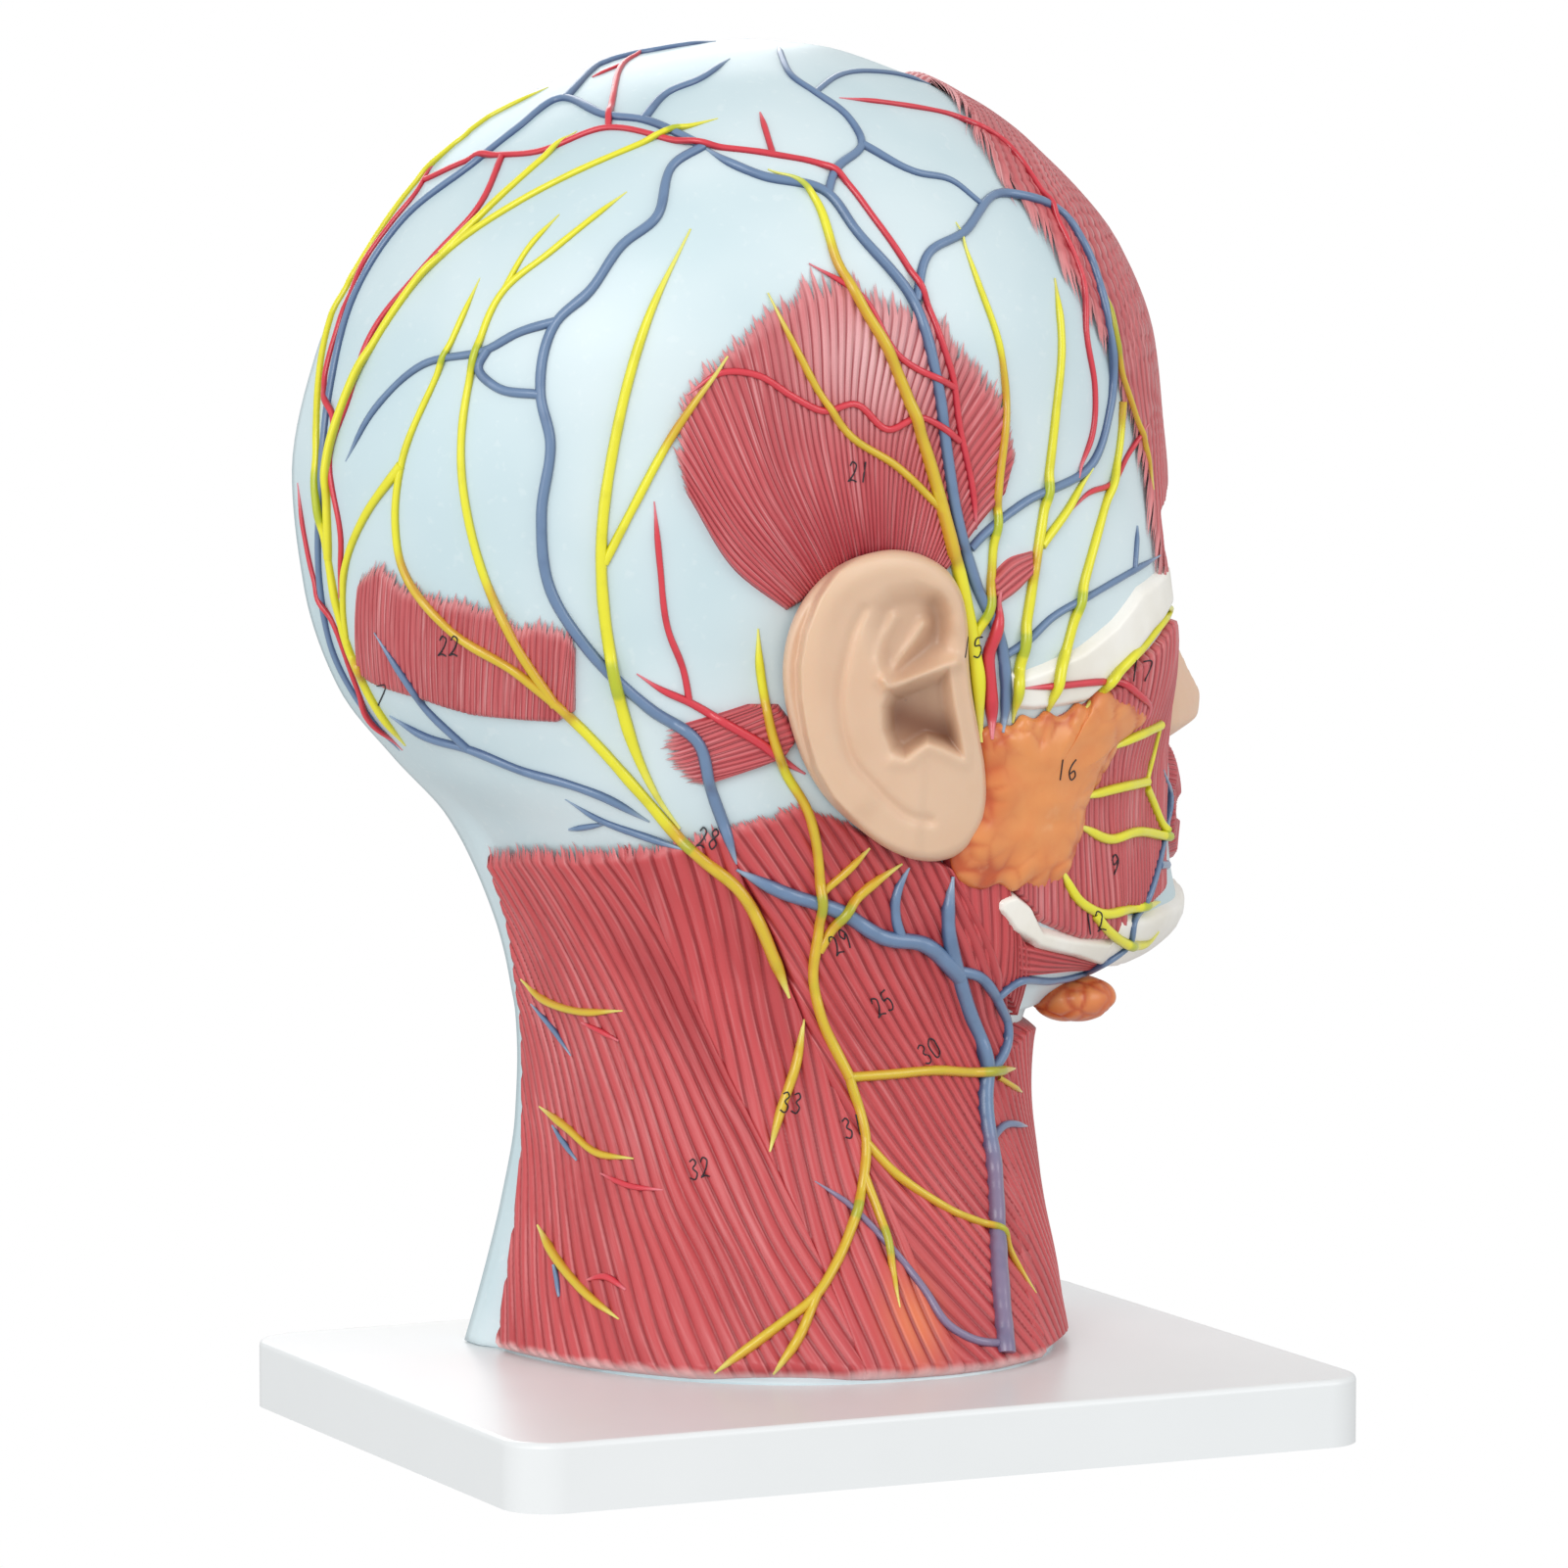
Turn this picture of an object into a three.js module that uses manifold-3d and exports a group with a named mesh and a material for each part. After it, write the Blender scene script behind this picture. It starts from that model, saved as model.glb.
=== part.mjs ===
// Anatomical teaching model: the right half of a head and neck, cut in the median plane and screwed to a
// rectangular display base. Millimetres, +Z up, +X the way the face looks, +Y towards the median cut.

import * as THREE from 'three';
import { mergeVertices } from 'three/addons/utils/BufferGeometryUtils.js';
import Module from 'manifold-3d';

const wasm = await Module();
wasm.setup();

// Display base
const baseLength = 192;
const baseWidth = 148;
const baseHeight = 14.2;
const baseWall = 3;
const baseCorner = 10;
const baseEdge = 1.4;
const baseEdgeSteps = 2;
const cornerSteps = 5;
const baseRim = 4;

// Rubber feet, and the posts that hold them up inside the base
const footRadius = 6;
const footHeight = 3;
const footProud = 0.8;
const footInset = 16;
const footPostWall = 3;

// Screws that hold the neck to the base, and the plug inside the neck that they bite
const screwRadius = 2;
const screwHeadRadius = 4;
const screwHeadHeight = 2.6;
const screwLength = 16;
const screwBossRadius = 7;
const plugHeight = 16;

// Head
const headHeight = 274.3;
const headLength = 200;
const headHalfWidth = 75;
const medianOffset = 46.6;
const shellWall = 3.5;
const muscleSink = 2.5;
const napeStrip = 6;

// Raised pieces on the outer side: how far each kind stands above the head's surface
const fit = 0.3;
const muscleProud = 1.5;
const neckMuscleProud = 0.7;
const boneProud = 1.8;
const glandProud = 4.6;
const eyeRadius = 12;
const eyeProud = 2;
const orbitWall = 3;
const noseReach = 15;
const noseHalfWidth = 17;
const submandibularRadius = 8.6;

// Ear
const earRise = 14;
const earFrontRise = 6;
const earThickness = 2.6;

// Vessels and nerves: half widths
const veinRadius = 1.0;
const jugularRadius = 2.1;
const arteryRadius = 0.75;
const nerveRadius = 1.1;
const twigRadius = 0.65;

// Median side
const plateThickness = 4;
const plateRecess = 8;
const reliefInset = 0.8;
const brainBone = 6;
const sulcusDepth = 2.2;
const sulcusHalfWidth = 2;
const sulcusStep = 8;

// Spare length on a cutting body
const overrun = 2;

// How finely curved surfaces are divided
const turnSteps = 22;
const innerTurnSteps = 14;
const outlineSteps = 3;
const roundSteps = 16;

const degrees = Math.PI / 180;

// Solids

function manifoldOf(positions, faces) {
  return new wasm.Manifold(new wasm.Mesh({ numProp: 3, vertProperties: positions, triVerts: faces }));
}

// A closed mesh as a solid, its faces turned to point outwards whichever way round it was drawn.
function solid(geometry) {
  const bare = geometry.index ? geometry.toNonIndexed() : geometry.clone();
  for (const name of Object.keys(bare.attributes)) {
    if (name !== 'position') bare.deleteAttribute(name);
  }
  const merged = mergeVertices(bare, fit / 1000);
  const positions = new Float32Array(merged.attributes.position.array);
  const faces = new Uint32Array(merged.index.array).filter(sound(merged.index.array));
  const body = manifoldOf(positions, faces);
  if (body.volume() > 0) return body;
  for (let i = 0; i < faces.length; i += 3) [faces[i], faces[i + 1]] = [faces[i + 1], faces[i]];
  return manifoldOf(positions, faces);
}

// Keeps the triangles that still have three different corners once vertices are merged.
function sound(index) {
  return (_, i) => {
    const [a, b, c] = index.slice(i - i % 3, i - i % 3 + 3);
    return a !== b && b !== c && c !== a;
  };
}

function geometryOf(body) {
  const mesh = body.getMesh();
  const geometry = new THREE.BufferGeometry();
  geometry.setAttribute('position', new THREE.BufferAttribute(new Float32Array(mesh.vertProperties), 3));
  geometry.setIndex(new THREE.BufferAttribute(new Uint32Array(mesh.triVerts), 1));
  geometry.computeVertexNormals();
  return geometry;
}

function triangles(points, faces) {
  const geometry = new THREE.BufferGeometry();
  const numbers = points.flatMap((p) => [p.x, p.y, p.z]);
  geometry.setAttribute('position', new THREE.Float32BufferAttribute(numbers, 3));
  geometry.setIndex(faces.flat());
  geometry.computeVertexNormals();
  return geometry;
}

// A body through rings of points that run the same way round; each end closes on its own point.
function loft(rings, firstPoint, lastPoint) {
  const count = rings[0].length;
  const points = [...rings.flat(), firstPoint, lastPoint];
  const first = points.length - 2;
  const last = points.length - 1;
  const top = (rings.length - 1) * count;
  const faces = [];
  for (let i = 0; i < count; i++) {
    const j = (i + 1) % count;
    for (let r = 0; r < top; r += count) {
      faces.push([r + i, r + j, r + count + j], [r + i, r + count + j, r + count + i]);
    }
    faces.push([first, j, i], [last, top + i, top + j]);
  }
  return triangles(points, faces);
}

// A slab between an upper and a lower grid of points, each grid a list of rows.
function slab(upper, lower) {
  const rows = upper.length;
  const columns = upper[0].length;
  const points = [...upper.flat(), ...lower.flat()];
  const under = rows * columns;
  const faces = [];
  const at = (r, c) => r * columns + c;
  for (let r = 0; r + 1 < rows; r++) {
    for (let c = 0; c + 1 < columns; c++) {
      const [p, q, s, t] = [at(r, c), at(r, c + 1), at(r + 1, c + 1), at(r + 1, c)];
      faces.push([p, q, s], [p, s, t], [under + p, under + s, under + q], [under + p, under + t, under + s]);
    }
  }
  const edge = [];
  for (let c = 0; c + 1 < columns; c++) edge.push(at(0, c));
  for (let r = 0; r + 1 < rows; r++) edge.push(at(r, columns - 1));
  for (let c = columns - 1; c > 0; c--) edge.push(at(rows - 1, c));
  for (let r = rows - 1; r > 0; r--) edge.push(at(r, 0));
  edge.forEach((p, i) => {
    const q = edge[(i + 1) % edge.length];
    faces.push([p, under + p, under + q], [p, under + q, q]);
  });
  return triangles(points, faces);
}

// A slab whose grid closes on itself round a middle: rings of upper and lower points.
function disc(upper, lower, upperMiddle, lowerMiddle) {
  const count = upper[0].length;
  const rings = upper.length;
  const points = [...upper.flat(), ...lower.flat(), upperMiddle, lowerMiddle];
  const under = rings * count;
  const [top, bottom] = [points.length - 2, points.length - 1];
  const faces = [];
  const outer = (rings - 1) * count;
  for (let i = 0; i < count; i++) {
    const j = (i + 1) % count;
    for (let r = 0; r < outer; r += count) {
      const [p, q, s, t] = [r + i, r + j, r + count + j, r + count + i];
      faces.push([p, s, q], [p, t, s], [under + p, under + q, under + s], [under + p, under + s, under + t]);
    }
    faces.push([top, i, j], [bottom, under + j, under + i]);
    faces.push([outer + i, under + outer + i, under + outer + j], [outer + i, under + outer + j, outer + j]);
  }
  return triangles(points, faces);
}

// A body cut back wherever it would come nearer to another one than the fit.
function clearOf(body, other) {
  const moves = [[0, 0, 0], [fit, 0, 0], [-fit, 0, 0], [0, fit, 0], [0, -fit, 0], [0, 0, fit], [0, 0, -fit]];
  return moves.reduce((left, move) => left.subtract(other.translate(move)), body);
}

const join = (bodies) => bodies.reduce((sum, body) => sum.add(body));

function placed(geometry, x, y, z) {
  geometry.translate(x, y, z);
  return solid(geometry);
}

function uprightCylinder(radius, height, x, y, bottom) {
  const geometry = new THREE.CylinderGeometry(radius, radius, height, roundSteps);
  geometry.rotateX(Math.PI / 2);
  return placed(geometry, x, y, bottom + height / 2);
}

// The head's surface. Each level gives, as shares of the head's height, length or half width: its height,
// how far back and how far forward it reaches, its half width, where it is widest, and how full its back
// and its front are.

const levelShares = [
  [0, -0.285, 0.345, 1.16, 0.06, 2.3, 2.15],
  [0.047, -0.265, 0.345, 1.067, 0.05, 2.3, 2.15],
  [0.109, -0.242, 0.34, 0.947, 0.04, 2.3, 2.15],
  [0.171, -0.226, 0.34, 0.853, 0.03, 2.3, 2.1],
  [0.219, -0.223, 0.345, 0.813, 0.025, 2.3, 2.1],
  [0.252, -0.225, 0.37, 0.8, 0.02, 2.3, 2.0],
  [0.273, -0.23, 0.44, 0.8, 0.02, 2.3, 1.9],
  [0.292, -0.235, 0.5, 0.8, 0.02, 2.3, 2.0],
  [0.317, -0.244, 0.525, 0.813, 0.02, 2.3, 2.1],
  [0.365, -0.27, 0.515, 0.84, 0.015, 2.3, 2.25],
  [0.408, -0.303, 0.515, 0.867, 0.01, 2.3, 2.3],
  [0.456, -0.365, 0.505, 0.893, 0.005, 2.2, 2.4],
  [0.51, -0.425, 0.498, 0.927, 0, 2.1, 2.5],
  [0.587, -0.463, 0.495, 0.96, -0.02, 2.1, 2.6],
  [0.674, -0.476, 0.488, 0.98, -0.04, 2.1, 2.35],
  [0.766, -0.448, 0.475, 1, -0.04, 2.1, 2.3],
  [0.839, -0.393, 0.438, 0.953, -0.04, 2.1, 2.2],
  [0.9, -0.326, 0.368, 0.827, -0.03, 2.1, 2.1],
  [0.948, -0.238, 0.285, 0.653, -0.015, 2.05, 2.05],
  [0.977, -0.145, 0.2, 0.46, 0, 2, 2],
  [0.995, -0.04, 0.12, 0.227, 0.025, 2, 2],
  [1, 0.045, 0.045, 0, 0.045, 2, 2],
];
const lastLevel = levelShares.length - 1;

// Slope of a column at a level, chosen so that the curve through the levels never overshoots them.
function slopeAt(column, level) {
  const value = (i) => levelShares[i][column];
  if (level === 0) return value(1) - value(0);
  if (level === lastLevel) return value(lastLevel) - value(lastLevel - 1);
  const before = value(level) - value(level - 1);
  const after = value(level + 1) - value(level);
  return before * after > 0 ? 2 * before * after / (before + after) : 0;
}
const levelSlopes = levelShares.map((row, level) => row.map((_, column) => slopeAt(column, level)));

function shareAt(column, level) {
  const i = Math.min(Math.floor(level), lastLevel - 1);
  const t = level - i;
  const [a, b] = [levelShares[i][column], levelShares[i + 1][column]];
  const [ma, mb] = [levelSlopes[i][column], levelSlopes[i + 1][column]];
  const [t2, t3] = [t * t, t * t * t];
  return (2 * t3 - 3 * t2 + 1) * a + (t3 - 2 * t2 + t) * ma + (3 * t2 - 2 * t3) * b + (t3 - t2) * mb;
}

function levelOf(z) {
  const share = THREE.MathUtils.clamp(z / headHeight, 0, 1);
  let [low, high] = [0, lastLevel];
  for (let i = 0; i < 22; i++) {
    const middle = (low + high) / 2;
    if (shareAt(0, middle) < share) low = middle;
    else high = middle;
  }
  return (low + high) / 2;
}

function sectionAt(level) {
  const widest = shareAt(4, level) * headLength;
  return {
    widest,
    back: widest - shareAt(1, level) * headLength,
    front: shareAt(2, level) * headLength - widest,
    width: shareAt(3, level) * headHalfWidth,
    backRound: shareAt(5, level),
    frontRound: shareAt(6, level),
  };
}

// Point of the surface at a level, turned from the front (0) to the back (180 degrees).
function headPoint(level, angle) {
  const s = sectionAt(level);
  const [c, d] = [Math.cos(angle), Math.sin(angle)];
  const power = 2 / (c > 0 ? s.frontRound : s.backRound);
  const reach = c > 0 ? s.front : s.back;
  const x = s.widest + reach * Math.sign(c) * Math.abs(c) ** power;
  return new THREE.Vector3(x, -s.width * Math.abs(d) ** power, shareAt(0, level) * headHeight);
}

// Below 1 inside the head, above 1 outside it.
function fieldAt(p) {
  if (p.z > headHeight) return 1 + (p.z - headHeight) / headHeight * lastLevel;
  const s = sectionAt(levelOf(p.z));
  const ahead = p.x > s.widest;
  const power = ahead ? s.frontRound : s.backRound;
  const along = Math.abs(p.x - s.widest) / Math.max(ahead ? s.front : s.back, fit);
  return along ** power + (Math.abs(p.y) / Math.max(s.width, fit)) ** power;
}

const fieldStep = headHeight / 1000;

function gradientAt(p) {
  const sides = ['x', 'y', 'z'].map((axis) => {
    const [low, high] = [p.clone(), p.clone()];
    low[axis] -= fieldStep;
    high[axis] += fieldStep;
    if (high.z > headHeight) return (fieldAt(p) - fieldAt(low)) / fieldStep;
    return (fieldAt(high) - fieldAt(low)) / (2 * fieldStep);
  });
  return new THREE.Vector3(...sides);
}

const normalAt = (p) => gradientAt(p).normalize();

function pulledToSurface(point) {
  const p = point.clone();
  for (let i = 0; i < 6; i++) {
    const slope = gradientAt(p);
    const longest = headHalfWidth / 10;
    const move = THREE.MathUtils.clamp((1 - fieldAt(p)) / slope.length(), -longest, longest);
    p.addScaledVector(slope.normalize(), move);
    p.y = Math.min(p.y, 0);
    p.z = THREE.MathUtils.clamp(p.z, 0, headHeight - fieldStep);
  }
  return p;
}

// Soft rises and hollows of the face: place across and up as shares, height, and how wide they spread.
const faceForms = [
  { acrossShare: 0.375, upShare: 0.583, rise: -8, spread: 13 },
  { acrossShare: 0.62, upShare: 0.535, rise: 2.5, spread: 15 },
  { acrossShare: 0.58, upShare: 0.42, rise: -3, spread: 17 },
  { acrossShare: 0.1, upShare: 0.4, rise: 3.5, spread: 13 },
  { acrossShare: 0.1, upShare: 0.352, rise: -2.5, spread: 8 },
  { acrossShare: 0.12, upShare: 0.318, rise: 3, spread: 12 },
  { acrossShare: 0.25, upShare: 0.64, rise: 2, spread: 13 },
];

function faceRise(p) {
  if (p.x < headLength / 10) return 0;
  return faceForms.reduce((sum, form) => {
    const across = p.y + form.acrossShare * headHalfWidth;
    const up = p.z - form.upShare * headHeight;
    return sum + form.rise * Math.exp(-(across * across + up * up) / (form.spread * form.spread));
  }, 0);
}

// Under the neck muscles the shell is sunk, except along the bare strip at the nape.
const sinkTopShare = 0.45;
const sinkFullShare = 0.36;

function sinkAt(p) {
  const low = THREE.MathUtils.smoothstep(sinkTopShare - p.z / headHeight, 0, sinkTopShare - sinkFullShare);
  const off = p.x > 0 ? 1 : THREE.MathUtils.smoothstep(-p.y, napeStrip, 2 * napeStrip);
  return muscleSink * low * off * (p.x > headLength / 4 && p.z > headHeight / 4 ? 0 : 1);
}

function lifted(p, lift) {
  return p.clone().addScaledVector(normalAt(p), lift + faceRise(p));
}

// Half head closed across the median plane, moved in from the surface, running past the cut by a reach.
function halfHead(inset, steps, levelStep, reach, drop) {
  const rings = [];
  const crown = 1 - inset / headHeight;
  for (let level = 0; level < lastLevel - levelStep / 2; level += levelStep) {
    const ring = [];
    for (let i = 0; i <= steps; i++) {
      const p = headPoint(level, Math.PI * i / steps);
      const q = lifted(p, -inset - sinkAt(p));
      q.z = Math.min(q.z, crown * headHeight - fieldStep * (lastLevel - level));
      if (level === 0) q.z = 0;
      q.y = i === 0 || i === steps ? 0 : Math.min(q.y, -fieldStep);
      ring.push(q);
    }
    const ends = [ring[0], ring[steps]].map((p) => new THREE.Vector3(p.x, reach, p.z));
    rings.push(reach > 0 ? [ends[0], ...ring, ends[1]] : ring);
  }
  if (drop > 0) rings.unshift(rings[0].map((p) => p.clone().setZ(-drop)));
  const middle = (z) => new THREE.Vector3(shareAt(1, lastLevel) * headLength, reach, z);
  return solid(loft(rings, middle(-drop), middle(crown * headHeight)));
}

// Where the picture was taken from, in shares of the head's height, and its lens in picture units. A head of
// other proportions is seen as if the picture were stretched with it.
const sightAzimuth = -25.1 * degrees;
const sightElevation = 5.87 * degrees;
const sightDistanceShare = 7;
const aimForwardShare = 0.142;
const aimAcrossShare = 0.1643;
const aimUpShare = 0.401;
const picturedLengthShare = 0.72913;
const picturedHalfWidthShare = 0.27342;
const pictureFocal = 8914;
const pictureMiddle = 800.5;

const sightBack = new THREE.Vector3(
  Math.sin(sightAzimuth) * Math.cos(sightElevation),
  -Math.cos(sightAzimuth) * Math.cos(sightElevation),
  Math.sin(sightElevation),
);
const sightRight = new THREE.Vector3(-sightBack.y, sightBack.x, 0).normalize();
const sightUp = new THREE.Vector3().crossVectors(sightBack, sightRight);
const pictureStretch = new THREE.Vector3(
  headLength / (headHeight * picturedLengthShare), headHalfWidth / (headHeight * picturedHalfWidthShare), 1,
);
const eyePoint = new THREE.Vector3(aimForwardShare, aimAcrossShare, aimUpShare)
  .addScaledVector(sightBack, sightDistanceShare)
  .multiplyScalar(headHeight)
  .multiply(pictureStretch);

function sightLine([across, down]) {
  return sightBack.clone().negate()
    .addScaledVector(sightRight, (across - pictureMiddle) / pictureFocal)
    .addScaledVector(sightUp, (pictureMiddle - down) / pictureFocal)
    .normalize()
    .multiply(pictureStretch);
}

// The point of the head that a pixel of the picture shows; past the outline, the nearest point to it.
function seen(pixel) {
  const line = sightLine(pixel);
  const far = (sightDistanceShare + 0.6) * headHeight;
  const stride = headHeight / 120;
  const at = (distance) => eyePoint.clone().addScaledVector(line, distance);
  let [nearest, least] = [0, Infinity];
  for (let d = (sightDistanceShare - 0.7) * headHeight; d < far; d += stride) {
    const value = fieldAt(at(d));
    if (value < least) [nearest, least] = [d, value];
    if (value < 1) {
      let [out, inside] = [d - stride, d];
      for (let i = 0; i < 14; i++) {
        const middle = (out + inside) / 2;
        if (fieldAt(at(middle)) < 1) inside = middle;
        else out = middle;
      }
      nearest = out;
      break;
    }
  }
  return pulledToSurface(at(nearest));
}

// A point of the front of the face: across from the median plane and up, in shares.
function facing(acrossShare, upShare) {
  const z = upShare * headHeight;
  const s = sectionAt(levelOf(z));
  const across = Math.min(acrossShare * headHalfWidth, s.width * 0.999);
  const x = s.widest + s.front * (1 - (across / s.width) ** s.frontRound) ** (1 / s.frontRound);
  return new THREE.Vector3(x, -across, z);
}

// A point by its turn from the front in degrees and its height share.
const turned = (angle, upShare) => headPoint(levelOf(upShare * headHeight), angle * degrees);

const surfacePoint = (place) => (place.isVector3 ? place : seen(place));

function spaced(line, count) {
  const lengths = [0];
  for (let i = 1; i < line.length; i++) lengths.push(lengths[i - 1] + line[i].distanceTo(line[i - 1]));
  return Array.from({ length: count }, (_, k) => {
    const want = lengths[lengths.length - 1] * k / (count - 1);
    let i = 1;
    while (i < line.length - 1 && lengths[i] < want) i++;
    return line[i - 1].clone().lerp(line[i], (want - lengths[i - 1]) / (lengths[i] - lengths[i - 1]));
  });
}

// What already stands on the surface, so that what crosses it later rises over it.
const standing = [];

function remember(p, top, reach) {
  standing.push({ p, top, reach });
}

function standingAt(p, radius) {
  let top = -sinkAt(p);
  for (const item of standing) {
    const apart = radius + item.reach;
    if (item.top > top && item.p.distanceToSquared(p) < apart * apart) top = item.top;
  }
  return top;
}

// A muscle, laid as rows across its fibres; each place is a pixel of the picture or a surface point.
function muscleSheet(rows, { columns = 8, between = 2, low, high }) {
  const lines = rows.map((row) => spaced(row.map(surfacePoint), columns));
  const grid = [];
  lines.forEach((line, r) => {
    if (r + 1 === lines.length) {
      grid.push(line.map(pulledToSurface));
      return;
    }
    for (let k = 0; k < between; k++) {
      grid.push(line.map((p, c) => pulledToSurface(p.clone().lerp(lines[r + 1][c], k / between))));
    }
  });
  const reach = headHeight / 110;
  grid.forEach((line, r) => line.forEach((p, c) => {
    const right = line[c + 1];
    const below = grid[r + 1] && grid[r + 1][c];
    const corner = grid[r + 1] && grid[r + 1][c + 1];
    remember(p, high, reach);
    if (right && below && corner) {
      const steps = Math.ceil(Math.max(p.distanceTo(right), p.distanceTo(below)) / reach);
      for (let i = 0; i < steps; i++) {
        for (let j = 0; j < steps; j++) {
          const upper = p.clone().lerp(right, i / steps);
          remember(upper.lerp(below.clone().lerp(corner, i / steps), j / steps), high, reach);
        }
      }
    }
  }));
  const above = (q) => q.setZ(Math.max(q.z, 0));
  const upper = grid.map((line) => line.map((p) => above(lifted(p, high))));
  const lower = grid.map((line) => line.map((p) => above(lifted(p, low - sinkAt(p)))));
  return solid(slab(upper, lower));
}

// A vessel's or nerve's way over the surface: where it runs, how wide it is there and how high it must lie.
const strandStep = headHeight / 150;
const strandClimb = 0.45;
const strandSlack = fit;

function laid({ route, from, to = from }) {
  const places = route.map(surfacePoint);
  const total = places.reduce((sum, p, i) => (i ? sum + p.distanceTo(places[i - 1]) : 0), 0);
  const path = spaced(places, Math.max(Math.ceil(total / strandStep), 2) + 1).map(pulledToSurface);
  const radii = path.map((_, i) => from + (to - from) * i / (path.length - 1));
  const need = path.map((p, i) => standingAt(p, radii[i] + fit) + fit + strandSlack / 2);
  return { path, radii, need };
}

// Height along the way: never below what is needed, and rising and falling gently.
function eased(need) {
  return need.map((_, i) => need.reduce((most, value, j) => (
    Math.max(most, value - Math.max(Math.abs(i - j) - 1, 0) * strandStep * strandClimb)
  ), -muscleSink));
}

// The stops that a way keeps when its nearly straight stretches are drawn as one.
function stopsOf(middle) {
  const kept = new Set([0, middle.length - 1]);
  const split = (a, b) => {
    let [worst, at] = [0, -1];
    const chord = new THREE.Line3(middle[a], middle[b]);
    for (let i = a + 1; i < b; i++) {
      const off = chord.closestPointToPoint(middle[i], true, new THREE.Vector3()).distanceTo(middle[i]);
      if (off > worst) [worst, at] = [off, i];
    }
    if (worst > strandSlack) {
      kept.add(at);
      split(a, at);
      split(at, b);
    }
  };
  split(0, middle.length - 1);
  return [...kept].sort((a, b) => a - b);
}

const centreOf = (ring) => ring.reduce((sum, p) => sum.add(p), new THREE.Vector3()).divideScalar(ring.length);

// The strand itself: flat below, two bevels above.
function strand({ path, radii }, lift) {
  const middle = path.map((p, i) => lifted(p, lift[i]));
  const stops = stopsOf(middle);
  const rings = stops.map((i, k) => {
    const before = middle[stops[Math.max(k - 1, 0)]];
    const after = middle[stops[Math.min(k + 1, stops.length - 1)]];
    const n = normalAt(path[i]);
    const side = new THREE.Vector3().crossVectors(after.clone().sub(before), n).normalize();
    const at = (across, up) => middle[i].clone()
      .addScaledVector(side, across * radii[i])
      .addScaledVector(n, up * radii[i] + strandSlack);
    return [at(-1, 0), at(-0.55, 1), at(0.55, 1), at(1, 0)];
  });
  return solid(loft(rings, centreOf(rings[0]), centreOf(rings[rings.length - 1])));
}

// A branching vessel or nerve. Where a branch ends on another one, both lie at the same height.
function tree(routes) {
  const ways = routes.map(laid);
  let lifts = ways.map(({ need }) => eased(need));
  for (let pass = 0; pass < 3; pass++) {
    ways.forEach((way, s) => [0, way.path.length - 1].forEach((end) => ways.forEach((other, o) => {
      if (o === s) return;
      const gaps = other.path.map((p) => p.distanceTo(way.path[end]));
      const j = gaps.indexOf(Math.min(...gaps));
      if (gaps[j] > other.radii[j] + way.radii[end] + strandStep) return;
      const level = Math.max(lifts[s][end], lifts[o][j]);
      way.need[end] = level;
      other.need[j] = level;
    })));
    lifts = ways.map(({ need }) => eased(need));
  }
  ways.forEach(({ path, radii }, s) => path.forEach((p, i) => {
    remember(p, lifts[s][i] + radii[i] + strandSlack, radii[i]);
  }));
  return join(ways.map((way, s) => strand(way, lifts[s])));
}

// The picture's routes and outlines, in its own pixels

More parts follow.
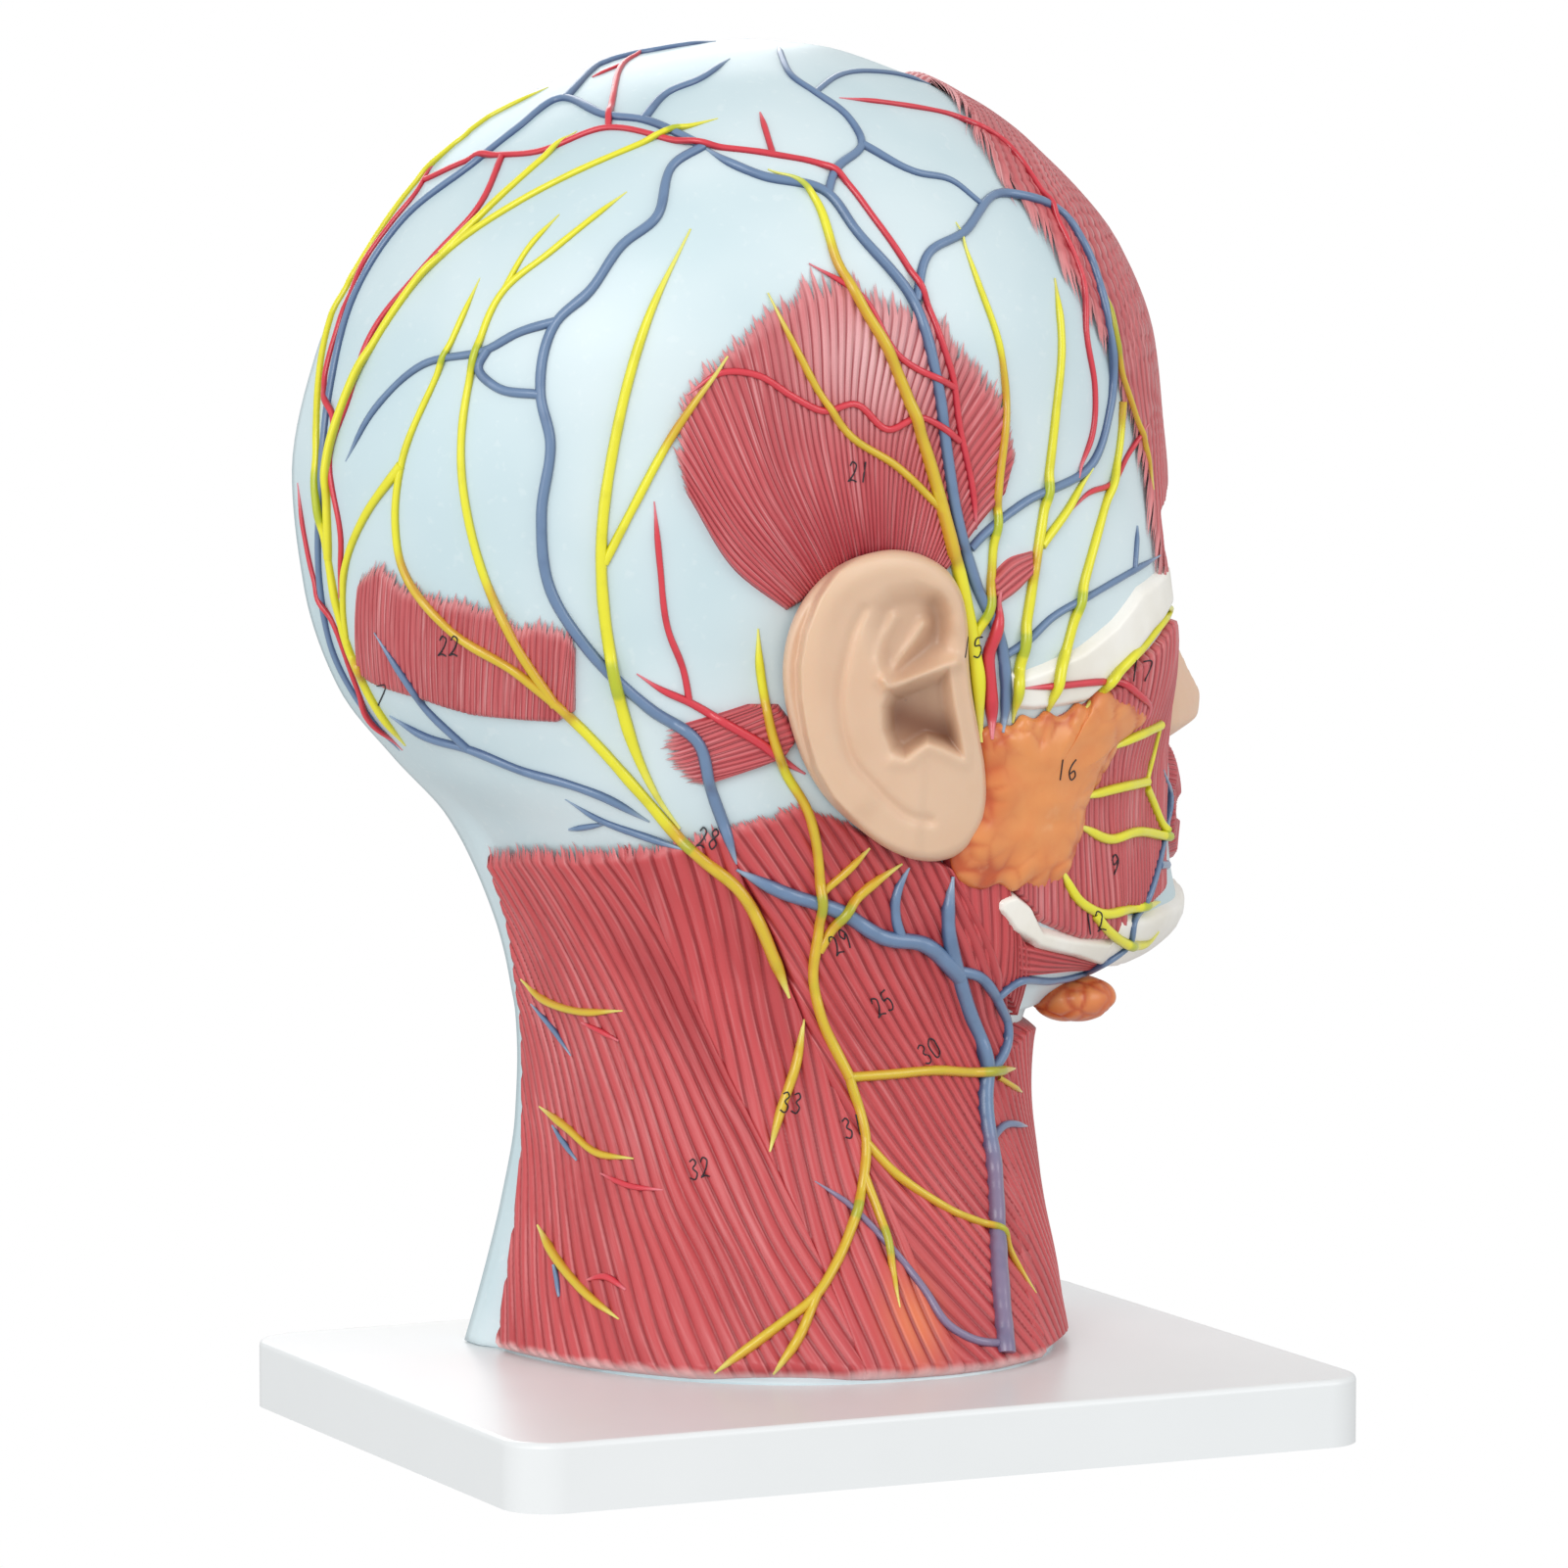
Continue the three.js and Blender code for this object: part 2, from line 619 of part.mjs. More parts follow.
const pixels = {
  temporalisCrown: [[752, 590], [729, 558], [699, 522], [695, 470], [702, 410], [740, 370], [790, 325],
    [830, 287], [870, 290], [905, 315], [950, 330], [985, 370], [1010, 400], [1028, 430], [1036, 470],
    [1026, 505]],
  temporalisRoot: [[787, 603], [808, 600], [826, 585], [850, 568], [880, 558], [915, 552], [950, 556],
    [975, 560], [988, 545]],
  occipitalisTop: [[362, 600], [385, 582], [408, 605], [452, 618], [500, 627], [530, 650], [545, 642],
    [580, 652], [588, 672]],
  occipitalisFoot: [[362, 688], [376, 701], [427, 718], [478, 734], [520, 739], [567, 742], [588, 729]],
  auricularBack: [[694, 741], [688, 760], [692, 778], [709, 796], [727, 803]],
  auricularFront: [[768, 724], [795, 727], [800, 742], [803, 758], [795, 768], [780, 774]],
  auricularAnteriorTip: [[1057, 566], [1056, 586]],
  auricularAnteriorRoot: [[1022, 594], [1025, 614]],
  frontalisEdge: [[948, 76], [968, 89], [1002, 139], [1036, 190], [1060, 215], [1084, 262], [1110, 300],
    [1130, 341], [1146, 383], [1165, 441], [1172, 480], [1180, 520]],
  zygomaTop: [[1184, 578], [1166, 589], [1147, 624], [1124, 647], [1096, 663], [1068, 675], [1043, 683]],
  zygomaFoot: [[1192, 606], [1190, 622], [1168, 650], [1141, 676], [1122, 692], [1085, 706], [1045, 728]],
  masseterTop: [[1030, 752], [1070, 738], [1110, 722], [1150, 700]],
  masseterFoot: [[1040, 900], [1072, 935], [1106, 948], [1140, 954]],
  cheekTop: [[1158, 700], [1188, 690]],
  cheekFoot: [1150, 948],
  mandible: [[1016, 920], [1040, 906], [1054, 920], [1068, 950], [1103, 958], [1138, 962]],
  mandibleFoot: [[1018, 932], [1030, 945], [1046, 964], [1070, 976], [1103, 982], [1128, 985]],
  parotid: [[1004, 748], [1036, 738], [1067, 731], [1094, 727], [1112, 716], [1132, 707], [1141, 717],
    [1137, 760], [1119, 792], [1105, 819], [1096, 854], [1083, 886], [1056, 903], [1030, 900],
    [1004, 892], [1004, 860], [1010, 820]],
  ear: [[912, 563], [868, 572], [839, 593], [818, 619], [803, 657], [802, 704], [818, 745], [833, 798],
    [859, 833], [897, 860], [927, 876], [953, 880], [982, 871], [1002, 845], [1006, 816], [1000, 760],
    [986, 687], [986, 628], [974, 593], [950, 572]],
  earMiddle: [938, 728],
  trapeziusTop: [[504, 880], [540, 872], [590, 874], [630, 873]],
  trapeziusMiddle: [[532, 1100], [600, 1100], [680, 1100], [742, 1100]],
  trapeziusLow: [[522, 1250], [630, 1254], [730, 1260], [822, 1258]],
  trapeziusFoot: [[508, 1378], [590, 1397], [700, 1406], [886, 1406]],
  levatorTop: [[636, 873], [684, 866], [736, 850]],
  levatorMiddle: [[748, 1100], [800, 1098], [842, 1096]],
  levatorLow: [[829, 1258], [880, 1254], [916, 1250]],
  levatorFoot: [[891, 1406], [940, 1404], [985, 1400]],
  mastoidTop: [[742, 850], [780, 836], [822, 822], [868, 848], [902, 868]],
  mastoidMiddle: [[800, 960], [870, 960], [938, 950]],
  mastoidLow: [[848, 1096], [930, 1096], [1012, 1090]],
  mastoidLower: [[922, 1250], [970, 1250], [1040, 1244]],
  mastoidFoot: [[990, 1400], [1030, 1396], [1062, 1390]],
  strapTop: [1018, 1092],
  strapMiddle: [1046, 1244],
  strapFoot: [1068, 1390],
  digastricTop: [[948, 884], [985, 884], [1010, 905]],
  digastricFoot: [[988, 964], [1010, 968], [1024, 962]],
  gland: [1093, 1017],

  parietalVein: [[718, 150], [687, 169], [670, 223], [636, 250], [601, 299], [569, 328], [552, 403],
    [562, 449], [553, 525], [561, 599], [599, 661], [663, 723], [714, 760], [725, 803], [742, 851],
    [752, 882]],
  occipitalVeinLoop: [[569, 328], [529, 340], [498, 357], [433, 372], [383, 418], [353, 471]],
  occipitalVeinBend: [[498, 357], [488, 376], [506, 395], [552, 403]],
  crownVein: [[718, 150], [657, 123], [617, 118], [578, 101], [525, 135], [485, 167], [414, 223],
    [364, 299], [337, 403], [328, 498], [328, 599], [340, 662], [379, 732], [408, 766]],
  crownVeinTwig: [[578, 101], [613, 66], [670, 52], [731, 42]],
  crownVeinLink: [[657, 123], [678, 98], [716, 81], [745, 60]],
  temporalVein: [[726, 155], [774, 179], [845, 198], [872, 234], [933, 309], [956, 387], [966, 460],
    [976, 525], [997, 600], [1020, 652], [1026, 690], [1022, 728]],
  temporalVeinUp: [[845, 198], [853, 173], [880, 148], [868, 123], [832, 95], [807, 77], [794, 47]],
  temporalVeinFront: [[880, 148], [937, 177], [968, 183], [1000, 207]],
  temporalVeinTop: [[832, 95], [853, 79], [907, 75], [950, 86]],
  frontalVein: [[935, 307], [949, 257], [983, 238], [1018, 198], [1044, 200], [1083, 217], [1106, 250],
    [1125, 303], [1136, 364], [1132, 418], [1113, 475], [1044, 514], [998, 552], [991, 560]],
  orbitalVein: [[1185, 567], [1158, 582], [1111, 609], [1073, 631], [1050, 653], [1022, 672]],
  nuchalVein: [[398, 731], [439, 753], [478, 764], [535, 787], [580, 800], [618, 814], [663, 839]],
  nuchalVeinUp: [[382, 646], [408, 685], [430, 717], [478, 764]],
  nuchalVeinLow: [[577, 800], [615, 838], [650, 851], [700, 868]],
  jugularRoot: [[752, 888], [797, 910], [860, 932], [901, 957], [945, 965], [967, 984], [978, 997]],
  jugular: [[973, 895], [967, 934], [971, 971], [978, 997], [986, 1027], [1006, 1089], [1004, 1119],
    [1013, 1193], [1019, 1304], [1026, 1382]],
  jugularTwig: [[928, 886], [915, 912], [914, 938], [919, 955]],
  jugularLoop: [[978, 991], [1000, 997], [1017, 1019], [1028, 1060], [1015, 1089], [1004, 1100]],
  jugularFront: [[1010, 1166], [1026, 1148], [1049, 1150]],
  jugularLow: [[832, 1206], [867, 1230], [897, 1260], [945, 1319], [967, 1352], [1000, 1370],
    [1024, 1372]],
  facialVein: [[1017, 1019], [1041, 1001], [1074, 1001], [1113, 990], [1140, 975], [1153, 964],
    [1158, 938], [1168, 924], [1183, 880], [1191, 840], [1195, 817], [1188, 786]],

  temporalArtery: [[1022, 604], [1018, 643], [1008, 690], [1009, 738]],
  crownArtery: [[435, 184], [487, 162], [548, 156], [621, 131], [701, 147], [789, 158], [846, 172],
    [895, 227], [933, 284], [964, 357], [972, 383], [979, 433], [993, 502], [997, 540]],
  crownArteryTwig: [[621, 131], [626, 100], [636, 66], [660, 52]],
  crownArteryUp: [[789, 158], [776, 115]],
  occipitalArtery: [[513, 160], [494, 204], [441, 265], [380, 341], [353, 418], [339, 456], [349, 556],
    [346, 611]],
  templeArteryBack: [[702, 403], [738, 380], [773, 383], [811, 406], [842, 420], [872, 412], [907, 439],
    [937, 426], [979, 450]],
  templeArteryTop: [[826, 269], [880, 303], [918, 364], [975, 396]],
  auricularArtery: [[668, 512], [674, 579], [682, 643], [698, 685], [704, 717]],
  auricularArteryLow: [[650, 688], [675, 704], [704, 717], [742, 739], [775, 752]],
  frontalArtery: [[857, 100], [922, 108], [972, 118], [1018, 139], [1063, 195], [1083, 232], [1106, 288],
    [1109, 345], [1117, 395], [1115, 441], [1098, 488]],
  facialArtery: [[1052, 706], [1082, 700], [1110, 698]],

  greaterNerve: [[560, 89], [483, 130], [442, 159], [378, 239], [336, 334], [324, 443], [336, 570],
    [355, 656], [388, 726], [414, 761]],
  greaterNerveTop: [[733, 121], [686, 135], [643, 152], [586, 177], [529, 207], [452, 261], [414, 303],
    [356, 406], [338, 465], [336, 570]],
  greaterNerveMain: [[490, 284], [448, 380], [410, 475], [404, 531], [411, 579], [459, 643], [529, 688],
    [586, 736], [656, 812], [698, 860], [715, 876], [752, 906], [793, 986], [806, 1019]],
  greaterNerveBack: [[410, 475], [372, 529], [356, 567], [351, 620], [355, 656]],
  greaterNerveFront: [[640, 196], [605, 223], [563, 257], [513, 299], [483, 376], [471, 464], [484, 554],
    [525, 656], [567, 720]],
  lesserNerve: [[705, 234], [663, 322], [628, 449], [614, 556], [629, 697], [653, 777], [672, 815],
    [694, 846]],
  lesserNerveFront: [[743, 364], [682, 452], [647, 517], [617, 575]],
  auricularNerve: [[774, 642], [775, 675], [783, 726], [798, 782], [824, 827], [837, 904], [836, 945],
    [830, 1000], [838, 1038], [867, 1100]],
  auricularNerveTwig: [[888, 866], [864, 890], [838, 912]],
  auricularNerveFront: [[921, 882], [889, 904], [860, 932], [836, 971]],
  cervicalNerve: [[867, 1100], [908, 1097], [956, 1093], [1000, 1095], [1036, 1091]],
  clavicleNerve: [[867, 1100], [884, 1167], [880, 1211], [852, 1293], [834, 1322], [797, 1352],
    [730, 1402]],
  clavicleNerveLow: [[834, 1322], [815, 1367], [790, 1403]],
  clavicleNerveFront: [[884, 1167], [908, 1193], [967, 1234], [1023, 1263], [1037, 1289], [1058, 1320]],
  clavicleNerveTwig: [[882, 1200], [899, 1245], [919, 1335]],
  accessoryNerve: [[821, 1041], [812, 1089], [797, 1134], [786, 1176]],
  earTempleNerve: [[784, 173], [822, 192], [857, 273], [914, 376], [945, 460], [968, 544], [991, 648],
    [1000, 738]],
  earTempleNerveBack: [[784, 299], [811, 353], [842, 410], [868, 445], [914, 475], [962, 521]],
  templeNerve: [[976, 227], [998, 288], [1021, 357], [1027, 418], [1020, 490], [1014, 552]],
  facialNerveTrunk: [[1049, 740], [1055, 775], [1061, 810], [1066, 862]],
  facialNerveUp: [[1077, 284], [1083, 353], [1077, 422], [1069, 491], [1053, 599], [1038, 698],
    [1051, 752]],
  facialNerveUpFront: [[1146, 410], [1140, 468], [1125, 525], [1106, 594], [1079, 695], [1055, 769]],
  cheekNerve: [[1196, 622], [1161, 665], [1124, 703], [1057, 784]],
  mouthNerve: [[1184, 740], [1167, 748], [1141, 760], [1059, 798]],
  mouthNerveMiddle: [[1170, 798], [1138, 805], [1108, 813], [1061, 812]],
  mouthNerveLow: [[1190, 854], [1161, 849], [1132, 857], [1106, 845], [1063, 828]],
  jawNerve: [[1184, 921], [1155, 927], [1126, 933], [1103, 921], [1084, 890], [1065, 846]],
};

// Display base: a hollow tray with a soft upper edge, posts for the feet and bosses for the screws

const baseGap = footProud;
const baseTop = baseGap + baseHeight;
const headRise = baseTop + fit;

function roundedOutline(length, width, radius) {
  const points = [];
  [[1, 1, 0], [-1, 1, 1], [-1, -1, 2], [1, -1, 3]].forEach(([sx, sy, quarter]) => {
    for (let i = 0; i <= cornerSteps; i++) {
      const angle = (quarter + i / cornerSteps) * Math.PI / 2;
      points.push(new THREE.Vector2(
        sx * (length / 2 - radius) + radius * Math.cos(angle),
        sy * (width / 2 - radius) + radius * Math.sin(angle),
      ));
    }
  });
  return points;
}

function trayBody(inset, bottom, top, edge) {
  const ringAt = (shrink, z) => roundedOutline(
    baseLength - 2 * (inset + shrink), baseWidth - 2 * (inset + shrink), baseCorner - inset - shrink,
  ).map((p) => new THREE.Vector3(p.x, p.y, z));
  const rings = [ringAt(0, bottom)];
  for (let i = 0; i <= baseEdgeSteps; i++) {
    const angle = i / baseEdgeSteps * Math.PI / 2;
    rings.push(ringAt(edge * (1 - Math.cos(angle)), top - edge + edge * Math.sin(angle)));
  }
  return solid(loft(rings, new THREE.Vector3(0, 0, bottom), new THREE.Vector3(0, 0, top)));
}

const footPlaces = [[1, 1], [-1, 1], [-1, -1], [1, -1]].map(
  ([sx, sy]) => [sx * (baseLength / 2 - footInset), sy * (baseWidth / 2 - footInset)],
);
const neckMiddle = (shareAt(2, 0) + shareAt(1, 0)) / 2 * headLength;
const screwSpread = headLength * 0.16;
const screwDeep = medianOffset - headHalfWidth * 0.35;
const screwPlaces = [neckMiddle - screwSpread, neckMiddle + screwSpread].map((x) => [x, screwDeep]);

const tray = trayBody(0, baseGap, baseTop, baseEdge);
const pocket = trayBody(baseRim, baseGap - overrun, baseTop - baseWall, fit);
const posts = footPlaces.map(([x, y]) => uprightCylinder(
  footRadius + footPostWall, baseTop - baseWall - baseGap + fit, x, y, baseGap,
));
const footSeats = footPlaces.map(([x, y]) => uprightCylinder(
  footRadius + fit, footHeight - footProud + fit + overrun, x, y, baseGap - overrun,
));
const bosses = screwPlaces.map(([x, y]) => uprightCylinder(
  screwBossRadius, baseTop - baseWall - baseGap - screwHeadHeight, x, y, baseGap + screwHeadHeight + fit,
));
const screwHoles = screwPlaces.map(([x, y]) => uprightCylinder(
  screwRadius + fit, baseTop + overrun, x, y, 0,
));
const screwSeatZ = baseGap + screwHeadHeight + fit;

const baseBody = join([tray.subtract(pocket), ...posts, ...bosses]).subtract(join([...footSeats, ...screwHoles]));

const feet = footPlaces.map(([x, y]) => uprightCylinder(footRadius, footHeight, x, y, 0));

function screwBody([x, y]) {
  const crown = screwSeatZ - fit - screwHeadHeight;
  const profile = [
    [0, crown], [screwHeadRadius * 0.8, crown], [screwHeadRadius, crown + screwHeadHeight * 0.3],
    [screwHeadRadius, crown + screwHeadHeight], [screwRadius, crown + screwHeadHeight],
    [screwRadius, crown + screwHeadHeight + screwLength],
    [0, crown + screwHeadHeight + screwLength + screwRadius],
  ].map(([r, z]) => new THREE.Vector2(r, z));
  const geometry = new THREE.LatheGeometry(profile, roundSteps);
  geometry.rotateX(Math.PI / 2);
  geometry.translate(x, y, 0);
  return solid(geometry);
}

// Skull and neck shell: an open half, hollow, with the eye socket cut through it

const eyeSpot = { acrossShare: 0.37, upShare: 0.583 };
const eyePlace = facing(eyeSpot.acrossShare, eyeSpot.upShare);
const eyeMiddle = eyePlace.clone().setX(eyePlace.x + eyeProud + faceRise(eyePlace) - eyeRadius);

function ball(radius, middle, sx = 1, sy = 1, sz = 1) {
  const geometry = new THREE.SphereGeometry(radius, roundSteps, roundSteps / 2);
  geometry.scale(sx, sy, sz);
  return placed(geometry, middle.x, middle.y, middle.z);
}

const outerHead = halfHead(0, turnSteps, 0.5, 0, 0);
const headWithFit = halfHead(-fit, turnSteps, 0.5, overrun, 0);
const hollow = halfHead(shellWall, innerTurnSteps, 1, overrun, overrun);
const core = halfHead(shellWall + fit, innerTurnSteps, 1, overrun, 0);
const socket = ball(eyeRadius + fit, eyeMiddle);
const shellBody = outerHead.subtract(hollow).subtract(socket);

// Neck plug: a block that fills the bottom of the neck behind the section plate

function block(x0, x1, y0, y1, z0, z1) {
  const geometry = new THREE.BoxGeometry(x1 - x0, y1 - y0, z1 - z0);
  return placed(geometry, (x0 + x1) / 2, (y0 + y1) / 2, (z0 + z1) / 2);
}

const plateBack = -plateRecess - plateThickness;
const plugSlab = block(-headLength, headLength, -2 * headHalfWidth, plateBack - fit, 0, plugHeight);
const plugHoles = screwPlaces.map(([x, y]) => uprightCylinder(
  screwRadius + fit, screwLength + overrun, x, y - medianOffset, -overrun,
));
const plugBody = core.intersect(plugSlab).subtract(join(plugHoles));

// Median side. Outlines are in shares of the head's length, forward, and its height, up.

const medianPoint = ([forwardShare, upShare]) => (
  new THREE.Vector3(forwardShare * headLength, 0, upShare * headHeight)
);

function outline(shares) {
  const curve = new THREE.CatmullRomCurve3(shares.map(medianPoint), true, 'catmullrom', 0.5);
  return curve.getPoints(shares.length * outlineSteps).slice(0, -1);
}

function extruded(points, back, front) {
  const shape = new THREE.Shape(points.map((p) => new THREE.Vector2(p.x, p.z)));
  const geometry = new THREE.ExtrudeGeometry(shape, { depth: front - back, bevelEnabled: false });
  geometry.rotateX(Math.PI / 2);
  geometry.translate(0, front, 0);
  return solid(geometry);
}

const medianShares = {
  cerebrumShares: [[0.4, 0.62], [0.435, 0.69], [0.425, 0.78], [0.37, 0.86], [0.27, 0.92], [0.14, 0.955],
    [0, 0.957], [-0.14, 0.925], [-0.27, 0.86], [-0.37, 0.775], [-0.41, 0.68], [-0.39, 0.59],
    [-0.32, 0.555], [-0.2, 0.575], [-0.1, 0.6], [-0.05, 0.575], [0.04, 0.555], [0.14, 0.57], [0.2, 0.6],
    [0.3, 0.6]],
  callosumShares: [[0.16, 0.67], [0.2, 0.7], [0.17, 0.74], [0.06, 0.775], [-0.08, 0.765], [-0.19, 0.715],
    [-0.2, 0.67], [-0.16, 0.665], [-0.13, 0.705], [-0.05, 0.735], [0.06, 0.74], [0.14, 0.715]],
  cerebellumShares: [[-0.12, 0.545], [-0.2, 0.56], [-0.31, 0.54], [-0.36, 0.5], [-0.35, 0.44],
    [-0.28, 0.4], [-0.19, 0.4], [-0.13, 0.44], [-0.11, 0.5]],
  brainstemShares: [[-0.06, 0.562], [0.0, 0.545], [0.03, 0.5], [0.01, 0.45], [-0.04, 0.42],
    [-0.07, 0.378], [-0.11, 0.378], [-0.1, 0.43], [-0.09, 0.5]],
  cordShares: [[-0.076, 0.35], [-0.09, 0.25], [-0.1, 0.1], [-0.115, 0.03], [-0.145, 0.03], [-0.13, 0.1],
    [-0.12, 0.25], [-0.11, 0.35]],
  spineShares: [[-0.03, 0.39], [0.0, 0.36], [-0.01, 0.25], [-0.015, 0.14], [-0.02, 0.02], [-0.1, 0.02],
    [-0.085, 0.12], [-0.075, 0.24], [-0.058, 0.34]],
  processesShares: [[-0.13, 0.36], [-0.18, 0.35], [-0.185, 0.24], [-0.18, 0.14], [-0.2, 0.02],
    [-0.16, 0.02], [-0.145, 0.12], [-0.136, 0.25]],
  middleConchaShares: [[0.17, 0.515], [0.28, 0.525], [0.38, 0.52], [0.42, 0.5], [0.36, 0.492],
    [0.26, 0.49], [0.18, 0.495]],
  lowerConchaShares: [[0.17, 0.482], [0.3, 0.482], [0.42, 0.475], [0.43, 0.458], [0.34, 0.452],
    [0.22, 0.455]],
  palateShares: [[0.215, 0.44], [0.34, 0.442], [0.455, 0.445], [0.468, 0.42], [0.455, 0.41],
    [0.43, 0.425], [0.34, 0.426], [0.215, 0.428]],
  softPalateShares: [[0.185, 0.442], [0.12, 0.43], [0.07, 0.39], [0.06, 0.35], [0.075, 0.345],
    [0.11, 0.39], [0.185, 0.425]],
  tongueShares: [[0.42, 0.375], [0.4, 0.405], [0.3, 0.418], [0.2, 0.405], [0.13, 0.37], [0.11, 0.32],
    [0.15, 0.275], [0.25, 0.27], [0.35, 0.285], [0.42, 0.315], [0.43, 0.345]],
  upperToothShares: [[0.452, 0.406], [0.47, 0.404], [0.468, 0.376], [0.458, 0.374]],
  lowerToothShares: [[0.448, 0.37], [0.463, 0.37], [0.468, 0.343], [0.449, 0.343]],
  jawShares: [[0.448, 0.328], [0.475, 0.328], [0.485, 0.305], [0.475, 0.278], [0.447, 0.268],
    [0.437, 0.29]],
  larynxShares: [[0.16, 0.215], [0.235, 0.215], [0.268, 0.17], [0.262, 0.125], [0.25, 0.105],
    [0.245, 0.02], [0.15, 0.02], [0.155, 0.1], [0.16, 0.16]],
};

// The brain is a half dome that follows the inside of the skull, with a bone ring left round it.
const brainInset = shellWall + fit + brainBone;
const dome = halfHead(brainInset, turnSteps, 1, overrun, 0);
const reliefFront = -reliefInset;
const reliefBack = -plateRecess + fit;
const brainNames = ['cerebrum', 'cerebellum', 'brainstem'];
const callosumBody = extruded(outline(medianShares.callosumShares), reliefBack, reliefFront);

// An outline moved outwards by a distance, whichever way round it runs.
function grown(points, by) {
  const area = points.reduce((sum, p, i) => {
    const q = points[(i + 1) % points.length];
    return sum + p.x * q.z - q.x * p.z;
  }, 0);
  return points.map((p, i) => {
    const before = points[(i + points.length - 1) % points.length];
    const after = points[(i + 1) % points.length];
    const run = after.clone().sub(before).normalize();
    return p.clone().addScaledVector(new THREE.Vector3(run.z, 0, -run.x), by * Math.sign(area));
  });
}

// Lateral depth of each brain piece behind the cut, as a share of the head's half width.
const brainDepths = { cerebrumShare: 0.9, cerebellumShare: 0.55, brainstemShare: 0.18 };
const brainBodies = Object.fromEntries(brainNames.map((name) => [
  name,
  extruded(outline(medianShares[`${name}Shares`]), -brainDepths[`${name}Share`] * headHalfWidth, reliefFront)
    .intersect(dome),
]));
// The callosum lies in a recess of the cerebrum. Over the eye the cerebrum is cut away from the eye outwards,
// so that it passes the eye when it is drawn out.
const orbitRadius = eyeRadius + orbitWall;
const orbitReach = new THREE.CylinderGeometry(orbitRadius, orbitRadius, headHalfWidth, roundSteps);
brainBodies.cerebrum = brainBodies.cerebrum
  .subtract(extruded(grown(outline(medianShares.callosumShares), fit), reliefBack - fit, overrun))
  .subtract(ball(orbitRadius, eyeMiddle))
  .subtract(placed(orbitReach, eyeMiddle.x, eyeMiddle.y - headHalfWidth / 2, eyeMiddle.z));

// Sulci: the main furrows between the folds of the cerebrum, on its cut face and over its outer side. Their
// ways are in shares of the head's length, forward, and its height, up.
const medianSulciShares = [
  [[0.2, 0.635], [0.27, 0.68], [0.265, 0.745], [0.19, 0.805], [0.07, 0.835], [-0.08, 0.83], [-0.19, 0.795],
    [-0.24, 0.84], [-0.25, 0.89]],
  [[0.36, 0.64], [0.352, 0.74], [0.3, 0.81], [0.2, 0.865], [0.07, 0.893]],
  [[0.23, 0.612], [0.3, 0.635], [0.34, 0.66]],
  [[0.2, 0.875], [0.24, 0.905], [0.25, 0.94]],
  [[0.352, 0.75], [0.39, 0.765], [0.44, 0.76]],
  [[-0.02, 0.845], [-0.04, 0.9], [-0.02, 0.97]],
  [[-0.14, 0.95], [-0.12, 0.9], [-0.13, 0.87]],
  [[-0.38, 0.81], [-0.33, 0.745], [-0.31, 0.69], [-0.27, 0.645], [-0.22, 0.62]],
  [[-0.43, 0.64], [-0.38, 0.655], [-0.33, 0.635], [-0.28, 0.645]],
  [[-0.2, 0.78], [-0.25, 0.755], [-0.26, 0.7]],
  [[-0.3, 0.86], [-0.29, 0.81], [-0.31, 0.78]],
];
const outerSulciShares = [
  [[0.2, 0.63], [0.1, 0.66], [-0.02, 0.695], [-0.12, 0.735]],
  [[0, 0.72], [-0.01, 0.78], [-0.05, 0.84], [-0.08, 0.9], [-0.1, 0.935]],
  [[0.1, 0.72], [0.09, 0.79], [0.05, 0.86], [0.02, 0.91]],
  [[-0.1, 0.77], [-0.13, 0.83], [-0.17, 0.89]],
  [[0.12, 0.87], [0.2, 0.85], [0.3, 0.8], [0.37, 0.72]],
  [[0.14, 0.76], [0.23, 0.745], [0.31, 0.69]],
  [[0.13, 0.6], [0.03, 0.625], [-0.08, 0.655], [-0.18, 0.69], [-0.21, 0.74]],
  [[-0.17, 0.81], [-0.24, 0.8], [-0.31, 0.75], [-0.35, 0.69]],
  [[-0.07, 0.605], [-0.15, 0.62], [-0.26, 0.64]],
];

// A furrow cut along a way over a surface: a wedge that is open outwards.
function furrow(path, normals) {
  const rings = path.map((p, i) => {
    const run = path[Math.min(i + 1, path.length - 1)].clone().sub(path[Math.max(i - 1, 0)]);
    const side = new THREE.Vector3().crossVectors(run, normals[i]).normalize();
    const at = (across, up) => p.clone().addScaledVector(side, across).addScaledVector(normals[i], up);
    return [at(-2 * sulcusHalfWidth, sulcusDepth), at(0, -sulcusDepth), at(2 * sulcusHalfWidth, sulcusDepth)];
  });
  return solid(loft(rings, centreOf(rings[0]), centreOf(rings[rings.length - 1])));
}

function sulcusPath(shares) {
  const curve = new THREE.CatmullRomCurve3(shares.map(medianPoint));
  return curve.getSpacedPoints(Math.ceil(curve.getLength() / sulcusStep));
}

const medianFurrows = medianSulciShares.map((shares) => {
  const path = sulcusPath(shares).map((p) => p.setY(reliefFront));
  return furrow(path, path.map(() => new THREE.Vector3(0, 1, 0)));
});
const outerFurrows = outerSulciShares.map((shares) => {
  const path = sulcusPath(shares).map((p) => pulledToSurface(p.setY(-headHalfWidth)));
  return furrow(path.map((p) => lifted(p, -brainInset - sinkAt(p))), path.map(normalAt));
});
brainBodies.cerebrum = [...medianFurrows, ...outerFurrows].reduce(
  (body, cutter) => body.subtract(cutter), brainBodies.cerebrum,
);

const opening = join(brainNames.map((name) => extruded(
  grown(outline(medianShares[`${name}Shares`]), 2 * fit), plateBack - overrun, overrun,
)));
const plateSlab = block(
  -headLength, headLength, plateBack, -plateRecess, fit, headHeight,
);
const plateBody = core.intersect(plateSlab).subtract(opening).subtract(socket);

const relief = (name) => (
  extruded(outline(medianShares[`${name}Shares`]), reliefBack, reliefFront).intersect(core)
);

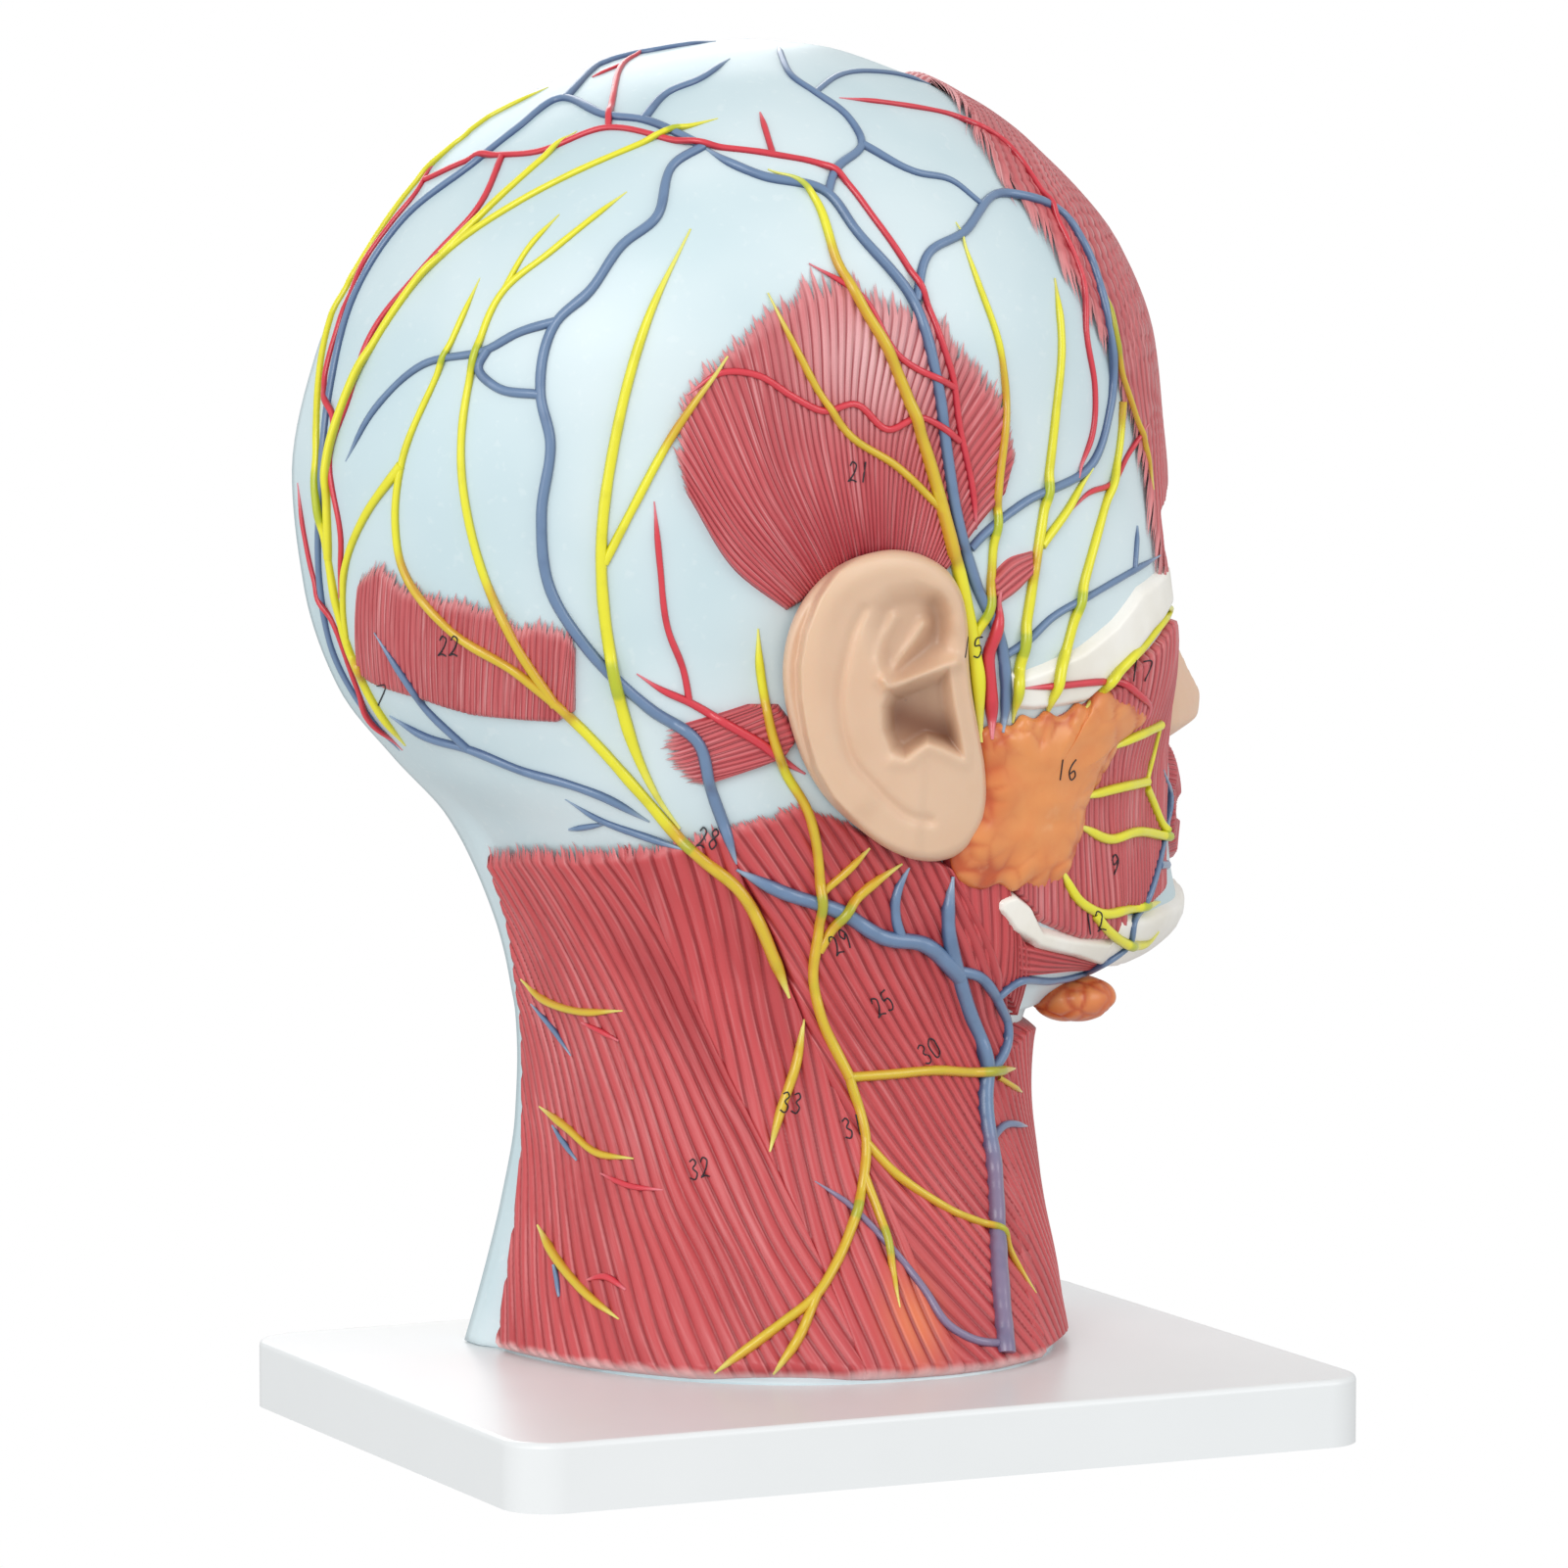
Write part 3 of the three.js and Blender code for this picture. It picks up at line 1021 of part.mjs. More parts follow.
// Outer side

const muscleLow = 2 * fit;
const raised = { low: muscleLow, high: muscleProud };
const neckLayer = { low: 3 * fit, high: neckMuscleProud };

function polar(middle, halfWidth, halfHeight, startAngle, endAngle, count) {
  return Array.from({ length: count }, (_, i) => {
    const angle = (startAngle + (endAngle - startAngle) * i / (count - 1)) * degrees;
    return facing(
      middle.acrossShare + halfWidth * Math.cos(angle) / headHalfWidth,
      middle.upShare + halfHeight * Math.sin(angle) / headHeight,
    );
  });
}

// The eye's ring muscle, in shares of the eyeball's radius, and the lips, in shares of the head's half width
// and height: the opening and the outer edge of each
const eyeRing = { openWidthShare: 0.875, openHeightShare: 0.5, outerWidthShare: 1.167, outerHeightShare: 1.042 };
const lips = { openWidthShare: 0.32, openHeightShare: 0.0128, outerWidthShare: 0.36, outerHeightShare: 0.0547 };
const mouthSpot = { acrossShare: 0.005, upShare: 0.395 };

const sheets = {
  temporalis: muscleSheet([pixels.temporalisCrown, pixels.temporalisRoot], { columns: 16, between: 4, ...raised }),
  occipitalis: muscleSheet([pixels.occipitalisTop, pixels.occipitalisFoot], { columns: 8, between: 3, ...raised }),
  auricularis_posterior: muscleSheet([pixels.auricularBack, pixels.auricularFront],
    { columns: 5, between: 3, ...raised }),
  auricularis_anterior: muscleSheet([pixels.auricularAnteriorTip, pixels.auricularAnteriorRoot],
    { columns: 3, between: 2, ...raised }),
};

function frontalisRows() {
  const edge = spaced(pixels.frontalisEdge.map(surfacePoint), 9);
  return edge.map((p) => {
    const z = p.z;
    const end = headPoint(levelOf(z), 3 * degrees);
    const row = [p];
    for (let i = 1; i <= 4; i++) row.push(pulledToSurface(p.clone().lerp(end, i / 4).setZ(z)));
    return row;
  });
}
sheets.frontalis = muscleSheet(frontalisRows(), { columns: 9, between: 1, low: 3 * fit, high: muscleProud });

sheets.orbicularis_oculi = muscleSheet([
  polar(eyeSpot, eyeRadius * eyeRing.openWidthShare, eyeRadius * eyeRing.openHeightShare, 24, 336, 19),
  polar(eyeSpot, eyeRadius * eyeRing.outerWidthShare, eyeRadius * eyeRing.outerHeightShare, 24, 336, 19),
], { columns: 19, between: 2, ...raised }).subtract(headWithFit);
sheets.zygomatic_bone = muscleSheet([pixels.zygomaTop, pixels.zygomaFoot],
  { columns: 8, between: 1, low: 3 * fit, high: boneProud });
sheets.orbicularis_oculi = clearOf(sheets.orbicularis_oculi, sheets.zygomatic_bone);
sheets.masseter = muscleSheet([pixels.masseterTop, pixels.masseterFoot], { columns: 6, between: 6, ...raised });
sheets.mandible = muscleSheet([
  [...pixels.mandible, facing(0.45, 0.303), facing(0.25, 0.318), facing(0.02, 0.33)],
  [...pixels.mandibleFoot, facing(0.35, 0.285), facing(0.18, 0.285), facing(0.02, 0.286)],
], { columns: 16, between: 3, low: muscleLow, high: boneProud }).subtract(headWithFit);
sheets.cheek_muscles = muscleSheet([
  [...pixels.cheekTop, facing(0.33, 0.512)],
  [pixels.cheekFoot, facing(0.5, 0.325), facing(0.42, 0.335)],
], { columns: 7, between: 6, ...raised });
sheets.lip_muscle = muscleSheet([
  polar(mouthSpot, headHalfWidth * lips.openWidthShare, headHeight * lips.openHeightShare, 88, -88, 13),
  polar(mouthSpot, headHalfWidth * lips.outerWidthShare, headHeight * lips.outerHeightShare, 88, -88, 13),
], { columns: 13, between: 2, ...raised });

sheets.trapezius = muscleSheet([
  pixels.trapeziusTop, pixels.trapeziusMiddle, pixels.trapeziusLow, pixels.trapeziusFoot,
], { columns: 8, between: 4, ...neckLayer });
sheets.levator_scapulae = muscleSheet([
  pixels.levatorTop, pixels.levatorMiddle, pixels.levatorLow, pixels.levatorFoot,
], { columns: 4, between: 4, ...neckLayer });
sheets.sternocleidomastoid = muscleSheet([
  pixels.mastoidTop, pixels.mastoidMiddle, pixels.mastoidLow, pixels.mastoidLower, pixels.mastoidFoot,
], { columns: 6, between: 3, ...neckLayer });
sheets.strap_muscles = muscleSheet([
  [pixels.strapTop, turned(40, 0.24), turned(20, 0.235), turned(2, 0.232)],
  [pixels.strapMiddle, turned(40, 0.12), turned(20, 0.12), turned(2, 0.12)],
  [pixels.strapFoot, turned(40, 0.004), turned(20, 0.004), turned(2, 0.004)],
], { columns: 8, between: 4, ...neckLayer });
sheets.digastric = muscleSheet([pixels.digastricTop, pixels.digastricFoot],
  { columns: 4, between: 2, ...neckLayer });

// Ear: a moulded flap, low in front and standing off the head behind, with a hollow concha.
function earBody() {
  const towardsEye = (pixel, rise) => seen(pixel).addScaledVector(sightLine(pixel).normalize(), -rise);
  const rim = pixels.ear;
  const middle = pixels.earMiddle;
  const left = Math.min(...rim.map(([x]) => x));
  const right = Math.max(...rim.map(([x]) => x));
  const rings = [
    { outShare: 0.3, heightShare: 0.3 },
    { outShare: 0.5, heightShare: 0.42 },
    { outShare: 0.62, heightShare: 0.95 },
    { outShare: 0.78, heightShare: 0.72 },
    { outShare: 0.9, heightShare: 1 },
    { outShare: 1, heightShare: 0.88 },
  ];
  const riseAt = (x) => earFrontRise + (earRise - earFrontRise) * (right - x) / (right - left);
  const ringOf = (share, height) => rim.map(([x, y]) => {
    const pixel = [middle[0] + (x - middle[0]) * share, middle[1] + (y - middle[1]) * share];
    return towardsEye(pixel, height(riseAt(pixel[0])));
  });
  const upper = rings.map((ring) => ringOf(ring.outShare, (rise) => rise * ring.heightShare + fit));
  const lower = rings.map((ring) => {
    const openShare = THREE.MathUtils.smoothstep(ring.outShare, 0.6, 1);
    return ringOf(ring.outShare, (rise) => (
      fit * 3 + Math.max(rise * ring.heightShare - earThickness, 0) * openShare
    ));
  });
  const centre = towardsEye(middle, fit + earFrontRise / 4 + fit);
  return solid(disc(upper, lower, centre, towardsEye(middle, fit * 3)));
}

function glandBody(rim, low, high) {
  const places = rim.map(seen);
  const middle = places.reduce((sum, p) => sum.add(p), new THREE.Vector3()).divideScalar(places.length);
  const outShares = [0.35, 0.7, 0.92, 1];
  const heightShares = [1, 0.92, 0.7, 0.35];
  const ringOf = (share) => places.map((p) => pulledToSurface(middle.clone().lerp(p, share)));
  const grids = outShares.map(ringOf);
  grids.forEach((ring) => ring.forEach((p) => remember(p, high, headHeight / 60)));
  const upper = grids.map((ring, k) => ring.map((p) => lifted(p, low + (high - low) * heightShares[k])));
  const lower = grids.map((ring) => ring.map((p) => lifted(p, low)));
  const centre = pulledToSurface(middle);
  return solid(disc(upper, lower, lifted(centre, high), lifted(centre, low)));
}

// The facial nerve spreads under the parotid gland, so it is laid first and the gland over it
const facialNerve = tree([
  'facialNerveTrunk', 'facialNerveUp', 'facialNerveUpFront', 'cheekNerve', 'mouthNerve', 'mouthNerveMiddle',
  'mouthNerveLow', 'jawNerve',
].map((name) => ({ route: pixels[name], from: twigRadius })));

const parotidLow = muscleProud + twigRadius + 5 * fit;
const parotidBody = glandBody(pixels.parotid, parotidLow, glandProud);
const glandLine = sightLine(pixels.gland);
const glandDepth = -headHalfWidth * 0.42;
const glandMiddle = eyePoint.clone().addScaledVector(glandLine, (glandDepth - eyePoint.y) / glandLine.y);
const submandibularBall = ball(submandibularRadius, glandMiddle, 1.2, 1, 0.66)
  .subtract(headWithFit).subtract(sheets.mandible);

function noseBody() {
  const rows = [
    { upShare: 0.6, reachShare: 0.17, halfShare: 0.35 },
    { upShare: 0.57, reachShare: 0.4, halfShare: 0.53 },
    { upShare: 0.53, reachShare: 0.62, halfShare: 0.71 },
    { upShare: 0.5, reachShare: 0.85, halfShare: 0.82 },
    { upShare: 0.478, reachShare: 1, halfShare: 1 },
    { upShare: 0.458, reachShare: 0.88, halfShare: 1 },
    { upShare: 0.446, reachShare: 0.4, halfShare: 0.7 },
  ];
  const profileShares = [0, 0.12, 0.3, 0.55, 0.8, 1];
  const rings = rows.map(({ upShare, reachShare, halfShare }) => {
    const across = profileShares.map((share) => share * halfShare * noseHalfWidth / headHalfWidth);
    const back = across.map((share) => lifted(facing(share, upShare), muscleProud + fit));
    const front = back.map((p, i) => p.clone().add(
      new THREE.Vector3(noseReach * reachShare * (1 - profileShares[i]) ** 0.75 + fit, 0, 0),
    ));
    [back, front].forEach((line) => line.forEach((p) => { p.z = upShare * headHeight; }));
    return [...front, ...back.reverse()];
  });
  const centre = (ring) => ring.reduce((sum, p) => sum.add(p), new THREE.Vector3()).divideScalar(ring.length);
  return solid(loft(rings, centre(rings[0]), centre(rings[rings.length - 1])));
}

const eyeBody = ball(eyeRadius, eyeMiddle);

// Vessels and nerves: veins first, then arteries, then nerves, each riding over what it crosses
const strandTrees = {
  superficial_temporal_vein: [
    { route: pixels.temporalVein, from: veinRadius, to: veinRadius * 1.4 },
    { route: pixels.temporalVeinUp, from: veinRadius, to: twigRadius },
    { route: pixels.temporalVeinFront, from: veinRadius, to: twigRadius },
    { route: pixels.temporalVeinTop, from: twigRadius },
    { route: pixels.frontalVein, from: veinRadius },
    { route: pixels.orbitalVein, from: twigRadius, to: veinRadius },
  ],
  posterior_auricular_vein: [
    { route: pixels.parietalVein, from: veinRadius, to: veinRadius * 1.3 },
    { route: pixels.occipitalVeinLoop, from: veinRadius, to: twigRadius },
    { route: pixels.occipitalVeinBend, from: veinRadius },
    { route: pixels.crownVein, from: veinRadius },
    { route: pixels.crownVeinTwig, from: veinRadius, to: twigRadius },
    { route: pixels.crownVeinLink, from: veinRadius, to: twigRadius },
  ],
  external_jugular_vein: [
    { route: pixels.jugular, from: jugularRadius * 0.7, to: jugularRadius },
    { route: pixels.jugularRoot, from: veinRadius * 1.4, to: jugularRadius * 0.9 },
    { route: pixels.jugularTwig, from: veinRadius },
    { route: pixels.jugularLoop, from: veinRadius * 1.2 },
    { route: pixels.jugularFront, from: veinRadius, to: twigRadius },
    { route: pixels.jugularLow, from: twigRadius, to: veinRadius },
    { route: pixels.facialVein, from: veinRadius, to: twigRadius },
  ],
  occipital_vein: [
    { route: pixels.nuchalVein, from: veinRadius },
    { route: pixels.nuchalVeinUp, from: twigRadius, to: veinRadius },
    { route: pixels.nuchalVeinLow, from: veinRadius, to: twigRadius },
  ],
  superficial_temporal_artery: [
    { route: pixels.crownArtery, from: arteryRadius },
    { route: pixels.crownArteryTwig, from: arteryRadius, to: twigRadius },
    { route: pixels.crownArteryUp, from: arteryRadius, to: twigRadius },
    { route: pixels.templeArteryBack, from: arteryRadius },
    { route: pixels.templeArteryTop, from: twigRadius, to: arteryRadius },
    { route: pixels.occipitalArtery, from: arteryRadius, to: twigRadius },
  ],
  posterior_auricular_artery: [
    { route: pixels.auricularArteryLow, from: arteryRadius, to: arteryRadius * 1.4 },
    { route: pixels.auricularArtery, from: twigRadius, to: arteryRadius },
  ],
  frontal_artery: [{ route: pixels.frontalArtery, from: twigRadius, to: arteryRadius }],
  greater_occipital_nerve: [
    { route: pixels.greaterNerveMain, from: twigRadius, to: nerveRadius * 1.3 },
    { route: pixels.greaterNerveBack, from: nerveRadius, to: twigRadius },
    { route: pixels.greaterNerve, from: twigRadius, to: nerveRadius },
    { route: pixels.greaterNerveTop, from: twigRadius },
    { route: pixels.greaterNerveFront, from: twigRadius, to: nerveRadius },
  ],
  lesser_occipital_nerve: [
    { route: pixels.lesserNerve, from: nerveRadius, to: nerveRadius * 1.3 },
    { route: pixels.lesserNerveFront, from: nerveRadius },
  ],
  great_auricular_nerve: [
    { route: pixels.auricularNerve, from: nerveRadius * 0.9, to: nerveRadius * 1.1 },
    { route: pixels.auricularNerveTwig, from: nerveRadius * 0.8 },
    { route: pixels.auricularNerveFront, from: nerveRadius },
    { route: pixels.cervicalNerve, from: nerveRadius },
    { route: pixels.clavicleNerve, from: nerveRadius },
    { route: pixels.clavicleNerveLow, from: nerveRadius },
    { route: pixels.clavicleNerveFront, from: nerveRadius, to: twigRadius },
    { route: pixels.clavicleNerveTwig, from: nerveRadius, to: twigRadius },
  ],
  accessory_nerve: [{ route: pixels.accessoryNerve, from: nerveRadius }],
  auriculotemporal_nerve: [
    { route: pixels.earTempleNerve, from: nerveRadius * 0.8, to: nerveRadius * 1.5 },
    { route: pixels.earTempleNerveBack, from: nerveRadius * 0.8 },
  ],
};

// The assembled model: what belongs to the base, and the head set over it

const palette = {
  base: [0xefefec, 0.25, 0], rubber: [0x2b2b2b, 0.8, 0], steel: [0xb5b5b5, 0.35, 1], plug: [0xd9d2c4, 0.7, 0],
  shell: [0xc9dce2, 0.3, 0], bone: [0xe9e5da, 0.4, 0], muscle: [0xbf5058, 0.45, 0], skin: [0xdeb89a, 0.45, 0],
  gland: [0xdf8d56, 0.5, 0], vein: [0x5a6e93, 0.4, 0], artery: [0xc7283c, 0.4, 0], nerve: [0xdcd62c, 0.4, 0],
  brain: [0xe3b9a8, 0.5, 0], mucosa: [0xd98b86, 0.45, 0], tooth: [0xf4f1e6, 0.3, 0], gristle: [0xcfe0e4, 0.4, 0],
  eye: [0xf6f4ef, 0.15, 0],
};

const materials = Object.fromEntries(Object.entries(palette).map(([name, [color, roughness, metalness]]) => [
  name, new THREE.MeshStandardMaterial({ color, roughness, metalness }),
]));

const model = new THREE.Group();
const head = new THREE.Group();
model.add(head);

function add(parent, name, body, finish) {
  const mesh = new THREE.Mesh(geometryOf(body), materials[finish]);
  mesh.name = name;
  parent.add(mesh);
}

add(model, 'base_tray', baseBody, 'base');
feet.forEach((foot, i) => add(model, `foot_${i + 1}`, foot, 'rubber'));
screwPlaces.forEach((place, i) => add(model, `neck_screw_${i + 1}`, screwBody(place), 'steel'));

add(head, 'neck_plug', plugBody, 'plug');
add(head, 'skull_shell', shellBody, 'shell');
add(head, 'section_plate', plateBody, 'bone');
add(head, 'cerebrum', brainBodies.cerebrum, 'brain');
add(head, 'corpus_callosum', callosumBody, 'bone');
add(head, 'cerebellum', brainBodies.cerebellum, 'brain');
add(head, 'brainstem', brainBodies.brainstem, 'brain');
Object.entries({
  spinal_cord: ['cord', 'nerve'], vertebral_bodies: ['spine', 'bone'], spinous_processes: ['processes', 'bone'],
  middle_concha: ['middleConcha', 'mucosa'],
  lower_concha: ['lowerConcha', 'mucosa'], hard_palate: ['palate', 'bone'], soft_palate: ['softPalate', 'mucosa'],
  tongue: ['tongue', 'muscle'], upper_tooth: ['upperTooth', 'tooth'], lower_tooth: ['lowerTooth', 'tooth'],
  jaw_section: ['jaw', 'bone'], larynx: ['larynx', 'gristle'],
}).forEach(([name, [shape, finish]]) => add(head, name, relief(shape), finish));

const finishOf = { zygomatic_bone: 'bone', mandible: 'bone' };
Object.entries(sheets).forEach(([name, body]) => add(head, name, body, finishOf[name] ?? 'muscle'));
add(head, 'ear', earBody(), 'skin');
add(head, 'nose', noseBody(), 'skin');
add(head, 'eyeball', eyeBody, 'eye');
add(head, 'parotid_gland', parotidBody, 'gland');
add(head, 'facial_nerve', facialNerve, 'nerve');

const strands = Object.fromEntries(Object.entries(strandTrees).map(([name, routes]) => [name, tree(routes)]));
Object.entries(strands).forEach(([name, body]) => {
  add(head, name, body, ['vein', 'artery', 'nerve'].find((kind) => name.includes(kind)));
});

// The facial vein runs over the gland in a notch that is open upwards.
const veinByGland = strands.external_jugular_vein.intersect(ball(2 * submandibularRadius, glandMiddle));
const notchSteps = Math.ceil(2 * submandibularRadius / twigRadius);
const glandNotch = join(Array.from({ length: notchSteps }, (_, i) => (
  veinByGland.translate(0, 0, i * twigRadius / 2)
)));
add(head, 'submandibular_gland', clearOf(submandibularBall, glandNotch), 'gland');

head.position.set(0, medianOffset, headRise);

// The origin lies under the middle of the whole model, on the table.
const whole = new THREE.Box3().setFromObject(model);
model.position.x = -(whole.min.x + whole.max.x) / 2;

export default model;
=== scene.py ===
"""Anatomical teaching model: the right half of a head and neck on its base, seen from the outer side."""

import math

import bpy
import numpy as np
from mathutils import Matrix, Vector, noise
from mathutils.bvhtree import BVHTree
from mathutils.kdtree import KDTree


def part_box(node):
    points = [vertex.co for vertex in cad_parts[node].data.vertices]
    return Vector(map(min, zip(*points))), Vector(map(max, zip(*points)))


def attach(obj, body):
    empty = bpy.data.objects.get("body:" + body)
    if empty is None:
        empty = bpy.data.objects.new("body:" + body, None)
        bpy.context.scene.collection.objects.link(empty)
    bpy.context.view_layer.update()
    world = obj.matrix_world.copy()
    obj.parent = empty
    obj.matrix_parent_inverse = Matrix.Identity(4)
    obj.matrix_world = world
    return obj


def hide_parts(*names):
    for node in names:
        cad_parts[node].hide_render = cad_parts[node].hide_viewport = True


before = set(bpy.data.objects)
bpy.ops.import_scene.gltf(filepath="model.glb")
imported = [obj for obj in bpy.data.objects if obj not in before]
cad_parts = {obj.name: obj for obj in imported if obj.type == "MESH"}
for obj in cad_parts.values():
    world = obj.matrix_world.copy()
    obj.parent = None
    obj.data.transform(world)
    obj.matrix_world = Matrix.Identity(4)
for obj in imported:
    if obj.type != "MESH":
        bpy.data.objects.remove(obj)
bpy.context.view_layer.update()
mm = 0.001

# Camera: where the photograph was taken from, a little behind the model and a little above it. Its place
# and lens were worked out from the corners of the display base, whose size is known.
sight = Vector((0.42197, 0.90081, -0.10227)).normalized()
camera_place = Vector((-0.7812, -1.6379, 0.3217))
camera_lens = 200.45
camera_sensor = 36
picture_size = 1601
picture_middle = picture_size / 2
picture_focal = camera_lens / camera_sensor * picture_size
picture_right = sight.cross(Vector((0, 0, 1))).normalized()
picture_up = picture_right.cross(sight)

bpy.ops.object.camera_add(location=camera_place, rotation=sight.to_track_quat("-Z", "Y").to_euler())
camera = bpy.context.object
camera.data.lens = camera_lens
camera.data.sensor_width = camera_sensor
bpy.context.scene.camera = camera
bpy.context.scene.view_settings.view_transform = "Standard"


# Display base: a white gloss plastic tray, hollow below, with soft upper edges and rounded corners. Posts
# for the feet and bosses for the neck screws are moulded on underneath.
class Wire:
    """An output of a material's node; sums on it add the maths nodes that they need."""

    def __init__(self, paint, socket):
        self.paint = paint
        self.socket = socket

    def maths(self, operation, first, second):
        return self.paint.node("ShaderNodeMath", {"operation": operation}, {0: first, 1: second})

    def __add__(self, other):
        return self.maths("ADD", self, other)

    def __radd__(self, other):
        return self.maths("ADD", other, self)

    def __sub__(self, other):
        return self.maths("SUBTRACT", self, other)

    def __rsub__(self, other):
        return self.maths("SUBTRACT", other, self)

    def __mul__(self, other):
        return self.maths("MULTIPLY", self, other)

    def __rmul__(self, other):
        return self.maths("MULTIPLY", other, self)

    def between(self, low, high):
        """0 below the low value, 1 above the high one, and a soft rise between them."""
        return self.paint.node(
            "ShaderNodeMapRange",
            {"interpolation_type": "SMOOTHSTEP"},
            {"Value": self, "From Min": low, "From Max": high},
        )


class Paint:
    """A material. Each value that it is given is a number, a colour or a Wire."""

    def __init__(self, name):
        self.material = bpy.data.materials.new(name)
        self.material.use_nodes = True
        self.tree = self.material.node_tree
        self.shader = self.tree.nodes["Principled BSDF"]

    def feed(self, socket, value):
        if isinstance(value, Wire):
            self.tree.links.new(value.socket, socket)
        else:
            socket.default_value = value

    def node(self, kind, settings, sockets, output=0):
        added = self.tree.nodes.new(kind)
        for setting, value in settings.items():
            setattr(added, setting, value)
        for socket, value in sockets.items():
            self.feed(added.inputs[socket], value)
        return Wire(self, added.outputs[output])

    def mixed(self, share, first, second):
        return self.node("ShaderNodeMix", {"data_type": "RGBA"}, {0: share, 6: first, 7: second}, 2)

    def attribute(self, name):
        return self.node("ShaderNodeAttribute", {"attribute_name": name}, {}, 2)

    def grain(self, across, along, detail=3, on_strip=True):
        """Noise, so many times a metre, on a strip's length and width or on the object's coordinates."""
        place = self.node("ShaderNodeTexCoord", {}, {}, "UV" if on_strip else "Object")
        stretch = (across, along, across)
        place = self.node("ShaderNodeVectorMath", {"operation": "MULTIPLY"}, {0: place, 1: stretch})
        return self.node("ShaderNodeTexNoise", {}, {"Vector": place, "Scale": 1, "Detail": detail})

    def bumped(self, height, distance, strength=1):
        self.feed(
            self.shader.inputs["Normal"],
            self.node("ShaderNodeBump", {}, {"Height": height, "Distance": distance, "Strength": strength}),
        )

    def finished(self, **values):
        for name, value in values.items():
            self.feed(self.shader.inputs[name.replace("_", " ")], value)
        return self.material


def rgb(red, green, blue):
    """A screen colour, 0 to 255, as the linear colour that a shader takes."""
    shares = [level / 255 for level in (red, green, blue)]
    linear = [s / 12.92 if s <= 0.04045 else ((s + 0.055) / 1.055) ** 2.4 for s in shares]
    return (*linear, 1)


def only(obj):
    """Makes one object the only selected and the active one."""
    bpy.ops.object.select_all(action="DESELECT")
    obj.select_set(True)
    bpy.context.view_layer.objects.active = obj


def settled(obj):
    """Puts an object's place, turn, scale and modifiers into its mesh."""
    only(obj)
    bpy.ops.object.convert(target="MESH")
    bpy.ops.object.transform_apply(location=True, rotation=True, scale=True)
    return obj


def placed(name, data):
    """A new object in the scene for a mesh or a curve."""
    made = bpy.data.objects.new(name, data)
    bpy.context.scene.collection.objects.link(made)
    return made


def points_of(obj):
    return np.array([v.co[:] for v in obj.data.vertices])


def piece(obj, name, material, slot, *nodes, body="head"):
    """A finished piece: smooth, painted, riding on its body and standing for its CAD nodes."""
    obj.name = name
    obj.data.name = name
    obj.data.materials.clear()
    obj.data.materials.append(material)
    obj.data.polygons.foreach_set("use_smooth", [True] * len(obj.data.polygons))
    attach(obj, body)
    if nodes:
        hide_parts(*nodes)
    return obj


def block(low, high, corner, corner_steps, edge, edge_steps):
    """A box between two corners, with rounded upright edges and a soft top edge."""
    low, high = Vector(low), Vector(high)
    bpy.ops.mesh.primitive_cube_add(size=1, location=(low + high) / 2, scale=high - low)
    box = settled(bpy.context.object)
    only(box)
    for upright, width, steps in ((True, corner, corner_steps), (False, edge, edge_steps)):
        if width == 0:
            continue
        bpy.ops.object.mode_set(mode="EDIT")
        bpy.ops.mesh.select_mode(type="EDGE")
        bpy.ops.mesh.select_all(action="DESELECT")
        bpy.ops.object.mode_set(mode="OBJECT")
        for line in box.data.edges:
            first, second = (box.data.vertices[i].co for i in line.vertices)
            if upright:
                line.select = abs(first.z - second.z) > (high.z - low.z) / 2
            else:
                line.select = min(first.z, second.z) > high.z - mm / 100
        bpy.ops.object.mode_set(mode="EDIT")
        bpy.ops.mesh.bevel(offset=width, segments=steps, affect="EDGES")
        bpy.ops.object.mode_set(mode="OBJECT")
    return box


def cut(obj, cutter, operation="DIFFERENCE"):
    """Cuts one body out of another, or joins it on, and removes the second one."""
    knife = obj.modifiers.new("cut", "BOOLEAN")
    knife.operation = operation
    knife.object = cutter
    knife.solver = "EXACT"
    only(obj)
    bpy.ops.object.modifier_apply(modifier="cut")
    bpy.data.objects.remove(cutter)


def creased(obj, angle=35):
    """Marks the edges that turn by more than an angle in degrees as sharp."""
    only(obj)
    bpy.ops.object.mode_set(mode="EDIT")
    bpy.ops.mesh.select_mode(type="EDGE")
    bpy.ops.mesh.select_all(action="DESELECT")
    bpy.ops.mesh.edges_select_sharp(sharpness=math.radians(angle))
    bpy.ops.mesh.mark_sharp()
    bpy.ops.object.mode_set(mode="OBJECT")


def upright_cylinder(radius, x, y, low, high, sides=48):
    bpy.ops.mesh.primitive_cylinder_add(
        radius=radius, depth=high - low, location=(x, y, (low + high) / 2), vertices=sides
    )
    return settled(bpy.context.object)


base_low, base_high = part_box("base_tray")
base_corner = 10 * mm
base_edge = 1.3 * mm
base_wall = 3 * mm
base_rim = 4 * mm
foot_post = 9 * mm
foot_gap = 0.3 * mm
boss = 7 * mm
screw_head = 2.9 * mm
screw_bore = 2.3 * mm


def middle_of(low, high):
    return (low.x + high.x) / 2, (low.y + high.y) / 2



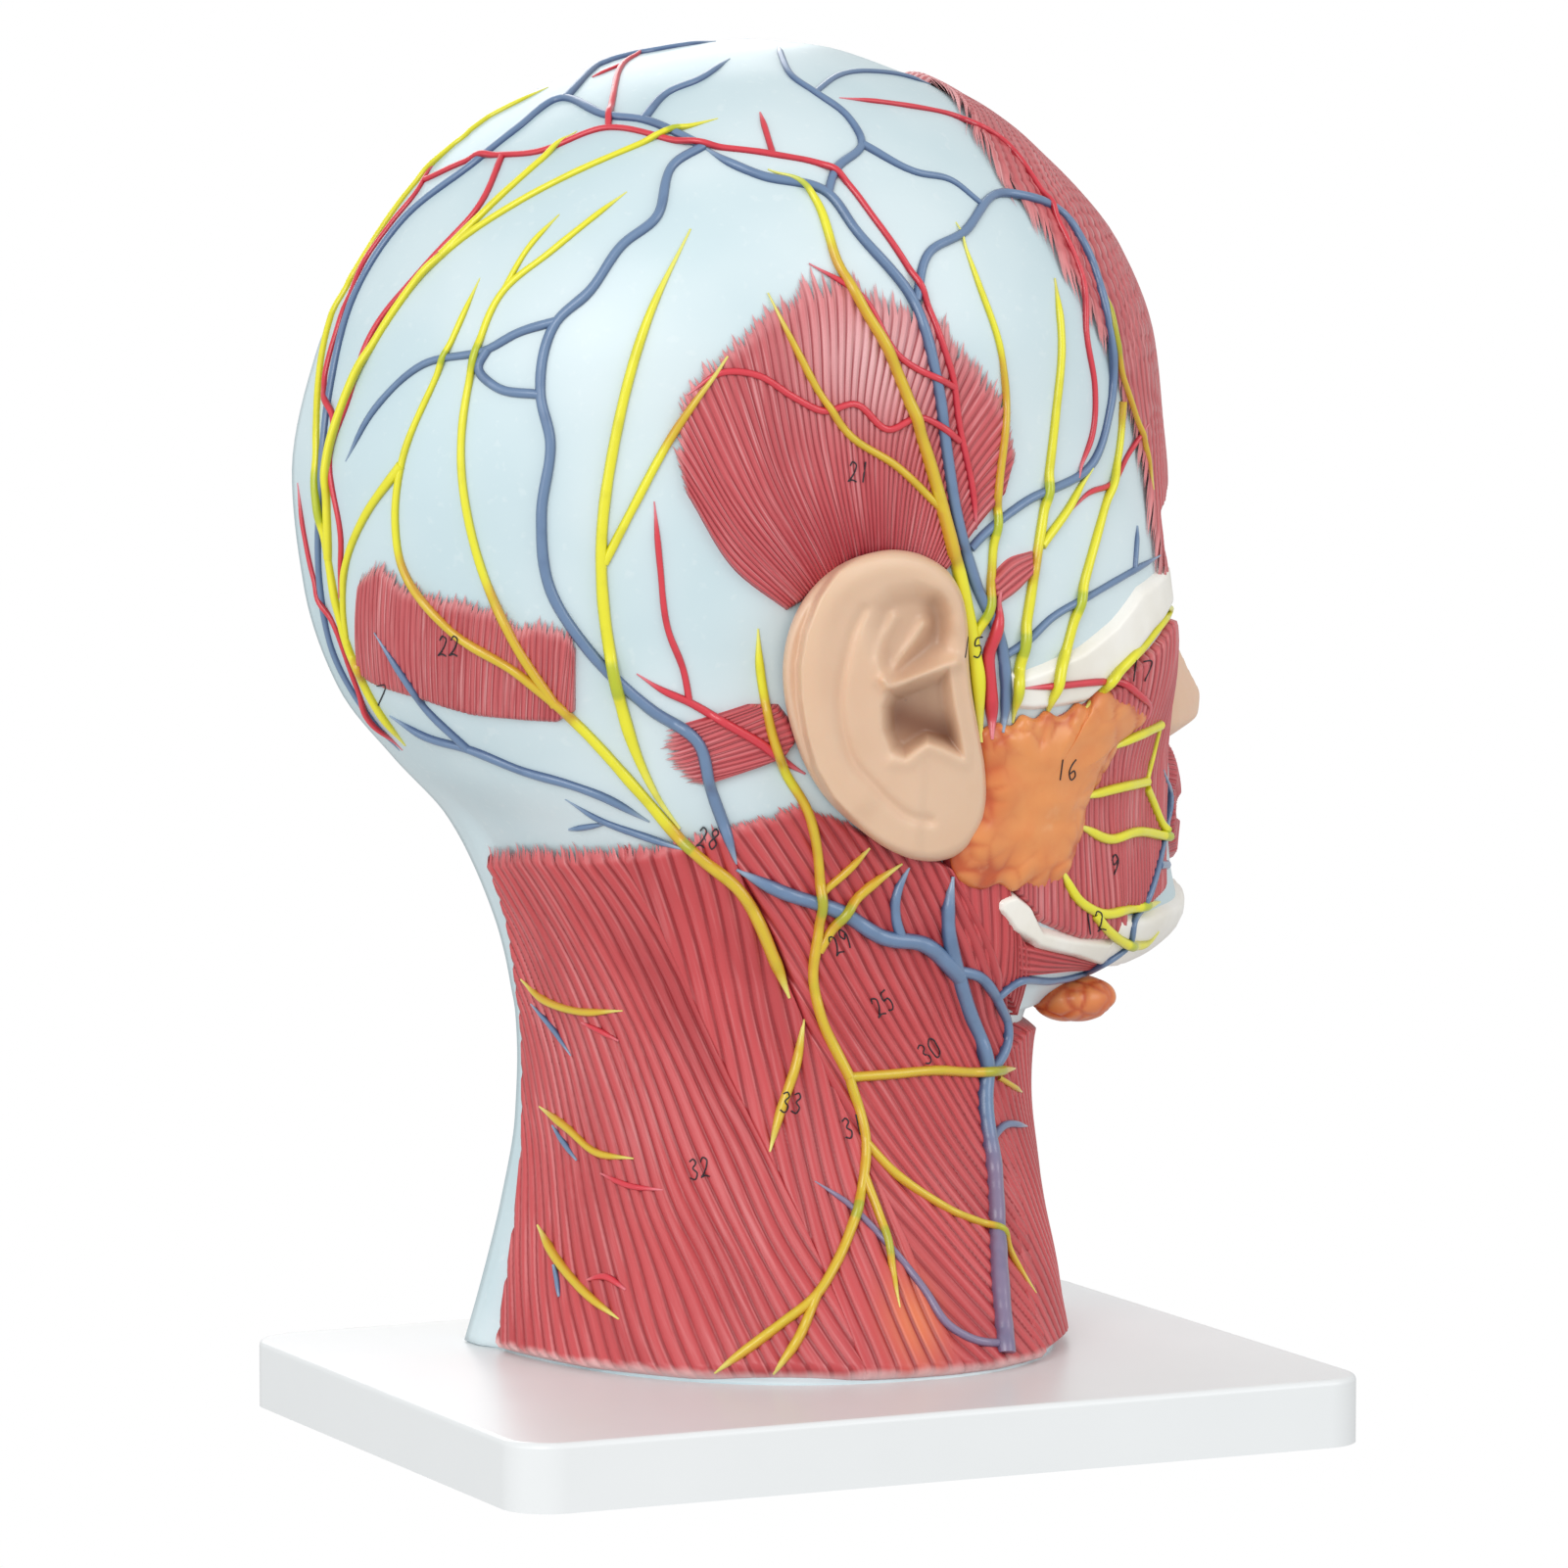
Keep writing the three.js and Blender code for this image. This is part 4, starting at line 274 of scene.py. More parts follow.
tray = block(base_low, base_high, base_corner, 14, base_edge, 5)
pocket_low = (base_low.x + base_rim, base_low.y + base_rim, base_low.z - base_wall)
pocket_high = (base_high.x - base_rim, base_high.y - base_rim, base_high.z - base_wall)
cut(tray, block(pocket_low, pocket_high, base_corner - base_rim, 10, 0, 0))
feet = [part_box(f"foot_{i}") for i in (1, 2, 3, 4)]
screws = [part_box(f"neck_screw_{i}") for i in (1, 2)]
for low, high in feet:
    x, y = middle_of(low, high)
    cut(tray, upright_cylinder(foot_post, x, y, base_low.z, base_high.z - base_wall / 2), "UNION")
    cut(tray, upright_cylinder((high.x - low.x) / 2 + foot_gap, x, y, -base_wall, high.z))
for low, high in screws:
    x, y = middle_of(low, high)
    cut(tray, upright_cylinder(boss, x, y, base_low.z + screw_head, base_high.z - base_wall / 2), "UNION")
    cut(tray, upright_cylinder(screw_bore, x, y, 0, base_high.z + base_wall))
creased(tray)

gloss_white = Paint("base_white")
dust = gloss_white.grain(35, 35, 4, on_strip=False)
piece(
    tray,
    "display_base",
    gloss_white.finished(
        Base_Color=gloss_white.mixed(dust, rgb(227, 230, 231), rgb(232, 235, 236)),
        Roughness=dust * 0.06 + 0.32,
        Coat_Weight=0.15,
        Coat_Roughness=0.3,
    ),
    "base_white",
    "base_tray",
)
tray.modifiers.new("flat_faces", "WEIGHTED_NORMAL").keep_sharp = True

# Rubber feet: four black rubber discs, soft and matt. Each is pressed into a post of the tray, so that the
# tray's rim stays off the table.
rubber_paint = Paint("foot_rubber").finished(Base_Color=rgb(38, 38, 39), Roughness=0.75)
for i, (low, high) in enumerate(feet, 1):
    foot = upright_cylinder((high.x - low.x) / 2, *middle_of(low, high), low.z, high.z)
    creased(foot)
    piece(foot, f"rubber_foot_{i}", rubber_paint, "foot_rubber", f"foot_{i}")

# Neck screws: pan head steel screws with a cross slot. They are driven up through the bosses of the tray
# into the neck plug and hold the head on its base.
slot_length = 5 * mm
slot_width = 1.1 * mm
slot_depth = 1.4 * mm
screw_radius = 2 * mm
screw_head_radius = 4 * mm
screw_head_height = 2.6 * mm
screw_head_round = 0.8 * mm
steel_paint = Paint("screw_steel").finished(Base_Color=rgb(190, 190, 192), Metallic=1, Roughness=0.3)
for i, (low, high) in enumerate(screws, 1):
    x, y = middle_of(low, high)
    screw = upright_cylinder(screw_head_radius, x, y, low.z, low.z + screw_head_height)
    screw.modifiers.new("soft", "BEVEL").width = screw_head_round
    settled(screw)
    cut(screw, upright_cylinder(screw_radius, x, y, low.z + screw_radius, high.z), "UNION")
    for long_x in (True, False):
        reach_x, reach_y = (slot_length, slot_width) if long_x else (slot_width, slot_length)
        slot_low = (x - reach_x / 2, y - reach_y / 2, low.z - slot_depth)
        slot_high = (x + reach_x / 2, y + reach_y / 2, low.z + slot_depth)
        cut(screw, block(slot_low, slot_high, 0, 1, 0, 1))
    creased(screw)
    piece(screw, f"pan_screw_{i}", steel_paint, "screw_steel", f"neck_screw_{i}")

# Neck plug: a cream block cast inside the bottom of the neck, which the screws bite. It is out of sight
# inside the shell, so the CAD piece itself is shown, painted.
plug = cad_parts["neck_plug"]
plug.data.materials.clear()
plug.data.materials.append(Paint("plug_cream").finished(Base_Color=rgb(217, 210, 196), Roughness=0.7))

# Skull and neck shell: a hollow vinyl casting, painted pale blue over the bone and lacquered. Its outer
# surface is a stack of rounded sections. Under the neck muscles it is sunk, except along the bare strip at
# the nape.
head_height = 274.3 * mm
head_length = 200 * mm
head_half_width = 75 * mm
shell_wall = 3.5 * mm
muscle_sink = 2.5 * mm
nape_strip = 6 * mm
sink_top_share = 0.45
sink_full_share = 0.36
# Each level's height, how far back and forward it reaches, its half width, where it is widest, and how full
# its back and its front are; lengths are shares of the head's height, length or half width
level_shares = np.array([
    [0, -0.285, 0.345, 1.16, 0.06, 2.3, 2.15],
    [0.047, -0.265, 0.345, 1.067, 0.05, 2.3, 2.15],
    [0.109, -0.242, 0.34, 0.947, 0.04, 2.3, 2.15],
    [0.171, -0.226, 0.34, 0.853, 0.03, 2.3, 2.1],
    [0.219, -0.223, 0.345, 0.813, 0.025, 2.3, 2.1],
    [0.252, -0.225, 0.37, 0.8, 0.02, 2.3, 2.0],
    [0.273, -0.23, 0.44, 0.8, 0.02, 2.3, 1.9],
    [0.292, -0.235, 0.5, 0.8, 0.02, 2.3, 2.0],
    [0.317, -0.244, 0.525, 0.813, 0.02, 2.3, 2.1],
    [0.365, -0.27, 0.515, 0.84, 0.015, 2.3, 2.25],
    [0.408, -0.303, 0.515, 0.867, 0.01, 2.3, 2.3],
    [0.456, -0.365, 0.505, 0.893, 0.005, 2.2, 2.4],
    [0.51, -0.425, 0.498, 0.927, 0, 2.1, 2.5],
    [0.587, -0.463, 0.495, 0.96, -0.02, 2.1, 2.6],
    [0.674, -0.476, 0.488, 0.98, -0.04, 2.1, 2.35],
    [0.766, -0.448, 0.475, 1, -0.04, 2.1, 2.3],
    [0.839, -0.393, 0.438, 0.953, -0.04, 2.1, 2.2],
    [0.9, -0.326, 0.368, 0.827, -0.03, 2.1, 2.1],
    [0.948, -0.238, 0.285, 0.653, -0.015, 2.05, 2.05],
    [0.977, -0.145, 0.2, 0.46, 0, 2, 2],
    [0.995, -0.04, 0.12, 0.227, 0.025, 2, 2],
    [1, 0.045, 0.045, 0, 0.045, 2, 2],
])
# Soft rises and hollows of the face: across and up as shares, how high and how wide
face_forms = [
    (0.375, 0.583, -8 * mm, 13 * mm),
    (0.62, 0.535, 2.5 * mm, 15 * mm),
    (0.58, 0.42, -3 * mm, 17 * mm),
    (0.1, 0.4, 3.5 * mm, 13 * mm),
    (0.1, 0.352, -2.5 * mm, 8 * mm),
    (0.12, 0.318, 3 * mm, 12 * mm),
    (0.25, 0.64, 2 * mm, 13 * mm),
]
shell_low, shell_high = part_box("skull_shell")
head_origin = np.array([shell_low.x + 0.476 * head_length, shell_high.y, shell_low.z])
last_level = len(level_shares) - 1
level_steps = np.diff(level_shares, axis=0)
with np.errstate(all="ignore"):
    gentle = 2 * level_steps[:-1] * level_steps[1:] / (level_steps[:-1] + level_steps[1:])
gentle = np.where(level_steps[:-1] * level_steps[1:] > 0, gentle, 0)
level_slopes = np.vstack([level_steps[:1], gentle, level_steps[-1:]])


def hermite(t, first, second, first_slope, second_slope):
    """A smooth curve from one value to the next one, whose slopes are given over the whole step."""
    return (
        (2 * t**3 - 3 * t**2 + 1) * first
        + (t**3 - 2 * t**2 + t) * first_slope
        + (3 * t**2 - 2 * t**3) * second
        + (t**3 - t**2) * second_slope
    )


def smoothstep(value, low, high):
    share = np.clip((value - low) / (high - low), 0, 1)
    return share * share * (3 - 2 * share)


def measures_at(levels):
    low = np.clip(np.floor(levels).astype(int), 0, last_level - 1)
    t = (levels - low)[:, None]
    return hermite(t, level_shares[low], level_shares[low + 1], level_slopes[low], level_slopes[low + 1])


def head_points(levels, angles):
    """The head's surface in its own place: levels up by angles round, from the face (0) to the nape."""
    height, back, front, width, widest, back_round, front_round = measures_at(levels).T[:, :, None]
    ahead = np.cos(angles) > 0
    power = 2 / np.where(ahead, front_round, back_round)
    reach = np.where(ahead, front - widest, widest - back)
    forward = widest + reach * np.sign(np.cos(angles)) * np.abs(np.cos(angles)) ** power
    across = -width * np.abs(np.sin(angles)) ** power
    grid = np.stack(np.broadcast_arrays(forward, across, height + 0 * forward), axis=-1)
    return grid * [head_length, head_half_width, head_height]


def grid_normals(grid):
    """Outward directions of a grid over the head."""
    normals = np.cross(np.gradient(grid, axis=0), np.gradient(grid, axis=1))
    normals[:, [0, -1], 1] = 0
    lengths = np.linalg.norm(normals, axis=-1, keepdims=True)
    return np.where(lengths > 1e-15, normals / np.maximum(lengths, 1e-15), [0, 0, 1])


def face_rise(points):
    rise = np.zeros(points.shape[:-1])
    for across, up, height, spread in face_forms:
        apart = (points[..., 1] + across * head_half_width) ** 2 + (points[..., 2] - up * head_height) ** 2
        rise += height * np.exp(-apart / spread**2)
    return np.where(points[..., 0] < head_length / 10, 0, rise)


def sink_at(points):
    """How far the shell is sunk under the neck muscles, at points of the head's own place."""
    up = points[..., 2] / head_height
    low = smoothstep(sink_top_share - up, 0, sink_top_share - sink_full_share)
    off_nape = np.where(points[..., 0] > 0, 1, smoothstep(-points[..., 1], nape_strip, 2 * nape_strip))
    face = (points[..., 0] > head_length / 4) & (up > 0.25)
    return np.where(face, 0, muscle_sink * low * off_nape)


def grid_faces(rows, columns, start=0, closed=False):
    """Four-sided faces over a grid of points that are numbered row by row."""
    span = columns if closed else columns - 1
    return [
        (
            start + r * columns + c,
            start + (r + 1) * columns + c,
            start + (r + 1) * columns + (c + 1) % columns,
            start + r * columns + (c + 1) % columns,
        )
        for r in range(rows - 1)
        for c in range(span)
    ]


def mesh_of(name, points, faces):
    mesh = bpy.data.meshes.new(name)
    mesh.from_pydata(np.asarray(points).tolist(), [], faces)
    mesh.update()
    return placed(name, mesh)


shell_rows = 176
shell_columns = 170
shell_levels = np.linspace(0, last_level, shell_rows)
shell_angles = np.linspace(0, math.pi, shell_columns)
nominal = head_points(shell_levels, shell_angles)
outward = grid_normals(nominal)
guide_grid = nominal + outward * face_rise(nominal)[..., None] + head_origin
shell_grid = guide_grid - outward * sink_at(nominal)[..., None]
shell_grid[..., 1] = np.minimum(shell_grid[..., 1], head_origin[1])
shell_grid[0, :, 2] = head_origin[2]
shell_faces = grid_faces(len(shell_levels), len(shell_angles))


def surface_of(*parts):
    """One surface for rays, from grids with their faces or from objects."""
    points, faces = [], []
    for part in parts:
        more, sides = part if isinstance(part, tuple) else (
            points_of(part),
            [tuple(p.vertices) for p in part.data.polygons],
        )
        faces += [tuple(i + len(points) for i in side) for side in sides]
        points += [tuple(p) for p in np.asarray(more).reshape(-1, 3)]
    return BVHTree.FromPolygons(points, faces)


guide = surface_of((guide_grid, shell_faces))
skull = mesh_of("skull", shell_grid.reshape(-1, 3), shell_faces)
wall = skull.modifiers.new("wall", "SOLIDIFY")
wall.thickness = shell_wall
wall.offset = -1

pale_blue = Paint("shell_blue")
cloud = pale_blue.grain(14, 14, 3, on_strip=False)
speck = pale_blue.grain(420, 420, 2, on_strip=False)
blue_wash = pale_blue.mixed(cloud.between(0.35, 0.68), rgb(196, 217, 223), rgb(214, 229, 233))
pale_blue.bumped(cloud * 4 + speck * 0.05, 0.6 * mm, 0.35)
piece(
    skull,
    "skull_and_neck",
    pale_blue.finished(
        Base_Color=pale_blue.mixed(speck.between(0.6, 0.75) * 0.18, blue_wash, rgb(232, 240, 241)),
        Roughness=cloud * 0.12 + 0.34,
        Specular_IOR_Level=0.35,
        Coat_Weight=0.16,
        Coat_Roughness=0.22,
    ),
    "shell_blue",
    "skull_shell",
)

# Temporalis: a fan of muscle on the side of the skull, moulded in relief with fine converging fibres. It is
# painted red by hand, so its upper edge ends in loose brush strokes, and it is darkest towards the ear.
muscle_proud = 1.5 * mm
neck_muscle_proud = 0.7 * mm
neck_axis = 12 * mm
neck_round = 60 * mm
muscle_root = 0.6 * mm
sight_span = (1.55, 2.15)
sight_step = 3 * mm
raised_guide = surface_of((guide_grid + outward * muscle_proud, shell_faces))


def picture_ray(pixel):
    across = (pixel[0] - picture_middle) / picture_focal
    up = (picture_middle - pixel[1]) / picture_focal
    return (sight + picture_right * across + picture_up * up).normalized()


def seen(pixel, surface):
    """The place on a surface that a point of the photograph shows; past its outline, the nearest to it."""
    ray = picture_ray(pixel)
    place = surface.ray_cast(camera_place, ray)[0]
    if place is not None:
        return place
    distances = np.arange(*sight_span, sight_step)
    hits = [surface.find_nearest(camera_place + ray * float(d)) for d in distances]
    return min(hits, key=lambda hit: hit[3])[0]


def facing(across_share, up_share):
    """A place on the front of the face, by its shares across from the median plane and up."""
    level = np.interp(up_share, measures_at(shell_levels)[:, 0], shell_levels)
    _, _, front, width, widest, _, front_round = measures_at(np.array([level]))[0]
    share = min(across_share / width, 0.999)
    forward = widest + (front - widest) * (1 - share**front_round) ** (1 / front_round)
    place = head_origin + [forward * head_length, -share * width * head_half_width, up_share * head_height]
    return Vector(place)


def turned(angle, up_share):
    """A place on the head by its turn from the front in degrees and its share up."""
    level = np.interp(up_share, measures_at(shell_levels)[:, 0], shell_levels)
    return Vector(head_points(np.array([level]), np.array([math.radians(angle)]))[0, 0] + head_origin)


def lengths_of(points):
    return np.concatenate([[0], np.cumsum(np.linalg.norm(np.diff(points, axis=0), axis=1))])


def smooth_line(points, at=None, step=None):
    """Places along the smooth line through some points, at given distances or a step apart. Past its ends
    the line runs straight on."""
    points = np.asarray(points, float)
    stops = lengths_of(points)
    if at is None:
        at = np.linspace(0, stops[-1], max(int(stops[-1] / step), 2) + 1)
    slopes = np.gradient(points, stops, axis=0)
    i = np.clip(np.searchsorted(stops, at) - 1, 0, len(points) - 2)
    span = (stops[i + 1] - stops[i])[:, None]
    t = np.clip((at - stops[i])[:, None] / span, 0, 1)
    line = hermite(t, points[i], points[i + 1], slopes[i] * span, slopes[i + 1] * span)
    beyond = np.clip(at, None, 0) + np.clip(at - stops[-1], 0, None)
    return line + beyond[:, None] * np.where((at < 0)[:, None], slopes[0], slopes[-1])


def even(points, count):
    """A straight-sided line's points, equally far apart."""
    points = np.asarray(points, float)
    stops = lengths_of(points)
    wanted = np.linspace(0, stops[-1], count)
    return np.stack([np.interp(wanted, stops, points[:, axis]) for axis in range(3)], axis=1)


def snapped(points, surface):
    """The nearest places of a surface and its directions there."""
    hits = [surface.find_nearest(Vector(p)) for p in points.reshape(-1, 3)]
    places = np.array([hit[0][:] for hit in hits]).reshape(points.shape)
    normals = np.array([hit[1][:] for hit in hits]).reshape(points.shape)
    return places, normals


def noises(*places, seed=0):
    """Soft noise from -1 to 1 at arrays of two or three coordinates."""
    across, along, up = np.broadcast_arrays(*places, 0.0)[:3]
    values = [noise.noise(Vector((a, b, c + seed))) for a, b, c in zip(across.flat, along.flat, up.flat)]
    return np.array(values).reshape(across.shape)


def closed_slab(name, upper, lower, closed=False):
    """A body between two grids of points."""
    rows, columns = upper.shape[:2]
    under = rows * columns
    top = grid_faces(rows, columns, 0, closed)
    bottom = [side[::-1] for side in grid_faces(rows, columns, under, closed)]
    if closed:
        edge = [(rows - 1) * columns + c for c in range(columns)]
    else:
        edge = list(range(columns)) + [r * columns + columns - 1 for r in range(1, rows)]
        edge += [(rows - 1) * columns + c for c in range(columns - 2, -1, -1)]
        edge += [r * columns for r in range(rows - 2, 0, -1)]
    sides = [(p, q, q + under, p + under) for p, q in zip(edge, edge[1:] + edge[:1])]
    points = np.concatenate([upper.reshape(-1, 3), lower.reshape(-1, 3)])
    made = mesh_of(name, points, top + bottom + sides)
    only(made)
    bpy.ops.object.mode_set(mode="EDIT")
    bpy.ops.mesh.select_all(action="SELECT")
    bpy.ops.mesh.normals_make_consistent(inside=False)
    bpy.ops.object.mode_set(mode="OBJECT")
    return made


def keep_values(obj, name, values):
    """Stores a value for each point, for the paint to read."""
    layer = obj.data.attributes.new(name, "FLOAT", "POINT")
    layer.data.foreach_set("value", np.asarray(values, np.float32).reshape(-1))


def keep_strip(obj, across, along):
    """Stores each point's place across and along its strip, in metres, as the surface's own coordinates."""
    layer = obj.data.uv_layers.new(name="strip")
    corners = np.empty(len(obj.data.loops), int)
    obj.data.loops.foreach_get("vertex_index", corners)
    flat = np.stack([across.reshape(-1), along.reshape(-1)], axis=1)
    layer.data.foreach_set("uv", np.tile(flat, (2, 1))[corners].astype(np.float32).reshape(-1))


edge_root = 0.5 * mm
fringe_coat = 0.2 * mm
fibre_wave = 26 * mm
bundle_wave = 60 * mm
foot_fade = 6 * mm


def laid_grid(rows, columns, lines, fringe, loose_shares):
    """A grid laid over rows of places or of points of the photograph: its places, how far each is along
    and across, and how far each column runs out past the first row."""
    stack = np.array([
        even([seen(p, raised_guide) if len(p) == 2 else Vector(p) for p in row], columns) for row in rows
    ])
    width = np.mean([lengths_of(row)[-1] for row in stack])
    across = np.linspace(0, width, columns)
    frayed = fringe * np.interp(across / width, np.linspace(0, 1, len(loose_shares)), loose_shares)
    grid = np.empty((lines, columns, 3))
    along = np.empty((lines, columns))
    for c in range(columns):
        along[:, c] = np.linspace(-frayed[c], lengths_of(stack[:, c])[-1], lines)
        grid[:, c] = smooth_line(stack[:, c], at=along[:, c])
    return grid, along, np.broadcast_to(across, along.shape), frayed


def fibres(run, length, strand_wide, seed):
    """The number of the strand that each place is on, and how strands and bundles stand up there."""
    across_bundle = run / (4 * strand_wide)
    strand = run / strand_wide + 0.4 * noises(across_bundle, length / fibre_wave, seed=seed)
    ridge_line = 1 - 2 * smoothstep(np.abs(strand - np.round(strand)), 0.28, 0.5)
    bundle = noises(across_bundle, length / bundle_wave, seed=seed + 9)
    return strand, 0.5 * ridge_line + 0.8 * bundle


def sheet(
    name, cast, rows, columns, lines, proud=muscle_proud, fringe=0, loose_shares=(1, 1),
    strand_wide=1.3 * mm, slope=None, slant=None, relief=0.35 * mm, shoulder=1.3 * mm, seed=1,
):
    """A muscle or bone moulded on the head, with its cast: its paint, slot and CAD node. Its rows run
    across the fibres and hold points of the photograph or places. Fringe is how far its first edge runs
    out thinly in single brush strokes, times the loose shares along that edge. With a slope, the fibres
    run slantwise round the neck instead, and with a slant they run nearly along the rows."""
    grid, along, wide, frayed = laid_grid(rows, columns, lines, fringe, loose_shares)
    places, normals = snapped(grid, guide)
    run, length = wide, along
    if slope is not None:
        x, y, z = np.moveaxis(places - head_origin - [neck_axis, 0, 0], -1, 0)
        run = slope * z - neck_round * np.arctan2(-y, x)
    if slant is not None:
        run, length = along + slant * wide, wide
    strand, fibre = fibres(run, length, strand_wide, seed)
    from_side = np.minimum(wide, wide[0, -1] - wide)
    from_start = along - along[0]
    from_end = along[-1] - along
    rise = np.minimum(smoothstep(from_side, 0, shoulder), smoothstep(from_end, 0, shoulder))
    start = smoothstep(from_start, frayed * 0.4, frayed * 1.2 + shoulder)
    if not fringe:
        rise = np.minimum(rise, start)
    sink = sink_at(places - head_origin)
    height = -sink - edge_root + rise * (proud + sink + edge_root + relief * fibre)
    if fringe:
        height = np.minimum(height, fringe_coat - sink + start * (proud + sink + relief))
    upper = places + normals * height[..., None]
    lower = places - normals * (sink + muscle_root * 2)[..., None]
    for layer in (upper, lower):
        layer[..., 2] = np.maximum(layer[..., 2], head_origin[2])
        layer[..., 1] = np.minimum(layer[..., 1], head_origin[1])
    made = closed_slab(name, upper, lower)
    fray = np.clip(1 - from_start / np.maximum(frayed * 1.6, mm / 100), 0, 1)
    kept = {
        "fray": fray if fringe else 0 * fray,
        "fibre": (fibre + 1) / 2,
        "strand": strand,
        "rim": rise,
        "foot": smoothstep(upper[..., 2] - head_origin[2], foot_fade, 0),
    }
    for value_name, values in kept.items():
        keep_values(made, value_name, np.tile(values, (2, 1)))
    keep_strip(made, run, length)
    return piece(made, name, *cast)


def near_spot(obj, name, pixel, wide, tall):
    """Stores a soft spot round a point of the photograph, for the paint."""
    off = points_of(obj) - np.array(seen(pixel, raised_guide))
    level = np.linalg.norm(off[:, :2], axis=1) / wide
    keep_values(obj, name, np.exp(-level ** 2 - (off[:, 2] / tall) ** 2))


def muscle_paint(name, main, dark, light, dry_brush_and_highlight=0.5, fine=1500):
    """Red laid over the cast in strokes along the fibres, with dark grooves between them, which are painted
    lines and painted shade together, and a painted highlight beside each groove; the low parts of the relief
    are painted darker as shade. A frayed edge thins out into single strokes."""
    paint = Paint(name)
    fibre = paint.attribute("fibre")
    fray = paint.attribute("fray")
    strand = paint.attribute("strand")
    streak = paint.grain(fine, 40, 4)
    broad = paint.grain(60, 14, 3)
    patch = paint.grain(150, 40, 3)
    stroke = paint.grain(1500, 20, 3)
    lock = paint.grain(320, 12, 2)
    wave = paint.node("ShaderNodeMath", {"operation": "COSINE"}, {0: strand * (2 * math.pi)})
    beside = paint.node("ShaderNodeMath", {"operation": "COSINE"}, {0: strand * (2 * math.pi) - 2.2})
    # Painted shade: darker where the relief lies low, full red on the ridges.
    red = paint.mixed(fibre.between(0.2, 0.7) * 0.5 + 0.5, dark, main)
    red = paint.mixed(broad.between(0.4, 0.7) * 0.35, red, dark)
    red = paint.mixed(paint.attribute("pale") * 0.7, red, rgb(238, 196, 198))
    red = paint.mixed(paint.attribute("deep") * 0.75, red, rgb(172, 40, 54))
    red = paint.mixed(streak.between(0.5, 0.72) * dry_brush_and_highlight * 0.7, red, light)
    red = paint.mixed(paint.attribute("haze") * 0.6, red, rgb(236, 136, 72))
    # Dark lines in the grooves between strands: painted lines and painted shade together.
    red = paint.mixed(wave.between(-0.45, -0.95) * patch.between(0.2, 0.55) * 0.85, red, dark)
    # Painted highlight: a thin pale line along one side of each groove.
    red = paint.mixed(beside.between(0.86, 1) * patch.between(0.42, 0.62) * dry_brush_and_highlight, red, light)
    bare_foot = (lock * 0.6 + paint.attribute("foot")).between(0.75, 1.25)
    red = paint.mixed(bare_foot * 0.8, red, rgb(238, 200, 198))
    red = paint.mixed(fray.between(0.1, 0.8) * 0.55, red, light)
    red = paint.mixed(paint.attribute("rim").between(0.3, 0.02) * 0.6, red, dark)
    paint.bumped(wave * 0.8 + streak * 0.5, 0.3 * mm, 0.6)
    cover = (stroke * 2 + lock * 0.9 - fray * 1.5 - 0.68).between(-0.08, 0.08)
    return paint.finished(
        Base_Color=red, Roughness=streak * 0.25 + 0.3, Coat_Weight=0.18, Coat_Roughness=0.25, Alpha=cover
    )


muscle_red = muscle_paint("muscle_red", rgb(204, 86, 92), rgb(152, 38, 48), rgb(236, 174, 176), 0.7)
temporalis_crown = [
    (704, 510), (695, 470), (702, 410), (740, 370), (790, 325), (830, 300), (870, 298), (905, 318),
    (950, 330), (985, 370), (1010, 400), (1028, 430), (1036, 470), (1026, 510),
]
temporalis_middle = [
    (752, 586), (758, 525), (795, 473), (838, 439), (881, 425), (924, 440), (962, 469), (989, 501),
    (1002, 540),
]
temporalis_root = [
    (806, 626), (823, 616), (843, 600), (861, 584), (880, 574), (899, 570), (919, 572), (943, 576),
    (966, 586),
]
temporalis = sheet(
    "temporalis_fan", (muscle_red, "muscle_red", "temporalis"),
    [temporalis_crown, temporalis_middle, temporalis_root], 300, 64, fringe=8 * mm,
    loose_shares=(0.3, 0.7, 0.8, 0.9, 1.3, 1.3, 1.1, 1, 0.7, 0.4), strand_wide=1.5 * mm, seed=3,
)
near_spot(temporalis, "pale", (895, 365), 17 * mm, 13 * mm)
near_spot(temporalis, "deep", (872, 562), 16 * mm, 9 * mm)

# Occipitalis: a flat square muscle on the back of the skull, moulded in low relief. Its fibres stand
# upright, and its top edge is painted out in ragged strokes.
occipitalis_top = [
    (362, 600), (385, 582), (408, 605), (452, 618), (500, 627), (530, 650), (545, 642), (580, 652),
    (588, 672),
]
occipitalis_foot = [(362, 688), (376, 701), (427, 718), (478, 734), (520, 739), (567, 742), (588, 729)]
pale_red = muscle_paint(
    "pale_muscle_red", rgb(206, 98, 102), rgb(162, 50, 58), rgb(238, 182, 182), 0.6, 900
)
occipitalis = sheet(
    "occipital_belly", (pale_red, "muscle_red", "occipitalis"), [occipitalis_top, occipitalis_foot], 150,
    36, fringe=5 * mm, seed=5,
)

# Auricularis posterior and anterior: two small muscles moulded on the skull, which run to the ear from
# behind and from the front.
auricular_back = [(694, 741), (688, 760), (692, 778), (709, 796), (727, 803)]
auricular_front = [(765, 720), (798, 720), (812, 738), (818, 756), (806, 772), (784, 780)]
posterior = sheet(
    "ear_muscle_back", (muscle_red, "muscle_red", "auricularis_posterior"),
    [auricular_back, auricular_front], 44, 40, fringe=5 * mm, seed=7,
)
auricular_tip = [(1057, 561), (1058, 588)]
auricular_belly = [(1032, 569), (1044, 606)]
auricular_root = [(1012, 590), (1018, 624)]
anterior = sheet(
    "ear_muscle_front", (pale_red, "muscle_red", "auricularis_anterior"),
    [auricular_tip, auricular_belly, auricular_root], 40, 30, fringe=mm, seed=8,
)

